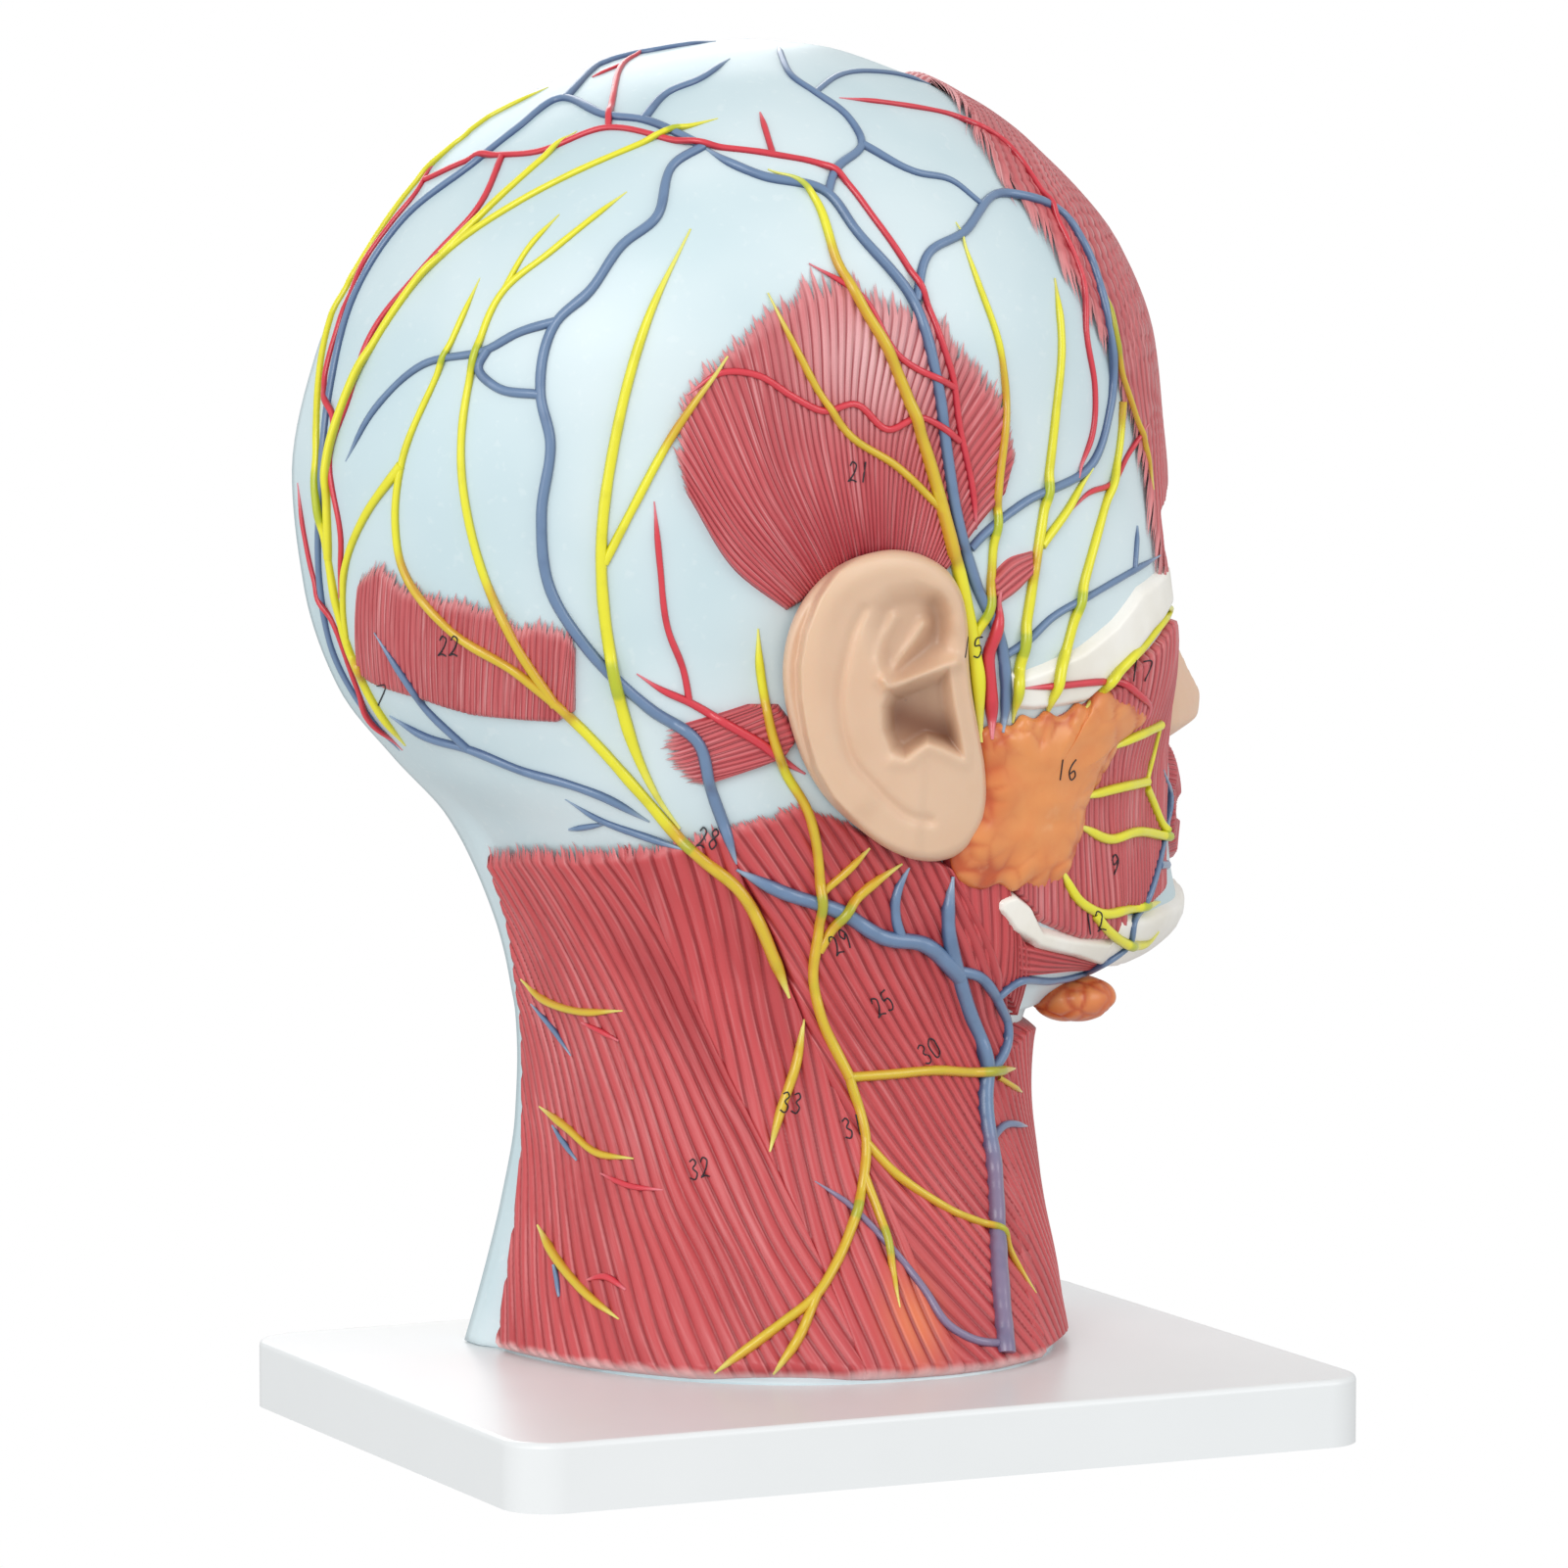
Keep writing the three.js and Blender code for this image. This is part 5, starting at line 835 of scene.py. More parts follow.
# Frontalis: the forehead muscle, moulded in thin relief and seen along its edge at the front. Its back
# edge is jagged, and below the brow only a narrow tail runs on.
frontalis_edge = [
    (948, 76), (968, 89), (1002, 139), (1036, 190), (1060, 215), (1084, 262), (1110, 300), (1130, 341),
    (1146, 383), (1165, 441), (1172, 480), (1179, 520), (1184, 556), (1190, 596),
]


def frontalis_rows():
    """Rows from the back edge to the median plane, level by level; below the brow only a narrow tail."""
    edge = even([seen(pixel, raised_guide) for pixel in frontalis_edge], 20)
    levels = [(p[2] - head_origin[2]) / head_height for p in edge]
    reach = [0.1 + 0.9 * smoothstep(level, 0.635, 0.675) for level in levels]
    rows = [edge]
    for share in (0.25, 0.5, 0.75, 1):
        ends = [turned(2, level) for level in levels]
        rows.append([Vector(p).lerp(end, share * part) for p, end, part in zip(edge, ends, reach)])
    return rows


frontalis = sheet(
    "forehead_muscle", (pale_red, "muscle_red", "frontalis"), frontalis_rows(), 170, 44, fringe=7 * mm,
    strand_wide=3 * mm, slant=0.4, seed=11,
)

# Zygomatic arch and mandible: cream painted bone, moulded a little prouder than the muscles of the face
# between which it shows.
bone_cast = {"proud": 1.8 * mm, "relief": 0.05 * mm, "shoulder": 2.5 * mm}
bone_paint = Paint("bone_cream")
bone_cloud = bone_paint.grain(60, 60, 4, on_strip=False)
bone_paint.bumped(bone_cloud, 0.4 * mm, 0.4)
bone_cream = bone_paint.finished(
    Base_Color=bone_paint.mixed(bone_cloud.between(0.3, 0.7), rgb(235, 231, 219), rgb(245, 243, 236)),
    Roughness=bone_cloud * 0.15 + 0.28,
    Coat_Weight=0.2,
    Coat_Roughness=0.2,
)
zygoma_top = [(1194, 566), (1165, 596), (1140, 630), (1106, 658), (1068, 676), (1041, 686), (1022, 674)]
zygoma_foot = [
    (1204, 616), (1178, 652), (1152, 684), (1132, 704), (1112, 722), (1085, 727), (1060, 730), (1035, 728),
]
arch = sheet(
    "cheek_bone", (bone_cream, "bone_cream", "zygomatic_bone"), [zygoma_top, zygoma_foot], 60, 20,
    **bone_cast,
)
jaw_top = [
    (1016, 920), (1029, 909), (1040, 906), (1056, 918), (1067, 944), (1097, 952), (1140, 957), (1146, 934),
    (1173, 931), facing(0.42, 0.325), facing(0.25, 0.325), facing(0.02, 0.333),
]
jaw_foot = [
    (1018, 932), (1036, 960), (1062, 975), (1097, 983), (1132, 989), facing(0.4, 0.281), facing(0.35, 0.28),
    facing(0.18, 0.281), facing(0.02, 0.283),
]
jaw = sheet(
    "lower_jaw", (bone_cream, "bone_cream", "mandible"), [jaw_top, jaw_foot], 110, 22, **bone_cast,
)

# Masseter and the muscles of the cheek, the eye and the lips: thin layers of muscle moulded on the face,
# the ones of the eye and the lips as rings.
face_cast = {"strand_wide": 1.9 * mm, "relief": 0.6 * mm}
masseter_top = [(1030, 752), (1070, 738), (1110, 720), (1156, 692)]
masseter_foot = [(1034, 906), (1064, 944), (1104, 962), (1150, 962)]
masseter = sheet(
    "chewing_muscle", (pale_red, "muscle_red", "masseter"), [masseter_top, masseter_foot], 90, 60,
    **face_cast, seed=13,
)
cheek_top = [(1144, 694), (1198, 630), facing(0.36, 0.55)]
cheek_foot = [(1141, 952), (1148, 930), (1173, 928), facing(0.42, 0.335)]
cheek = sheet(
    "cheek_muscle_group", (pale_red, "muscle_red", "cheek_muscles"), [cheek_top, cheek_foot], 80, 60,
    **face_cast, seed=15,
)


def polar(across, up, half_width, half_height, start, end, count):
    """Places on the face round a middle one, on part of an ellipse."""
    angles = np.radians(np.linspace(start, end, count))
    return [
        facing(
            across + half_width * math.cos(angle) / head_half_width,
            up + half_height * math.sin(angle) / head_height,
        )
        for angle in angles
    ]


eye_middle = (0.37, 0.583)
eye_inner, eye_outer = (9.5 * mm, 5 * mm), (14 * mm, 12.5 * mm)
eye_rows = [polar(*eye_middle, *reach, 20, 340, 33) for reach in (eye_inner, eye_outer)]
eye_ring = sheet(
    "eye_ring_muscle", (muscle_red, "muscle_red", "orbicularis_oculi"), eye_rows, 120, 20, seed=17
)
lip_middle = (0.005, 0.395)
lip_inner, lip_outer = (24 * mm, 2.5 * mm), (27 * mm, 15 * mm)
lip_rows = [polar(*lip_middle, *reach, 88, -88, 17) for reach in (lip_inner, lip_outer)]
lips = sheet("lip_ring_muscle", (muscle_red, "muscle_red", "lip_muscle"), lip_rows, 90, 24, seed=19)

# Neck muscles: thick bands from the skull to the base, laid side by side and moulded with coarse fibres.
# Each band's fibres have their own slope round the neck.
neck_cast = {"proud": neck_muscle_proud, "strand_wide": 2.9 * mm}
neck_red = muscle_paint(
    "neck_muscle_red", rgb(200, 74, 78), rgb(152, 40, 46), rgb(226, 140, 142), 0.45, 1100
)
trapezius_rows = [
    [(492, 882), (540, 878), (590, 880), (638, 876)],
    [(527, 1100), (600, 1100), (680, 1100), (750, 1100)],
    [(519, 1250), (630, 1254), (730, 1260), (832, 1258)],
    [(499, 1378), (590, 1397), (700, 1406), (896, 1406)],
]
trapezius = sheet(
    "trapezius_band", (neck_red, "muscle_red", "trapezius"), trapezius_rows, 170, 130, **neck_cast,
    fringe=5 * mm, slope=0.45, relief=0.7 * mm, seed=21,
)
levator_rows = [
    [(628, 879), (684, 870), (744, 852)],
    [(740, 1100), (800, 1098), (852, 1096)],
    [(820, 1258), (880, 1254), (926, 1250)],
    [(882, 1406), (940, 1404), (995, 1400)],
]
levator = sheet(
    "levator_band", (neck_red, "muscle_red", "levator_scapulae"), levator_rows, 90, 130, **neck_cast,
    fringe=4 * mm, slope=0.2, relief=0.6 * mm, seed=23,
)
mastoid_rows = [
    [(730, 856), (780, 842), (822, 826), (870, 846), (905, 862), (945, 872), (978, 888)],
    [(788, 960), (870, 950), (940, 935), (1003, 932)],
    [(838, 1096), (930, 1085), (1040, 1080)],
    [(912, 1250), (980, 1248), (1051, 1244)],
    [(980, 1400), (1030, 1396), (1073, 1390)],
]
mastoid = sheet(
    "mastoid_band", (neck_red, "muscle_red", "sternocleidomastoid"), mastoid_rows, 130, 140, **neck_cast,
    fringe=4 * mm, loose_shares=(1, 1, 0.8, 0.2, 0.2), slope=0.6, relief=0.6 * mm, seed=25,
)
for band in (trapezius, levator, mastoid):
    near_spot(band, "haze", (934, 1345), 6 * mm, 13 * mm)
strap_rows = [
    [(1010, 1092), turned(40, 0.24), turned(20, 0.235), turned(2, 0.232)],
    [(1037, 1244), turned(40, 0.12), turned(20, 0.12), turned(2, 0.12)],
    [(1058, 1390), turned(40, 0.004), turned(20, 0.004), turned(2, 0.004)],
]
strap = sheet(
    "strap_band", (neck_red, "muscle_red", "strap_muscles"), strap_rows, 120, 90, **neck_cast,
    slope=0.3, relief=0.5 * mm, seed=27,
)
digastric_rows = [
    [(970, 872), (1000, 880), (1032, 896), (1040, 945), (1056, 972)],
    [(986, 1000), (1010, 1008), (1030, 1020), (1044, 1044)],
]
digastric = sheet(
    "digastric_band", (neck_red, "muscle_red", "digastric"), digastric_rows, 50, 40, **neck_cast,
    relief=0.4 * mm, seed=29,
)
front_belly_rows = [[(1036, 958), (1040, 1004)], [(1092, 976), (1088, 998)], [(1150, 986), (1140, 1000)]]
front_belly = sheet(
    "digastric_front_belly", (neck_red, "muscle_red"), front_belly_rows, 30, 40, proud=neck_muscle_proud,
    seed=31,
)
muscles = [
    temporalis, occipitalis, posterior, anterior, frontalis, arch, jaw, masseter, cheek, eye_ring, lips,
    trapezius, levator, mastoid, strap, digastric, front_belly,
]

# Parotid gland: an orange mass of lobules in front of the ear, moulded over the masseter and deeply lobed
# along its upper edge.
gland_proud = 4.6 * mm
gland_rim = 0.8 * mm
gland_root = 0.4 * mm
small_lobe = 6.5 * mm
large_lobe = 11 * mm
lobe_sunk = 0.6 * mm
swell_long = 9 * mm
swell_tall = 6 * mm
swell_high = 0.9 * mm


def outline_grid(rim, middle, turns, rings):
    """Points of the photograph on rings from a middle one out to a closed outline."""
    closed = np.array([(*p, 0) for p in [*rim, rim[0]]], float)
    stops = lengths_of(closed)
    line = smooth_line(np.vstack([closed[-3:-1], closed, closed[1:3]]), step=1)
    around = lengths_of(line)
    start = lengths_of(np.vstack([closed[-3:-1], closed[:1]]))[-1]
    wanted = start + np.linspace(0, stops[-1], turns, endpoint=False)
    edge = np.stack([np.interp(wanted, around, line[:, axis]) for axis in (0, 1)], axis=1)
    shares = np.asarray(rings)[:, None, None]
    return np.array(middle) + shares * (edge - np.array(middle))


def seen_grid(pixels, surface):
    hits = [seen(p, surface)[:] for p in pixels.reshape(-1, 2)]
    return np.array(hits).reshape(*pixels.shape[:2], 3)


def lobes(places, size, seed=0):
    """Rounded lobules: 1 in the middle of each and 0 in the crease between two of them."""
    depth = []
    for p in places.reshape(-1, 3):
        distances = noise.voronoi(Vector(p) / size + Vector((seed, 0, 0)))[0]
        depth.append(min((distances[1] - distances[0]) / 0.45, 1))
    share = np.array(depth).reshape(places.shape[:-1])
    return 1 - (1 - share) ** 2


parotid_rim = [
    (1004, 748), (1020, 739), (1036, 742), (1046, 731), (1060, 735), (1070, 727), (1084, 733), (1094, 727),
    (1103, 719), (1112, 722), (1120, 709), (1132, 705), (1144, 714), (1163, 719), (1173, 729), (1162, 742),
    (1146, 756), (1141, 766), (1134, 780), (1125, 796), (1117, 810), (1112, 824), (1108, 842), (1104, 858),
    (1098, 876), (1091, 891), (1078, 903), (1062, 909), (1049, 904), (1036, 911), (1022, 903), (1004, 909),
    (980, 898), (972, 872), (990, 840), (1000, 820), (1004, 780),
]
parotid_rings = np.linspace(0, 1, 44) ** 0.8
parotid_pixels = outline_grid(parotid_rim, (1054, 808), 190, parotid_rings)
parotid_places, parotid_normals = snapped(seen_grid(parotid_pixels, raised_guide), guide)
parotid_dome = (1 - np.clip(parotid_rings, 0, 1) ** 5)[:, None]
edge_lobed = smoothstep(parotid_rings, 0.45, 0.95)[:, None]
small = lobes(parotid_places, small_lobe)
large = lobes(parotid_places, large_lobe, 5)
folds = noises(parotid_places[..., 0] / swell_long, parotid_places[..., 2] / swell_tall, seed=3)
parotid_height = gland_rim + (gland_proud - 2 * gland_rim) * np.sqrt(parotid_dome)
parotid_height = parotid_height + parotid_dome**0.5 * (
    lobe_sunk * (small - 1) * edge_lobed**2 + lobe_sunk * (large - 1) * edge_lobed + swell_high * folds
)
parotid = closed_slab(
    "parotid_lobes",
    parotid_places + parotid_normals * parotid_height[..., None],
    parotid_places + parotid_normals * gland_root,
    closed=True,
)
# Painted shade: the creases between the lobules are painted darker, and so is the edge beside the ear.
near_ear = smoothstep(-parotid_pixels[..., 0], -1045, -1005)
creases = 1 - (1 - (0.6 * small + 0.4 * large)) * (0.12 + 0.6 * edge_lobed) + 0.2 * folds
keep_values(parotid, "lobe_shading", np.tile(creases - 0.35 * near_ear, (2, 1)))

gland_paint = Paint("gland_orange")
lobe_shading = gland_paint.attribute("lobe_shading")
mottle = gland_paint.grain(90, 90, 4, on_strip=False)
# Painted shade: the orange darkens into the creases between the lobules and is lighter on their tops.
orange = gland_paint.mixed(lobe_shading.between(0.2, 0.9), rgb(198, 88, 44), rgb(233, 148, 84))
orange = gland_paint.mixed(mottle.between(0.45, 0.65) * 0.4, orange, rgb(224, 122, 62))
orange = gland_paint.mixed(mottle.between(0.42, 0.3) * 0.5, orange, rgb(240, 176, 124))
gland_paint.bumped(mottle, 0.4 * mm, 0.35)
gland_orange = gland_paint.finished(
    Base_Color=orange, Roughness=mottle * 0.2 + 0.3, Coat_Weight=0.25, Coat_Roughness=0.2,
    Subsurface_Weight=0.06,
)
piece(parotid, "parotid_lobes", gland_orange, "gland_orange", "parotid_gland")

# Submandibular gland: a lobed ball under the jaw, in the same orange as the parotid gland, cast on its own
# and glued to the neck.
gland_low, gland_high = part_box("submandibular_gland")
gland_size = gland_high - gland_low
gland_share = 0.97
jaw_lobe = 5.2 * mm
bpy.ops.mesh.primitive_uv_sphere_add(segments=96, ring_count=56, location=(gland_low + gland_high) / 2)
jaw_gland = bpy.context.object
jaw_gland.scale = [length / 2 * gland_share for length in gland_size]
settled(jaw_gland)
gland_points = points_of(jaw_gland)
gland_lobes = lobes(gland_points, jaw_lobe, 3)
gland_middle = np.array((gland_low + gland_high) / 2)
drawn_in = gland_middle + (gland_points - gland_middle) * (0.95 + 0.05 * gland_lobes)[:, None]
jaw_gland.data.vertices.foreach_set("co", drawn_in.astype(np.float32).reshape(-1))
# Painted shade in the creases between its lobules.
keep_values(jaw_gland, "lobe_shading", 0.2 + 0.5 * gland_lobes)
piece(jaw_gland, "jaw_gland_lobes", gland_orange, "gland_orange", "submandibular_gland")

# Veins: moulded cords painted blue, with a painted highlight along the crest and painted shade at the
# foot. They lie on whatever is under them, and what is laid later rises over them. Free ends taper away;
# joined ends run into each other.
vein_radius = 1.0 * mm
jugular_radius = 2.1 * mm
jugular_fade = 14 * mm
artery_radius = 0.75 * mm
nerve_radius = 1.1 * mm
twig_radius = 0.65 * mm
bare_surface = surface_of(skull, *muscles)
muscle_surface = surface_of(*[m for m in muscles if m not in (arch, jaw, masseter, cheek)])
full_surface = surface_of(skull, *muscles, parotid)
laid_places = []
laid_radii = []
laid_kinds = []
cord_paints = {}
cord_step = 0.9 * mm
cord_wave = 7 * mm
joined_within = 3.2 * mm
crossing_reach = 3 * mm
crossing_gap = 0.6 * mm
on_muscle = 0.9 * mm


def eased(values, passes):
    """Values along a line with their small steps smoothed out, ends kept."""
    values = values.copy()
    for _ in range(passes):
        values[1:-1] = (values[:-2] + 2 * values[1:-1] + values[2:]) / 4
    return values


def tree_of(places):
    tree = KDTree(max(len(places), 1))
    for i, place in enumerate(places):
        tree.insert(place, i)
    tree.balance()
    return tree


def round_curve(name, radius, resolution):
    curve = bpy.data.curves.new(name, "CURVE")
    curve.dimensions = "3D"
    curve.bevel_depth = radius
    curve.bevel_resolution = resolution
    return curve


def add_line(curve, places, radii):
    """Adds a line to a curve, with its half width at each place as a share of the curve's own."""
    spline = curve.splines.new("POLY")
    spline.points.add(len(places) - 1)
    spline.points.foreach_set("co", np.hstack([places, np.ones((len(places), 1))]).reshape(-1))
    spline.points.foreach_set("radius", radii)


def tapered(line, stops, others, tip):
    """1 along a line, running out towards each end that no other line meets."""
    fade = np.ones(len(line))
    for place, away in ((line[0], stops), (line[-1], stops[-1] - stops)):
        if np.min(np.linalg.norm(others - place, axis=1)) > joined_within:
            fade = np.minimum(fade, smoothstep(away, -0.25 * tip, min(tip, stops[-1] / 2.5)))
    return fade


def crossings(line, radii, kind, tree):
    """How far a line rises over the cords of other kinds that it crosses, and where it lies on a vein."""
    lift = np.zeros(len(line))
    over_vein = np.zeros(len(line))
    for i, place in enumerate(line):
        for _, j, apart in tree.find_range(place, radii[i] + crossing_reach) if laid_places else []:
            beside = laid_radii[j] + crossing_gap
            near = smoothstep(radii[i] + laid_radii[j] + crossing_gap - apart, 0, beside)
            if laid_kinds[j] != kind:
                lift[i] = max(lift[i], near * laid_radii[j] * 1.15)
            if laid_kinds[j] == "vein":
                over_vein[i] = max(over_vein[i], near)
    return eased(lift, 4), over_vein


def strands(name, kind, nodes, routes, surface=full_surface, tip=9 * mm):
    """Cords of one kind through points of the photograph, for their CAD nodes; each route has its own half
    widths at its ends. What is known of each place of a line is kept as one row: middle, outward
    direction, half width, fade, over muscle and over a vein."""
    tree = tree_of(laid_places)
    lines = []
    for route, start, end in routes:
        traced = smooth_line([(x, y, 0) for x, y in route], step=4)
        hits = np.array([seen(p, surface)[:] for p in traced])
        lines.append((smooth_line(eased(hits, 2), step=cord_step), start, end))
    curve = round_curve(name, mm, 3)
    curve.use_fill_caps = True
    facts = []
    for index, (line, start, end) in enumerate(lines):
        others = np.vstack([other for i, (other, _, _) in enumerate(lines) if i != index] or [[[9, 9, 9]]])
        stops = lengths_of(line)
        radii = start + (end - start) * stops / stops[-1]
        radii *= 1 + 0.1 * noises(stops / cord_wave, index, seed=len(name))
        fade = tapered(line, stops, others, tip)
        radii *= 0.12 + 0.88 * fade
        normals = eased(snapped(line, guide)[1], 6)
        normals /= np.linalg.norm(normals, axis=1, keepdims=True)
        lift, over_vein = crossings(line, radii, kind, tree)
        middle = line + normals * (0.2 * radii + lift)[:, None]
        middle[:, 1] = np.minimum(middle[:, 1], head_origin[1] - radii)
        on_red = np.array([float(muscle_surface.find_nearest(place)[3] < on_muscle) for place in line])
        add_line(curve, middle, radii / mm)
        facts.append(np.column_stack([middle, normals, radii, fade, eased(on_red, 5), over_vein]))
    facts = np.vstack(facts)
    laid_places.extend(facts[:, :3])
    laid_radii.extend(facts[:, 6])
    laid_kinds.extend([kind] * len(facts))
    made = settled(placed(name, curve))
    near = tree_of(facts[:, :3])
    points = points_of(made)
    rows = facts[[near.find(p)[1] for p in points]]
    crest = np.sum((points - rows[:, :3]) * rows[:, 3:6], axis=1) / rows[:, 6]
    keep_values(made, "crest", np.clip(crest / 2 + 0.5, 0, 1))
    keep_values(made, "tip", 1 - rows[:, 7])
    keep_values(made, "over_muscle", rows[:, 8])
    keep_values(made, "over_vein", rows[:, 9])
    return piece(made, name, *cord_paints[kind], *nodes)


def cord_paint(kind, name, foot, crest, pale, over_muscle=None, over_vein=None):
    """Keeps the paint and slot of one kind of cord: painted shade in its foot colour, a painted highlight in
    its crest colour, and its pale free tips.
    """
    paint = Paint(name)
    along = paint.grain(160, 160, 3, on_strip=False)
    top = paint.attribute("crest")
    # Painted highlight and shade: the crest colour along the top of the cord, the foot colour down its
    # sides.
    colour = paint.mixed(top.between(0.5, 0.92), foot, crest)
    if over_muscle:
        # Over muscle, less amber along the crest, where the painted highlight shows.
        deep_share = 1 - top.between(0.7, 1.1) * 0.45
        colour = paint.mixed(paint.attribute("over_muscle") * deep_share, colour, over_muscle)
    if over_vein:
        colour = paint.mixed(paint.attribute("over_vein").between(0.3, 1) * 0.6, colour, over_vein)
    colour = paint.mixed(paint.attribute("tip").between(0.1, 0.9) * 0.75, colour, pale)
    colour = paint.mixed(paint.attribute("faded") * 0.5, colour, rgb(150, 98, 122))
    colour = paint.mixed(along.between(0.5, 0.75) * 0.3, colour, foot)
    paint.bumped(along, 0.3 * mm, 0.3)
    cord_paints[kind] = paint.finished(
        Base_Color=colour, Roughness=along * 0.2 + 0.22, Coat_Weight=0.3, Coat_Roughness=0.15
    ), name


cord_paint("vein", "vein_blue", rgb(64, 86, 124), rgb(106, 132, 166), rgb(158, 178, 198))
jugular = [
    (973, 895), (967, 934), (971, 971), (978, 997), (986, 1027), (1006, 1089), (1004, 1119), (1013, 1193),
    (1019, 1304), (1026, 1382),
]
jugular_root = [(752, 888), (797, 910), (860, 932), (901, 957), (945, 965), (967, 984), (978, 997)]
facial_vein = [
    (1017, 1019), (1041, 1001), (1074, 1001), (1113, 990), (1140, 975), (1153, 964), (1158, 938),
    (1168, 924), (1183, 880), (1191, 840), (1195, 817), (1188, 786),
]
external_jugular = strands("jugular_veins", "vein", ["external_jugular_vein"], [
    (jugular, jugular_radius * 0.75, jugular_radius),
    (jugular_root, vein_radius * 1.4, jugular_radius * 0.9),
    ([(928, 886), (915, 912), (914, 938), (919, 955)], vein_radius, vein_radius * 1.2),
    ([(978, 991), (1000, 997), (1017, 1019), (1028, 1060), (1015, 1089), (1004, 1100)],
     vein_radius * 1.2, vein_radius * 1.2),
    ([(1010, 1166), (1026, 1148), (1049, 1150)], vein_radius, twig_radius),
    ([(832, 1206), (867, 1230), (897, 1260), (945, 1319), (967, 1352), (1000, 1370), (1024, 1372)],
     twig_radius, vein_radius),
    (facial_vein, vein_radius, twig_radius),
    ([(1183, 883), (1193, 883)], vein_radius, vein_radius),
])
jugular_heights = points_of(external_jugular)[:, 2]
faded_from = seen((1000, 1130), raised_guide)[2]
keep_values(external_jugular, "faded", smoothstep(faded_from - jugular_heights, 0, jugular_fade))

parietal_vein = [
    (718, 150), (687, 169), (670, 223), (636, 250), (601, 299), (569, 328), (552, 403), (562, 449),
    (553, 525), (561, 599), (599, 661), (663, 723), (714, 760), (725, 803), (742, 851), (752, 882),
]
crown_vein = [
    (718, 150), (657, 123), (617, 118), (578, 101), (525, 135), (485, 167), (414, 223), (364, 299),
    (337, 403), (328, 498), (328, 599), (340, 662), (379, 732), (408, 766),
]
auricular_vein = strands("crown_and_nape_veins", "vein", ["posterior_auricular_vein"], [
    (parietal_vein, vein_radius, vein_radius * 1.3),
    ([(569, 328), (529, 340), (498, 357), (433, 372), (383, 418), (353, 471)], vein_radius, twig_radius),
    ([(498, 357), (488, 376), (506, 395), (552, 403)], vein_radius, vein_radius),
    (crown_vein, vein_radius, vein_radius * 0.8),
    ([(578, 101), (613, 66), (670, 52), (731, 42)], vein_radius, twig_radius),
    ([(657, 123), (678, 98), (716, 81), (745, 60)], vein_radius, twig_radius),
    ([(581, 847), (618, 841)], twig_radius, twig_radius),
])

temporal_vein = [
    (717, 149), (738, 163), (774, 179), (845, 198), (872, 234), (933, 309), (956, 387), (966, 460),
    (976, 525), (997, 600), (1020, 652), (1026, 690), (1024, 748),
]
frontal_vein = [
    (935, 307), (949, 257), (983, 238), (1018, 198), (1044, 200), (1083, 217), (1106, 250), (1125, 303),
    (1136, 364), (1132, 418), (1113, 475), (1044, 514), (998, 552), (991, 560),
]
temporal_veins = strands("temple_veins", "vein", ["superficial_temporal_vein"], [
    (temporal_vein, vein_radius, vein_radius * 1.4),
    ([(845, 198), (853, 173), (880, 148), (868, 123), (832, 95), (807, 77), (794, 47)],
     vein_radius, twig_radius),
    ([(880, 148), (937, 177), (968, 183), (1000, 207)], vein_radius, twig_radius),
    ([(832, 95), (853, 79), (907, 75), (950, 86)], twig_radius, twig_radius),
    (frontal_vein, vein_radius, vein_radius),
    ([(1185, 567), (1158, 582), (1111, 609), (1073, 631), (1050, 653), (1022, 672)],
     twig_radius, vein_radius),
    ([(1158, 582), (1161, 537)], twig_radius, twig_radius),
])

strands("occipital_veins", "vein", ["occipital_vein"], [
    ([(398, 731), (439, 753), (478, 764), (535, 787), (580, 800), (618, 814), (663, 839)],
     vein_radius, vein_radius),
    ([(382, 646), (408, 685), (430, 717), (478, 764)], twig_radius, vein_radius),
    ([(577, 816), (615, 838), (650, 851), (700, 868)], twig_radius, vein_radius),
])

# Arteries: thinner cords, moulded like the veins and painted red. They wind over the scalp, and their
# free tips fade to pink.
cord_paint("artery", "artery_red", rgb(168, 26, 46), rgb(214, 58, 72), rgb(228, 140, 150))
crown_artery = [
    (435, 184), (487, 162), (548, 156), (621, 131), (701, 147), (789, 158), (846, 172), (895, 227),
    (933, 284), (964, 357), (972, 383), (979, 433), (993, 502), (997, 540),
]
strands("scalp_arteries", "artery", ["superficial_temporal_artery"], [
    (crown_artery, artery_radius, artery_radius),
    ([(621, 131), (626, 100), (636, 66), (660, 52)], artery_radius, twig_radius),
    ([(636, 66), (605, 79)], twig_radius * 0.8, twig_radius * 0.8),
    ([(789, 158), (776, 115)], artery_radius, twig_radius),
    ([(513, 160), (494, 204), (441, 265), (380, 341), (353, 418), (339, 456), (349, 556), (346, 611)],
     artery_radius, twig_radius),
    ([(445, 158), (429, 192), (399, 230), (372, 269), (353, 318), (337, 364), (332, 395), (341, 426),
      (339, 456)], twig_radius, artery_radius),
    ([(702, 403), (738, 380), (773, 383), (811, 406), (842, 420), (872, 412), (907, 439), (937, 426),
      (979, 450)], artery_radius, artery_radius),
    ([(826, 269), (880, 303), (918, 364), (975, 396)], twig_radius, artery_radius),
    ([(1022, 604), (1013, 643), (1008, 672), (1010, 700), (1013, 755)],
     artery_radius * 1.7, artery_radius * 2.2),
    ([(304, 493), (312, 548), (325, 602), (344, 643), (360, 688), (376, 726), (411, 766)],
     twig_radius, twig_radius),
])

strands("ear_arteries", "artery", ["posterior_auricular_artery"], [
    ([(650, 688), (675, 704), (704, 717), (742, 739), (775, 758), (808, 782), (822, 790)],
     artery_radius, artery_radius * 1.5),
    ([(668, 512), (674, 579), (682, 643), (698, 685), (704, 717)], twig_radius, artery_radius),
])

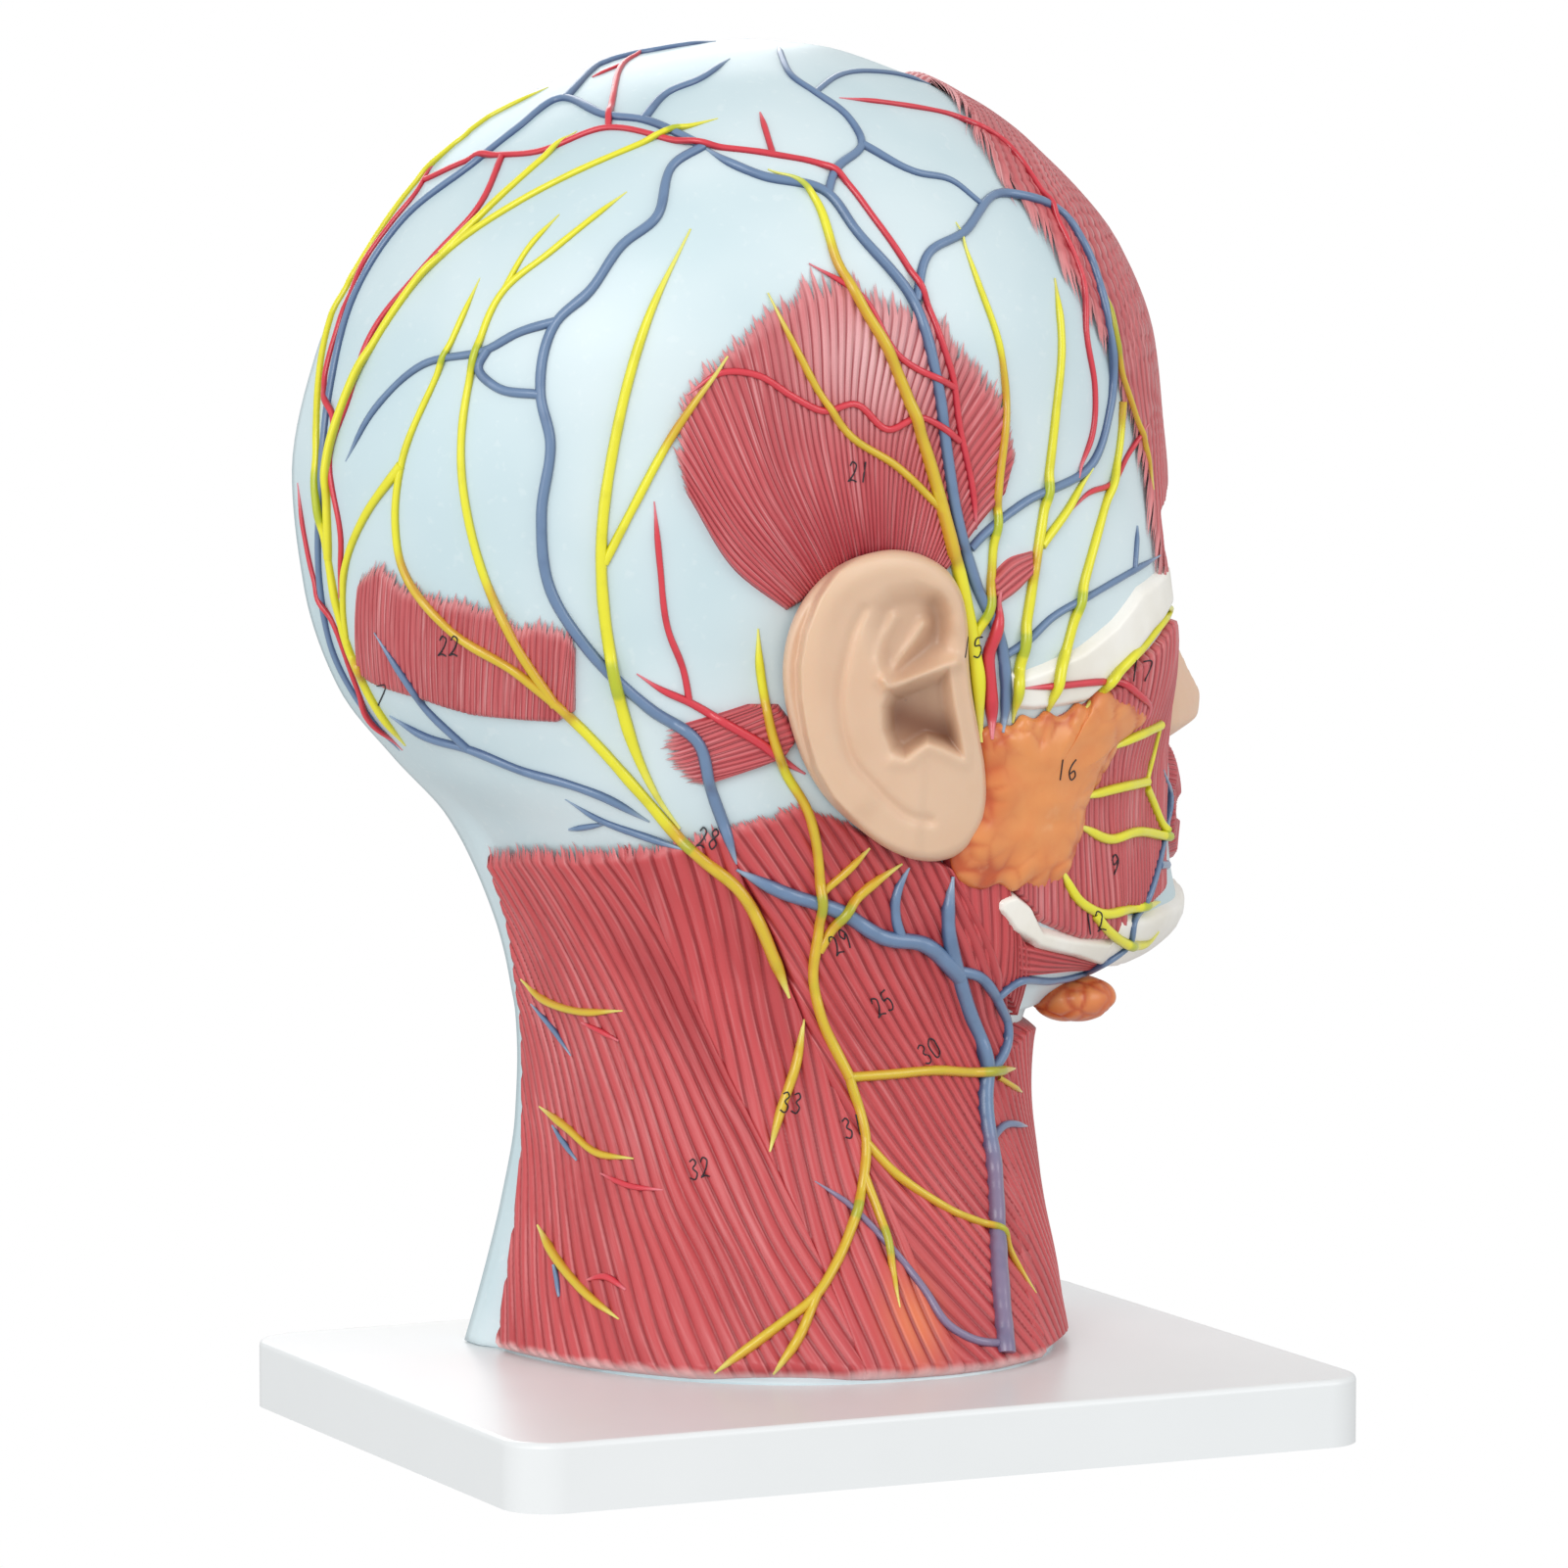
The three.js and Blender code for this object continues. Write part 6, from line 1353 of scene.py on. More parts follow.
frontal_artery = [
    (857, 100), (922, 108), (972, 118), (1018, 139), (1063, 195), (1083, 232), (1106, 288), (1109, 345),
    (1117, 395), (1115, 441), (1098, 488),
]
strands("forehead_and_face_arteries", "artery", ["frontal_artery"], [
    (frontal_artery, twig_radius, artery_radius),
    ([(1173, 433), (1151, 464), (1132, 496), (1113, 502), (1094, 521)], twig_radius, twig_radius),
    ([(1043, 703), (1082, 700), (1124, 696), (1144, 696), (1163, 710), (1175, 722), (1172, 734)],
     artery_radius, artery_radius * 1.2),
])

# Nerves: moulded cords painted lemon on the scalp, amber where they run over muscle and green where the
# paint of a vein below shows through. The facial nerve comes out from under the parotid gland.
cord_paint(
    "nerve", "nerve_yellow", rgb(192, 186, 30), rgb(232, 227, 46), rgb(228, 228, 130),
    over_muscle=rgb(204, 152, 40), over_vein=rgb(140, 170, 40),
)
facial_nerve = strands("facial_nerve_fan", "nerve", ["facial_nerve"], [
    ([(1077, 284), (1083, 353), (1077, 422), (1069, 491), (1053, 599), (1038, 698), (1034, 738)],
     nerve_radius * 0.8, nerve_radius * 1.2),
    ([(1146, 410), (1140, 468), (1125, 525), (1106, 594), (1079, 695), (1068, 732)],
     nerve_radius * 0.8, nerve_radius * 1.2),
    ([(1112, 478), (1089, 521), (1063, 557)], nerve_radius * 0.8, nerve_radius),
    ([(1196, 622), (1161, 665), (1124, 703), (1108, 724)], nerve_radius * 0.9, nerve_radius * 1.2),
    ([(1125, 292), (1140, 364), (1158, 420), (1171, 462), (1178, 500)], twig_radius, twig_radius),
    ([(1184, 740), (1167, 748), (1141, 760), (1128, 768)], nerve_radius, nerve_radius),
    ([(1170, 798), (1138, 805), (1108, 813), (1100, 815)], nerve_radius, nerve_radius),
    ([(1190, 854), (1161, 849), (1132, 857), (1106, 845), (1097, 841)], nerve_radius, nerve_radius),
    ([(1170, 804), (1188, 848)], nerve_radius * 0.9, nerve_radius * 0.9),
    ([(1184, 740), (1170, 798)], twig_radius, twig_radius),
    ([(1184, 921), (1155, 927), (1126, 933), (1103, 921), (1086, 893), (1081, 880)],
     nerve_radius, nerve_radius),
    ([(1117, 933), (1132, 951), (1152, 964), (1173, 962), (1183, 951)], nerve_radius, nerve_radius),
], surface=bare_surface)

greater_main = [
    (490, 284), (448, 380), (410, 475), (404, 531), (411, 579), (459, 643), (529, 688), (586, 736),
    (656, 812), (698, 860), (715, 876), (752, 906), (793, 986), (806, 1019),
]
greater_edge = [
    (560, 89), (483, 130), (442, 159), (378, 239), (336, 334), (324, 443), (336, 570), (355, 656),
    (388, 726), (414, 761),
]
greater_top = [
    (733, 121), (686, 135), (643, 152), (586, 177), (529, 207), (452, 261), (414, 303), (356, 406),
    (338, 465), (336, 570),
]
greater_nerve = strands("greater_occipital_nerves", "nerve", ["greater_occipital_nerve"], [
    (greater_main, twig_radius, nerve_radius * 1.3),
    ([(410, 475), (372, 529), (356, 567), (351, 620), (355, 656)], nerve_radius, twig_radius),
    (greater_edge, twig_radius, nerve_radius),
    (greater_top, twig_radius, nerve_radius),
    ([(640, 196), (605, 223), (563, 257), (513, 299), (483, 376), (471, 464), (484, 554), (525, 656),
      (567, 720)], twig_radius, nerve_radius),
    ([(571, 219), (540, 253), (513, 299)], twig_radius, twig_radius),
    ([(589, 134), (548, 168), (504, 208), (452, 261)], twig_radius, nerve_radius * 0.9),
])

lesser_nerve = strands("lesser_occipital_nerves", "nerve", ["lesser_occipital_nerve"], [
    ([(705, 234), (663, 322), (628, 449), (614, 556), (629, 697), (653, 777), (672, 815), (694, 846)],
     nerve_radius * 0.9, nerve_radius * 1.3),
    ([(743, 364), (682, 452), (647, 517), (617, 575)], nerve_radius * 0.8, nerve_radius * 0.9),
], tip=30 * mm)

auricular_nerve = [
    (774, 642), (775, 675), (783, 726), (798, 782), (824, 827), (837, 904), (836, 945), (830, 1000),
    (838, 1038), (867, 1100),
]
neck_nerves = strands("neck_plexus_nerves", "nerve", ["great_auricular_nerve"], [
    (auricular_nerve, nerve_radius * 0.9, nerve_radius * 1.1),
    ([(888, 866), (864, 890), (838, 912)], nerve_radius * 0.8, nerve_radius * 0.8),
    ([(921, 882), (889, 904), (860, 932), (836, 971)], nerve_radius, nerve_radius),
    ([(867, 1100), (908, 1097), (956, 1093), (1000, 1095), (1036, 1091)], nerve_radius, nerve_radius),
    ([(867, 1100), (884, 1167), (880, 1211), (852, 1293), (834, 1322), (797, 1352), (730, 1402)],
     nerve_radius, nerve_radius),
    ([(834, 1322), (815, 1367), (790, 1403)], nerve_radius, nerve_radius),
    ([(884, 1167), (908, 1193), (967, 1234), (1023, 1263), (1037, 1289), (1058, 1320)],
     nerve_radius, twig_radius),
    ([(882, 1200), (899, 1245), (919, 1335)], nerve_radius, twig_radius),
    ([(1019, 1100), (1043, 1115)], twig_radius, twig_radius),
])

spinal_accessory = strands("accessory_nerve_run", "nerve", ["accessory_nerve"], [
    ([(821, 1041), (812, 1089), (797, 1134), (786, 1176)], nerve_radius, nerve_radius),
])

temple_nerves = strands("ear_and_temple_nerves", "nerve", ["auriculotemporal_nerve"], [
    ([(784, 173), (822, 192), (857, 273), (914, 376), (945, 460), (968, 544), (991, 648), (1002, 758)],
     nerve_radius * 0.8, nerve_radius * 1.6),
    ([(784, 299), (811, 353), (842, 410), (868, 445), (914, 475), (962, 521)],
     nerve_radius * 0.7, nerve_radius * 0.8),
    ([(976, 227), (998, 288), (1021, 357), (1027, 418), (1020, 490), (1014, 552), (1004, 630), (993, 653)],
     twig_radius, nerve_radius),
], tip=16 * mm)

# Short ends of nerves, veins and arteries that come out through the trapezius: moulded cords in three
# groups down the nape, painted like the long ones.
strands("nape_nerve_ends", "nerve", [], [
    ([(532, 1000), (553, 1019), (587, 1032), (636, 1032)], nerve_radius * 0.9, nerve_radius * 0.7),
    ([(551, 1130), (579, 1151), (609, 1177), (647, 1183)], nerve_radius * 0.9, nerve_radius * 0.7),
    ([(549, 1251), (572, 1290), (602, 1324), (632, 1347)], nerve_radius * 1.1, nerve_radius * 0.8),
])
strands("nape_vein_ends", "vein", [], [
    ([(542, 1025), (564, 1049), (583, 1078)], twig_radius, twig_radius),
    ([(564, 1149), (577, 1168), (589, 1185)], twig_radius, twig_radius),
    ([(568, 1292), (571, 1324)], twig_radius, twig_radius),
])
strands("nape_artery_ends", "artery", [], [
    ([(594, 1044), (612, 1052), (632, 1063)], twig_radius, twig_radius),
    ([(613, 1198), (643, 1211), (677, 1215)], twig_radius, twig_radius),
    ([(600, 1307), (617, 1303), (639, 1317)], artery_radius, artery_radius),
])

# Ear: a soft skin coloured casting, low in front and standing off the head behind, with a rolled rim, a
# forked inner ridge and a deep bowl. Its forms follow the ear of the photograph, in its own points.
ear_rise = 14 * mm
ear_front_rise = 6 * mm
ear_thickness = 2.8 * mm
ear_rim = [
    (912, 561), (886, 565), (862, 574), (837, 592), (817, 617), (804, 648), (799, 680), (801, 714),
    (809, 748), (822, 782), (843, 815), (875, 845), (906, 867), (934, 878), (961, 879), (985, 869),
    (1003, 844), (1008, 815), (1006, 782), (999, 744), (992, 702), (989, 670), (988, 636), (981, 604),
    (968, 583), (943, 567),
]
front_rim = [
    (912, 556), (880, 560), (852, 580), (832, 610), (819, 645), (813, 680), (814, 716), (820, 752),
    (830, 786), (848, 818), (878, 850), (906, 872), (936, 886), (964, 886), (992, 876), (1012, 846),
    (1018, 815), (1014, 780), (1007, 744), (1000, 702), (997, 670), (996, 636), (989, 604), (974, 578),
    (943, 560),
]
helix_crest = [
    (976, 634), (967, 605), (945, 586), (915, 580), (884, 587), (858, 606), (842, 634), (835, 668),
    (835, 706), (842, 746), (856, 784), (878, 818),
]
helix_step = [
    (883, 622), (872, 643), (865, 668), (859, 696), (858, 724), (862, 751), (872, 779), (888, 797),
    (908, 818), (930, 834), (950, 838),
]
upper_bowl = [
    (886, 640), (890, 616), (908, 602), (936, 597), (959, 606), (973, 627), (975, 650), (972, 668),
    (942, 684), (912, 696), (900, 694), (890, 670),
]
bowl_pit = [(957, 620), (956, 642), (944, 664), (920, 684)]
outer_crus = [(913, 630), (901, 654), (897, 676), (902, 692)]
inner_crus = [(943, 637), (929, 659), (915, 678), (903, 694)]
helix_crus = [(976, 677), (942, 689), (908, 702)]
tragus = [(972, 690), (978, 728), (987, 768)]
antitragus = [(912, 778), (926, 779), (946, 763), (966, 770), (984, 779)]
concha = [
    (968, 684), (935, 696), (908, 706), (902, 722), (903, 746), (911, 766), (924, 772), (934, 765),
    (947, 757), (962, 762), (983, 772), (979, 748), (973, 718),
]
# Each form's line, how high it rises (or sinks) and its half width in the photograph's points
ear_forms = [
    (helix_crest, 1.1 * mm, 15),
    (helix_step, -1.3 * mm, 5),
    (bowl_pit, -2.0 * mm, 12),
    (outer_crus, 1.2 * mm, 5.5),
    (inner_crus, 2.0 * mm, 5.5),
    (helix_crus, 2.6 * mm, 7),
    (tragus, 0.8 * mm, 6),
    (antitragus, 0.8 * mm, 7),
]
bowl_depth = 3.4 * mm
ear_dip = 1.6 * mm
ear_gap = 3.4 * mm
ear_least = 0.8 * mm
ear_sunk = 0.4 * mm
floor_least = 1.0 * mm
floor_rise = 1.6 * mm
ear_edge_from = 0.93
ear_edge_drop = 4.2 * mm
ear_root = 0.62
ear_rings = np.concatenate([np.linspace(0, 0.8, 48), np.linspace(0.815, 1, 24)])


def apart_from(points, line):
    """Distance of each point to a line of straight stretches."""
    least = np.full(points.shape[:-1], np.inf)
    for a, b in zip(np.array(line, float)[:-1], np.array(line, float)[1:]):
        share = np.clip(np.sum((points - a) * (b - a), axis=-1) / np.sum((b - a) ** 2), 0, 1)
        least = np.minimum(least, np.linalg.norm(points - a - share[..., None] * (b - a), axis=-1))
    return least


def within(points, rim):
    """Whether each point is inside a closed outline."""
    inside = np.zeros(points.shape[:-1], bool)
    for (ax, ay), (bx, by) in zip(rim, rim[1:] + rim[:1]):
        crosses = (ay > points[..., 1]) != (by > points[..., 1])
        inside ^= crosses & (points[..., 0] < ax + (bx - ax) * (points[..., 1] - ay) / (by - ay + 1e-9))
    return inside


def ridge(points, line, width):
    line = smooth_line([(x, y, 0) for x, y in line], step=6)[:, :2]
    return np.exp(-((apart_from(points, line) / width) ** 2))


ear_pixels = outline_grid(ear_rim, (925, 715), 260, ear_rings)
ear_left = min(x for x, _ in ear_rim)
ear_right = max(x for x, _ in ear_rim)
ear_stand = np.interp(ear_pixels[..., 0], (ear_left, ear_right), (ear_rise, ear_front_rise))


def hollowed(rim, soft_from, soft_to):
    """How far each point of the ear is inside a closed outline, from 0 to 1 over a soft edge."""
    edge = apart_from(ear_pixels, rim + rim[:1])
    return smoothstep(np.where(within(ear_pixels, rim), edge, -edge), soft_from, soft_to)


concha_depth = hollowed(concha, -4, 12)
relief = 0
for line, height, width in ear_forms[:2]:
    relief = relief + height * ridge(ear_pixels, line, width)
relief -= bowl_depth * hollowed(upper_bowl, -7, 20)
for line, height, width in ear_forms[2:]:
    relief += height * ridge(ear_pixels, line, width)
concha_floor = floor_least + floor_rise * ridge(ear_pixels, [(955, 695), (966, 720)], 18)
ear_height = (ear_stand - ear_dip + relief) * (1 - concha_depth) + concha_floor * concha_depth
ear_height -= 0.42 * ear_stand * (1 - hollowed(front_rim, -1, 6))
edge_share = np.clip((ear_rings[:, None] - ear_edge_from) / (1 - ear_edge_from), 0, 1)
ear_height = ear_height - ear_edge_drop * (1 - np.sqrt(1 - edge_share**2 * 0.999))
behind = np.where(ear_rings[:, None] > ear_root, ear_stand - ear_thickness - ear_gap, 0)
ear_back_height = ear_sunk + np.maximum(behind, 0) * smoothstep(ear_rings[:, None], ear_root, 0.9)
ear_back_height = np.minimum(ear_back_height, ear_height - ear_least)
ear_places = seen_grid(ear_pixels, guide)
ear_rays = np.array([picture_ray(p)[:] for p in ear_pixels.reshape(-1, 2)]).reshape(ear_places.shape)
ear = closed_slab(
    "outer_ear",
    ear_places - ear_rays * ear_height[..., None],
    ear_places - ear_rays * ear_back_height[..., None],
    closed=True,
)
# Painted shade: the concha and the upper bowl are painted darker where shade falls, least over the crura.
concha_shade = 0.42 + 0.5 * ridge(ear_pixels, [(920, 732), (945, 742), (966, 752)], 20)
bowl_shade = 0.19 * hollowed(upper_bowl, 0, 18) + 0.26 * ridge(ear_pixels, bowl_pit, 15)
bowl_shade *= 1 - 0.8 * np.maximum(ridge(ear_pixels, inner_crus, 6), ridge(ear_pixels, outer_crus, 6))
painted_hollow_shade = np.clip(concha_depth * concha_shade + bowl_shade, 0, 1)
keep_values(ear, "painted_hollow_shade", np.tile(painted_hollow_shade, (2, 1)))
soften = ear.modifiers.new("soften", "SMOOTH")
soften.iterations = 3
soften.factor = 0.5
settled(ear)

skin_paint = Paint("skin_tan")
pore = skin_paint.grain(700, 700, 2, on_strip=False)
blush = skin_paint.grain(45, 45, 3, on_strip=False)
tan = skin_paint.mixed(blush.between(0.35, 0.7) * 0.4, rgb(231, 193, 163), rgb(221, 177, 144))
# Painted shade in the ear's hollows: the tan turns dark brown by the stored share.
tan = skin_paint.mixed(skin_paint.attribute("painted_hollow_shade") * 0.95, tan, rgb(116, 62, 34))
skin_paint.bumped(pore, 0.08 * mm, 0.3)
skin_tan = skin_paint.finished(
    Base_Color=tan, Roughness=pore * 0.12 + 0.34, Subsurface_Weight=0.08, Coat_Weight=0.12,
    Coat_Roughness=0.3,
)
piece(ear, "outer_ear", skin_tan, "skin_tan", "ear")

# Nose and eyeball: the nose is a plain half nose of no one's in particular, cast in the ear's colour. The
# eyeball is a painted ball that sits in its socket.
def copied(node, name, voxel, smooth_passes):
    """A CAD piece's shape as a new mesh with even small faces and soft edges."""
    made = placed(name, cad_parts[node].data.copy())
    even_faces = made.modifiers.new("even_faces", "REMESH")
    even_faces.mode = "VOXEL"
    even_faces.voxel_size = voxel
    soft = made.modifiers.new("soft", "SMOOTH")
    soft.iterations = smooth_passes
    soft.factor = 0.6
    return settled(made)


nose = copied("nose", "half_nose", 0.9 * mm, 6)
nose_low, nose_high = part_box("nose")
nose_x = points_of(nose)[:, 0]
nose_share = (nose_x - nose_x.min()) / np.ptp(nose_x)
nose_sunk = 1.2 * mm
for vertex, share in zip(nose.data.vertices, nose_share):
    vertex.co.x = nose_low.x - nose_sunk + share * (nose_high.x - nose_low.x + nose_sunk)
keep_values(nose, "painted_hollow_shade", np.zeros(len(nose.data.vertices)))
piece(nose, "half_nose", skin_tan, "skin_tan", "nose")

eye_low, eye_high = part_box("eyeball")
ball_middle = (eye_low + eye_high) / 2
ball_radius = (eye_high.z - eye_low.z) / 2
bpy.ops.mesh.primitive_uv_sphere_add(segments=64, ring_count=40, radius=ball_radius, location=ball_middle)
eye = settled(bpy.context.object)
gaze = Vector((1, -0.12, 0)).normalized()
off_gaze = [math.degrees(gaze.angle(v.co - ball_middle)) for v in eye.data.vertices]
keep_values(eye, "off_gaze", off_gaze)
eye_paint = Paint("eye_white")
ring = eye_paint.attribute("off_gaze")
spokes = eye_paint.grain(900, 900, 3, on_strip=False)
iris = eye_paint.mixed(spokes.between(0.35, 0.65), rgb(70, 92, 112), rgb(120, 142, 158))
iris = eye_paint.mixed(ring.between(13, 11), iris, rgb(14, 14, 16))
iris = eye_paint.mixed(ring.between(25, 28), iris, rgb(60, 66, 76))
white = eye_paint.mixed(ring.between(28, 30), iris, rgb(244, 241, 236))
piece(
    eye, "glass_eye",
    eye_paint.finished(Base_Color=white, Roughness=0.12, Coat_Weight=0.5, Coat_Roughness=0.04),
    "eye_white", "eyeball",
)

# Ink numbers: plain numbers of the parts, written by hand on the finished paint with a fine black pen.
# Each digit is one stroke through points of a box that is 1 wide and 1 high.
digit_strokes = {
    "0": [(0.5, 1), (0.15, 0.8), (0.1, 0.4), (0.35, 0), (0.7, 0.1), (0.85, 0.5), (0.75, 0.9), (0.5, 1)],
    "1": [(0.5, 1), (0.45, 0.5), (0.4, 0)],
    "2": [
        (0.1, 0.8), (0.35, 1), (0.7, 0.88), (0.65, 0.55), (0.3, 0.2), (0.05, 0.05), (0.4, 0.12), (0.9, 0.02),
    ],
    "3": [(0.1, 0.9), (0.5, 1), (0.75, 0.8), (0.4, 0.55), (0.8, 0.3), (0.5, 0), (0.05, 0.12)],
    "5": [(0.85, 1), (0.3, 0.95), (0.22, 0.56), (0.6, 0.6), (0.8, 0.3), (0.5, 0), (0.1, 0.08)],
    "6": [(0.7, 1), (0.3, 0.7), (0.12, 0.3), (0.4, 0), (0.75, 0.2), (0.6, 0.45), (0.2, 0.3)],
    "7": [(0.1, 0.95), (0.8, 1), (0.4, 0)],
    "8": [
        (0.5, 0.55), (0.2, 0.8), (0.5, 1), (0.8, 0.8), (0.5, 0.55), (0.15, 0.25), (0.5, 0), (0.85, 0.25),
        (0.5, 0.55),
    ],
    "9": [(0.75, 0.72), (0.45, 0.5), (0.2, 0.75), (0.5, 1), (0.78, 0.8), (0.7, 0.3), (0.5, 0)],
}
# Each number, its middle in the photograph and how it leans, in degrees
written = [
    ("21", 877, 482, 0), ("22", 458, 660, 0), ("28", 723, 856, -8), ("29", 858, 962, 35),
    ("25", 901, 1025, 35), ("30", 949, 1073, 35), ("31", 871, 1150, 20), ("33", 808, 1126, -5),
    ("32", 714, 1193, 10), ("16", 1090, 786, 0), ("15", 993, 661, 0), ("12", 1118, 942, 15),
    ("9", 1138, 883, 0), ("17", 1165, 685, 0), ("7", 388, 710, 0),
]
pen_tall = 21
pen_wide = 10
pen_pitch = 1.15
pen_slant = 0.18
pen_radius = 0.17 * mm
laid_cords = (
    external_jugular, auricular_vein, temporal_veins, greater_nerve, lesser_nerve, neck_nerves,
    spinal_accessory, temple_nerves, facial_nerve,
)
top_surface = surface_of(skull, *muscles, parotid, ear, *laid_cords)
pen = round_curve("ink", pen_radius, 1)
for digits, across, down, lean in written:
    level = np.array([math.cos(math.radians(lean)), -math.sin(math.radians(lean)), 0])
    upright = np.array([level[1], -level[0], 0])
    for place, digit in enumerate(digits):
        left = (place - len(digits) / 2) * pen_wide * pen_pitch
        corners = []
        for x, y in digit_strokes[digit]:
            from_left = left + (x + y * pen_slant) * pen_wide
            corners.append(np.array([across, down, 0]) + level * from_left + upright * (y - 0.5) * pen_tall)
        stroke = [seen(p, top_surface) for p in smooth_line(corners, step=1.5)]
        raised = [tuple(p - picture_ray((across, down)) * 0.1 * mm) for p in stroke]
        add_line(pen, raised, np.ones(len(raised)))
ink = settled(placed("ink", pen))
ink_paint = Paint("pen_ink").finished(Base_Color=rgb(34, 32, 40), Roughness=0.45)
piece(ink, "ink_numbers", ink_paint, "foot_rubber")

# Section plate: the cut face of the head, with sawn bone round the brain, the lining of the nose and throat
# and the muscle of the neck painted on it.
plate = copied("section_plate", "section_face", 1.0 * mm, 2)
plate_points = points_of(plate) - head_origin
plate_x = plate_points[:, 0] / head_length
plate_up = plate_points[:, 2] / head_height
ragged = 0.012 * noises(plate_x * 60, plate_up * 80, seed=4)
lining = smoothstep(0.16 - np.hypot((plate_x - 0.3) * 0.9, (plate_up - 0.485) * 2.1) + ragged, 0, 0.015)
throat = smoothstep(0.055 - np.abs(plate_x - 0.085 + (0.4 - plate_up) * 0.1) + ragged, 0, 0.01)
lining = np.maximum(lining, throat * smoothstep(0.47 - plate_up, 0, 0.02) * smoothstep(plate_up, 0.1, 0.14))
meat = smoothstep(-0.125 - plate_x + ragged, 0, 0.012) * smoothstep(0.385 - plate_up + ragged, 0, 0.012)
chin = smoothstep(plate_x - 0.13 + ragged, 0, 0.012) * smoothstep(0.3 - plate_up + ragged, 0, 0.012)
keep_values(plate, "lining", lining)
keep_values(plate, "meat", np.maximum(meat, chin))
cut_paint = Paint("section_paint")
spongy = cut_paint.grain(1000, 1000, 3, on_strip=False)
cloudy = cut_paint.grain(50, 50, 3, on_strip=False)
cut_colour = cut_paint.mixed(spongy.between(0.48, 0.64) * 0.45, rgb(240, 228, 204), rgb(208, 158, 128))
cut_colour = cut_paint.mixed(cut_paint.attribute("meat"), cut_colour, rgb(188, 88, 90))
cut_colour = cut_paint.mixed(cut_paint.attribute("lining"), cut_colour, rgb(222, 150, 142))
cut_colour = cut_paint.mixed(cloudy.between(0.35, 0.7) * 0.25, cut_colour, rgb(200, 120, 104))
cut_paint.bumped(spongy, 0.2 * mm, 0.4)
piece(
    plate, "section_face",
    cut_paint.finished(Base_Color=cut_colour, Roughness=cloudy * 0.2 + 0.35, Coat_Weight=0.15),
    "bone_cream", "section_plate",
)

# Brain half: cerebrum, callosum, cerebellum and brainstem, cast in soft pink vinyl as one lift-out part.
# The folds of the cerebrum wind over its whole surface; those of the cerebellum are fine and parallel.
brain_paint = Paint("brain_pink")
fold = brain_paint.attribute("fold")
brain_mottle = brain_paint.grain(90, 90, 4, on_strip=False)
brain_colour = brain_paint.mixed(
    brain_mottle.between(0.4, 0.7) * 0.35, rgb(236, 200, 184), rgb(224, 170, 156)
)
# Painted shade in the folds of the cerebrum and the grooves of the cerebellum, darker the deeper they lie.
brain_colour = brain_paint.mixed(fold.between(0.08, 0.9), brain_colour, rgb(176, 104, 98))
brain_colour = brain_paint.mixed(brain_paint.attribute("tree"), brain_colour, rgb(246, 230, 206))
brain_paint.bumped(brain_mottle, 0.3 * mm, 0.3)
brain_pink = brain_paint.finished(
    Base_Color=brain_colour, Roughness=brain_mottle * 0.2 + 0.3, Coat_Weight=0.25, Coat_Roughness=0.2,
    Subsurface_Weight=0.05,
)


def grooved(obj, groove, depth):
    """Sinks grooves into a body: 1 in the middle of a groove and 0 between them."""
    points = points_of(obj)
    normals = np.array([v.normal[:] for v in obj.data.vertices])
    share = groove(points - head_origin, normals)
    sunk = points - normals * (depth * share)[:, None]
    obj.data.vertices.foreach_set("co", sunk.astype(np.float32).reshape(-1))
    keep_values(obj, "fold", share)
    obj.data.update()
    return obj


def shaded_hollows(obj, full):
    """Stores how far each point lies under a smoothed copy of the body, as a share of the full depth, for
    the painted shade in the folds.
    """
    smoothed = placed("smoothed", obj.data.copy())
    worn = smoothed.modifiers.new("worn", "SMOOTH")
    worn.iterations = 60
    worn.factor = 0.8
    settled(smoothed)
    above = points_of(smoothed) - points_of(obj)
    normals = np.array([v.normal[:] for v in obj.data.vertices])
    obj.data.attributes.remove(obj.data.attributes["fold"])
    keep_values(obj, "fold", np.clip(np.sum(above * normals, axis=1) / full, 0, 1))
    bpy.data.objects.remove(smoothed)


fold_waves = 30
fold_length = 17 * mm
fold_floor = 0.1 * mm
fold_reach = 1.7 * mm
golden_turn = math.pi * (3 - math.sqrt(5))
wave_order = np.arange(fold_waves)
wave_up = 1 - (2 * wave_order + 1) / fold_waves
wave_flat = np.sqrt(1 - wave_up**2)
wave_turn = golden_turn * wave_order
wave_ways = np.stack([wave_flat * np.cos(wave_turn), wave_flat * np.sin(wave_turn), wave_up], axis=-1)
wave_ways = wave_ways * (2 * math.pi / fold_length)
wave_starts = golden_turn * wave_order**2


def winding(points, normals):
    """Thin lines that wind between folds of about even width, where waves from all sides cancel out."""
    phase = points @ wave_ways.T + wave_starts
    slope = np.sin(phase) @ wave_ways
    slope -= normals * np.sum(slope * normals, axis=1, keepdims=True)
    off_line = np.abs(np.cos(phase).sum(axis=1)) / (np.linalg.norm(slope, axis=1) + 1)
    return 1 - smoothstep(off_line, fold_floor, fold_reach)


leaf_middle = np.array([-0.13 * head_length, 0.478 * head_height])
leaf_pitch = 2 * mm
outer_wave = 14 * mm
cut_wave = 9 * mm
leaves_from = (17 * mm, 22 * mm)
cut_depth = 6 * mm
limb_ways = [(118, 24 * mm), (142, 31 * mm), (164, 36 * mm), (186, 36 * mm), (208, 31 * mm), (234, 24 * mm)]
twig_turn = 38
twig_length = 5.5 * mm


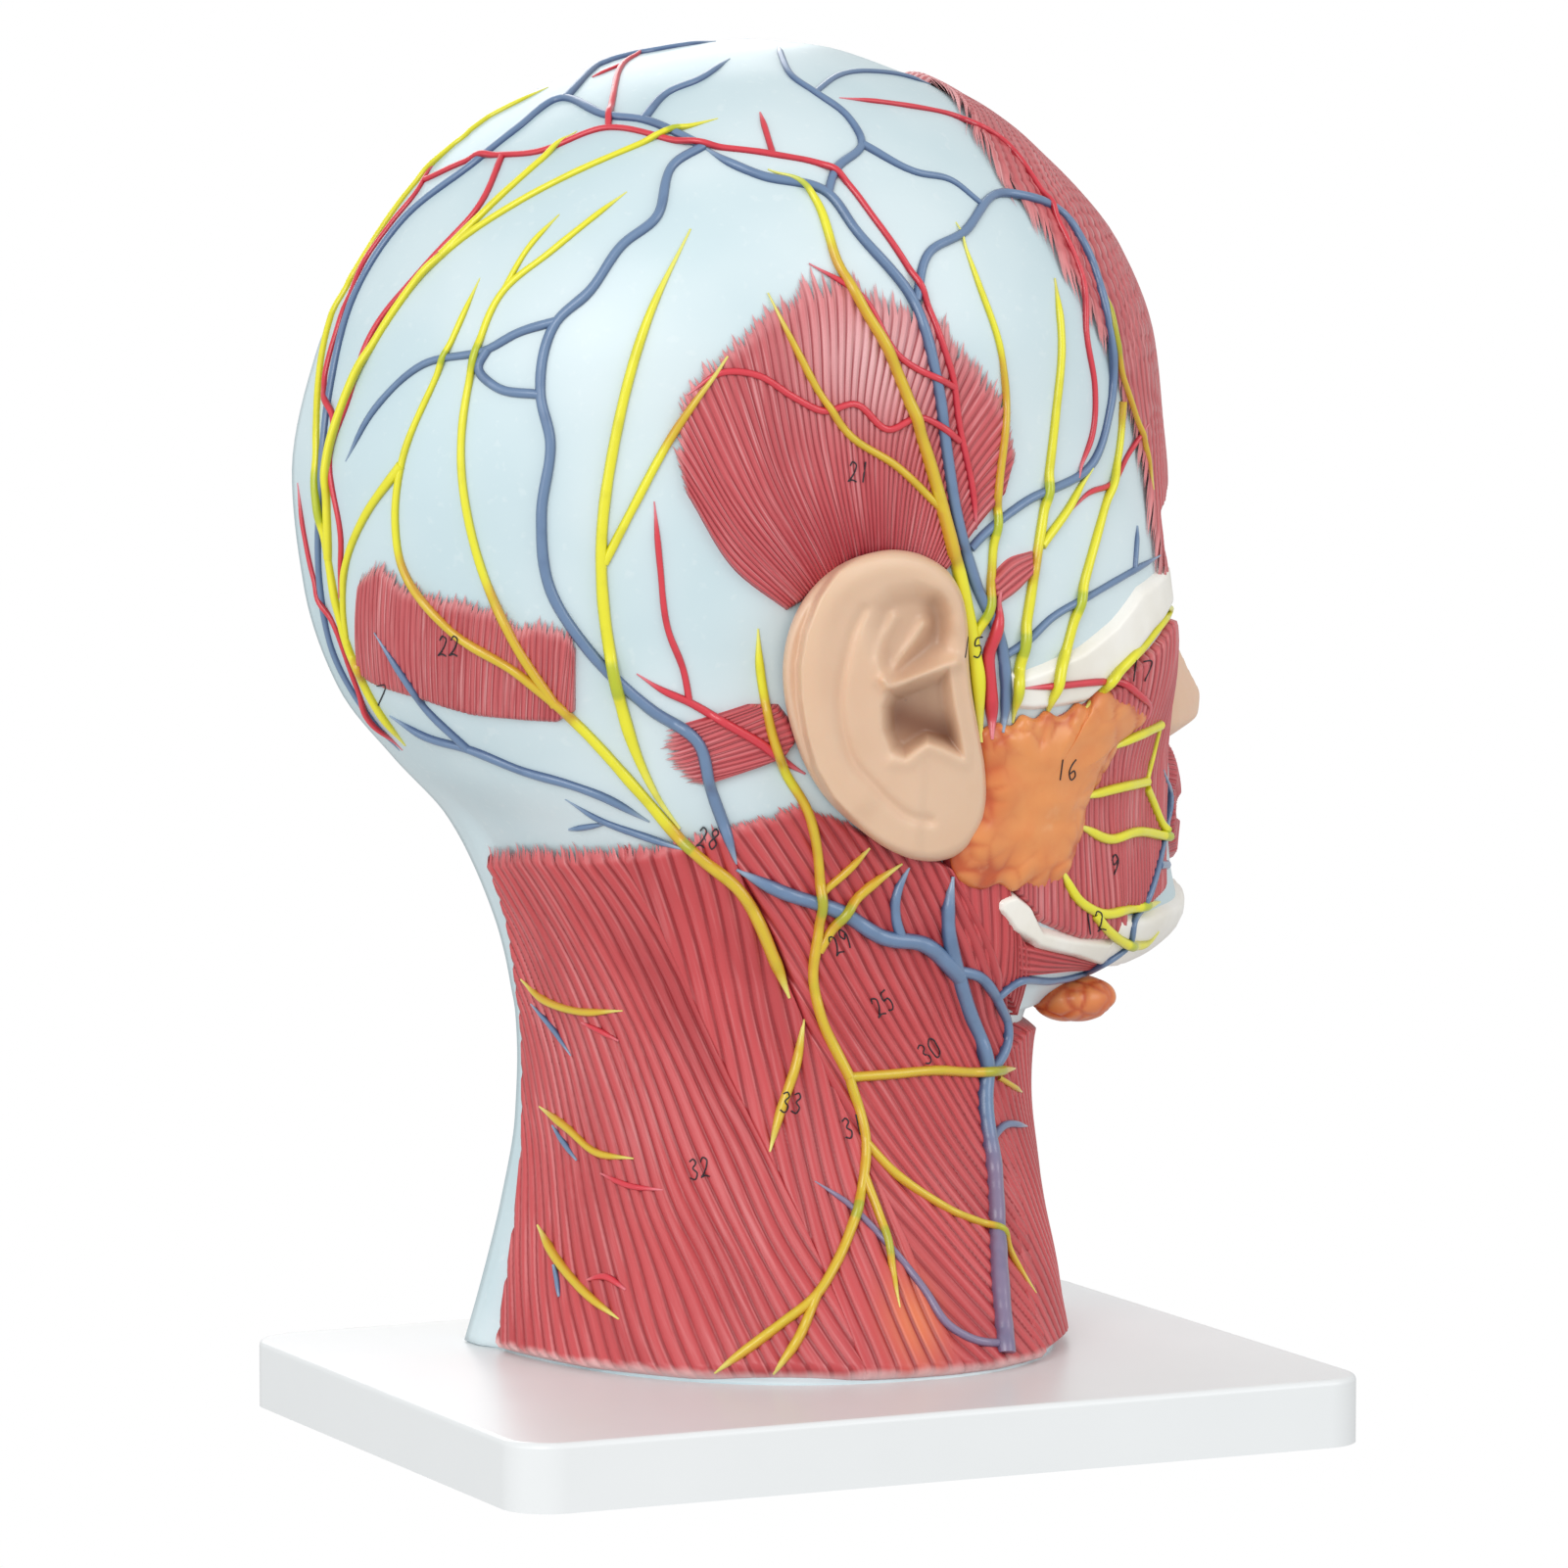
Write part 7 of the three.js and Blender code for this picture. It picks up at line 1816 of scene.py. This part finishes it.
def parallel(points, normals):
    """Fine level grooves on the outside; on the cut face they run out from the middle of the tree."""
    across_fold = points[:, 2] / leaf_pitch + noises(*(points.T / outer_wave), seed=6)
    off_middle = points[:, (0, 2)] - leaf_middle
    turn = np.arctan2(off_middle[:, 1], off_middle[:, 0]) * 15
    at_cut = points[:, 1] > -cut_depth
    phase = np.where(at_cut, turn + 0.6 * noises(*(points.T / cut_wave), seed=8), across_fold)
    outer = smoothstep(np.linalg.norm(off_middle, axis=1), *leaves_from)
    return smoothstep(np.abs(np.sin(phase * math.pi / 2)), 0.7, 1) * np.where(at_cut, outer, 1)


def leaf_tree(points):
    """The white tree on the cut face of the cerebellum: limbs from the front, each with short twigs."""
    lines = []
    for angle, reach in limb_ways:
        way = np.array([math.cos(math.radians(angle)), math.sin(math.radians(angle))])
        lines.append((leaf_middle, leaf_middle + way * reach))
        for share in (0.45, 0.62, 0.79):
            start = leaf_middle + way * reach * share
            for side in (-1, 1):
                bent = math.radians(angle + side * twig_turn)
                lines.append((start, start + np.array([math.cos(bent), math.sin(bent)]) * twig_length))
    off_lines = np.min([apart_from(points[:, (0, 2)], line) for line in lines], axis=0)
    return smoothstep(off_lines, 1.2 * mm, 0.4 * mm) * smoothstep(points[:, 1], -2.5 * mm, -1.5 * mm)


cerebrum = grooved(copied("cerebrum", "cerebrum_half", 0.92 * mm, 3), winding, 1.4 * mm)
shaded_hollows(cerebrum, 1.0 * mm)
piece(cerebrum, "cerebrum_half", brain_pink, "brain_pink", "cerebrum", body="brain")
cerebellum = grooved(copied("cerebellum", "cerebellum_half", 0.7 * mm, 4), parallel, 0.9 * mm)
keep_values(cerebellum, "tree", leaf_tree(points_of(cerebellum) - head_origin))
piece(cerebellum, "cerebellum_half", brain_pink, "brain_pink", "cerebellum", body="brain")
stem = copied("brainstem", "brainstem_half", 0.9 * mm, 8)
keep_values(stem, "fold", np.full(len(stem.data.vertices), 0.15))
piece(stem, "brainstem_half", brain_pink, "brain_pink", "brainstem", body="brain")
callosum = copied("corpus_callosum", "callosum_band", 0.8 * mm, 8)
callosum_white = Paint("callosum_white").finished(
    Base_Color=rgb(240, 232, 216), Roughness=0.4, Coat_Weight=0.2
)
piece(callosum, "callosum_band", callosum_white, "bone_cream", "corpus_callosum", body="brain")

# Spine and cord: the cut vertebral bodies with their discs, the spinous processes and the yellow cord,
# three painted castings set into the section plate.
spine_paint = Paint("spine_bone")
spine_grain = spine_paint.grain(900, 900, 3, on_strip=False)
spongy_share = spine_grain.between(0.48, 0.64) * 0.45
disc_share = spine_paint.attribute("fold").between(0.3, 0.9)
spine_colour = spine_paint.mixed(spongy_share, rgb(238, 226, 200), rgb(210, 164, 132))
spine_colour = spine_paint.mixed(disc_share, spine_colour, rgb(176, 204, 212))
spine_bone = spine_paint.finished(Base_Color=spine_colour, Roughness=0.42, Coat_Weight=0.15)
disc_pitch = 16.5 * mm
disc_tilt = 90 * mm


def discs(points, normals):
    """1 at the discs, which lie evenly apart up the neck and tip a little forward."""
    place = points[:, 2] / disc_pitch + points[:, 0] / disc_tilt
    return smoothstep(np.abs(np.cos(place * math.pi)), 0.94, 0.99)


bodies = grooved(copied("vertebral_bodies", "neck_vertebrae", 0.8 * mm, 6), discs, 1.1 * mm)
piece(bodies, "neck_vertebrae", spine_bone, "bone_cream", "vertebral_bodies")
processes = grooved(copied("spinous_processes", "spine_processes", 0.8 * mm, 6), discs, 1.6 * mm)
piece(processes, "spine_processes", spine_bone, "bone_cream", "spinous_processes")
cord_body = copied("spinal_cord", "spinal_cord_half", 0.7 * mm, 8)
cord_yellow = Paint("cord_yellow").finished(Base_Color=rgb(228, 214, 92), Roughness=0.35, Coat_Weight=0.2)
piece(cord_body, "spinal_cord_half", cord_yellow, "nerve_yellow", "spinal_cord")

# Nose and mouth: two scroll shaped conchae, the palates, the tongue, two cut teeth and the cut jaw, small
# painted castings set into the section plate.
lining_paint = Paint("mucosa_pink")
lining_grain = lining_paint.grain(110, 110, 4, on_strip=False)
lining_paint.bumped(lining_grain, 0.4 * mm, 0.4)
mucosa = lining_paint.finished(
    Base_Color=lining_paint.mixed(lining_grain.between(0.3, 0.7), rgb(214, 128, 124), rgb(230, 160, 150)),
    Roughness=0.32, Coat_Weight=0.3, Coat_Roughness=0.15,
)
mouth_voxel = 0.7 * mm
tooth_voxel = 0.4 * mm
enamel = Paint("tooth_white").finished(Base_Color=rgb(243, 240, 228), Roughness=0.22, Coat_Weight=0.4)
for node, name, smooth_passes, paint, slot in (
    ("middle_concha", "concha_middle", 8, mucosa, "mucosa_pink"),
    ("lower_concha", "concha_lower", 8, mucosa, "mucosa_pink"),
    ("soft_palate", "palate_soft", 8, mucosa, "mucosa_pink"),
    ("hard_palate", "palate_hard", 5, bone_cream, "bone_cream"),
    ("jaw_section", "jaw_cut", 6, bone_cream, "bone_cream"),
):
    piece(copied(node, name, mouth_voxel, smooth_passes), name, paint, slot, node)
tongue = copied("tongue", "tongue_half", 0.8 * mm, 8)
tongue_low, tongue_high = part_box("tongue")
tongue_root = [tongue_high.x - 8 * mm, 0, tongue_low.z - 4 * mm]
tongue_off = points_of(tongue) - tongue_root
keep_values(tongue, "fan", np.arctan2(tongue_off[:, 2], -tongue_off[:, 0]))
keep_values(tongue, "reach", np.hypot(tongue_off[:, 0], tongue_off[:, 2]) / (60 * mm))
tongue_paint = Paint("tongue_red")
fan_turn = tongue_paint.attribute("fan") * 46
fan_reach = tongue_paint.attribute("reach") * 5
fanned = tongue_paint.node("ShaderNodeCombineXYZ", {}, {0: fan_turn, 1: fan_reach})
tongue_grain = tongue_paint.node("ShaderNodeTexNoise", {}, {"Vector": fanned, "Scale": 1, "Detail": 3})
tongue_paint.bumped(tongue_grain, 0.5 * mm, 0.6)
tongue_colour = tongue_paint.mixed(tongue_grain.between(0.38, 0.62), rgb(178, 68, 74), rgb(218, 128, 126))
tongue_red = tongue_paint.finished(Base_Color=tongue_colour, Roughness=0.4, Coat_Weight=0.2)
piece(tongue, "tongue_half", tongue_red, "muscle_red", "tongue")
for node, name in (("upper_tooth", "tooth_upper"), ("lower_tooth", "tooth_lower")):
    piece(copied(node, name, tooth_voxel, 6), name, enamel, "tooth_white", node)

# Larynx and windpipe: one casting painted as pale gristle, with the rings of the windpipe below and pink
# lining between them.
gristle_paint = Paint("gristle_pale")
gristle_fold = gristle_paint.attribute("fold")
gristle = gristle_paint.finished(
    Base_Color=gristle_paint.mixed(gristle_fold, rgb(206, 224, 228), rgb(206, 140, 132)),
    Roughness=0.38,
    Coat_Weight=0.2,
)
ring_pitch = 5.2 * mm


def rings(points, normals):
    """1 between the rings of the windpipe, which lie below the larynx."""
    below = smoothstep(0.13 * head_height - points[:, 2], 0, 4 * mm)
    return below * smoothstep(np.abs(np.sin(points[:, 2] / ring_pitch * math.pi)), 0.75, 0.98)


larynx = grooved(copied("larynx", "larynx_half", 0.8 * mm, 7), rings, 0.9 * mm)
piece(larynx, "larynx_half", gristle, "gristle_pale", "larynx")

# Studio: a white surround, a broad soft key lamp above the camera's left shoulder and a weak one at the
# right. The camera sees the surround as plain white.
surround = bpy.data.worlds.new("studio")
bpy.context.scene.world = surround
surround.use_nodes = True
world_nodes = surround.node_tree.nodes
sky = world_nodes["Background"]
seen_white = world_nodes.new("ShaderNodeBackground")
for background, strength in ((sky, 0.65), (seen_white, 1)):
    background.inputs["Color"].default_value = (1, 1, 1, 1)
    background.inputs["Strength"].default_value = strength
which = world_nodes.new("ShaderNodeMixShader")
camera_ray = world_nodes.new("ShaderNodeLightPath").outputs["Is Camera Ray"]
for socket, output in enumerate((camera_ray, sky.outputs[0], seen_white.outputs[0])):
    surround.node_tree.links.new(output, which.inputs[socket])
surround.node_tree.links.new(which.outputs[0], world_nodes["World Output"].inputs["Surface"])

for name, place, size, power in (
    ("key_lamp", (-1.6, -1.8, 1.25), 1.5, 29),
    ("fill_lamp", (1.4, -1.6, 0.9), 1.2, 11),
    ("back_lamp", (0.3, 1.9, 1.2), 1.4, 14),
    ("side_lamp", (-1.9, -0.4, 0.35), 1.0, 5),
):
    aim = Vector((0, 0, 0.15)) - Vector(place)
    bpy.ops.object.light_add(type="AREA", location=place, rotation=aim.to_track_quat("-Z", "Y").to_euler())
    lamp = bpy.context.object
    lamp.name = name
    lamp.data.shape = "SQUARE"
    lamp.data.size = size
    lamp.data.energy = power
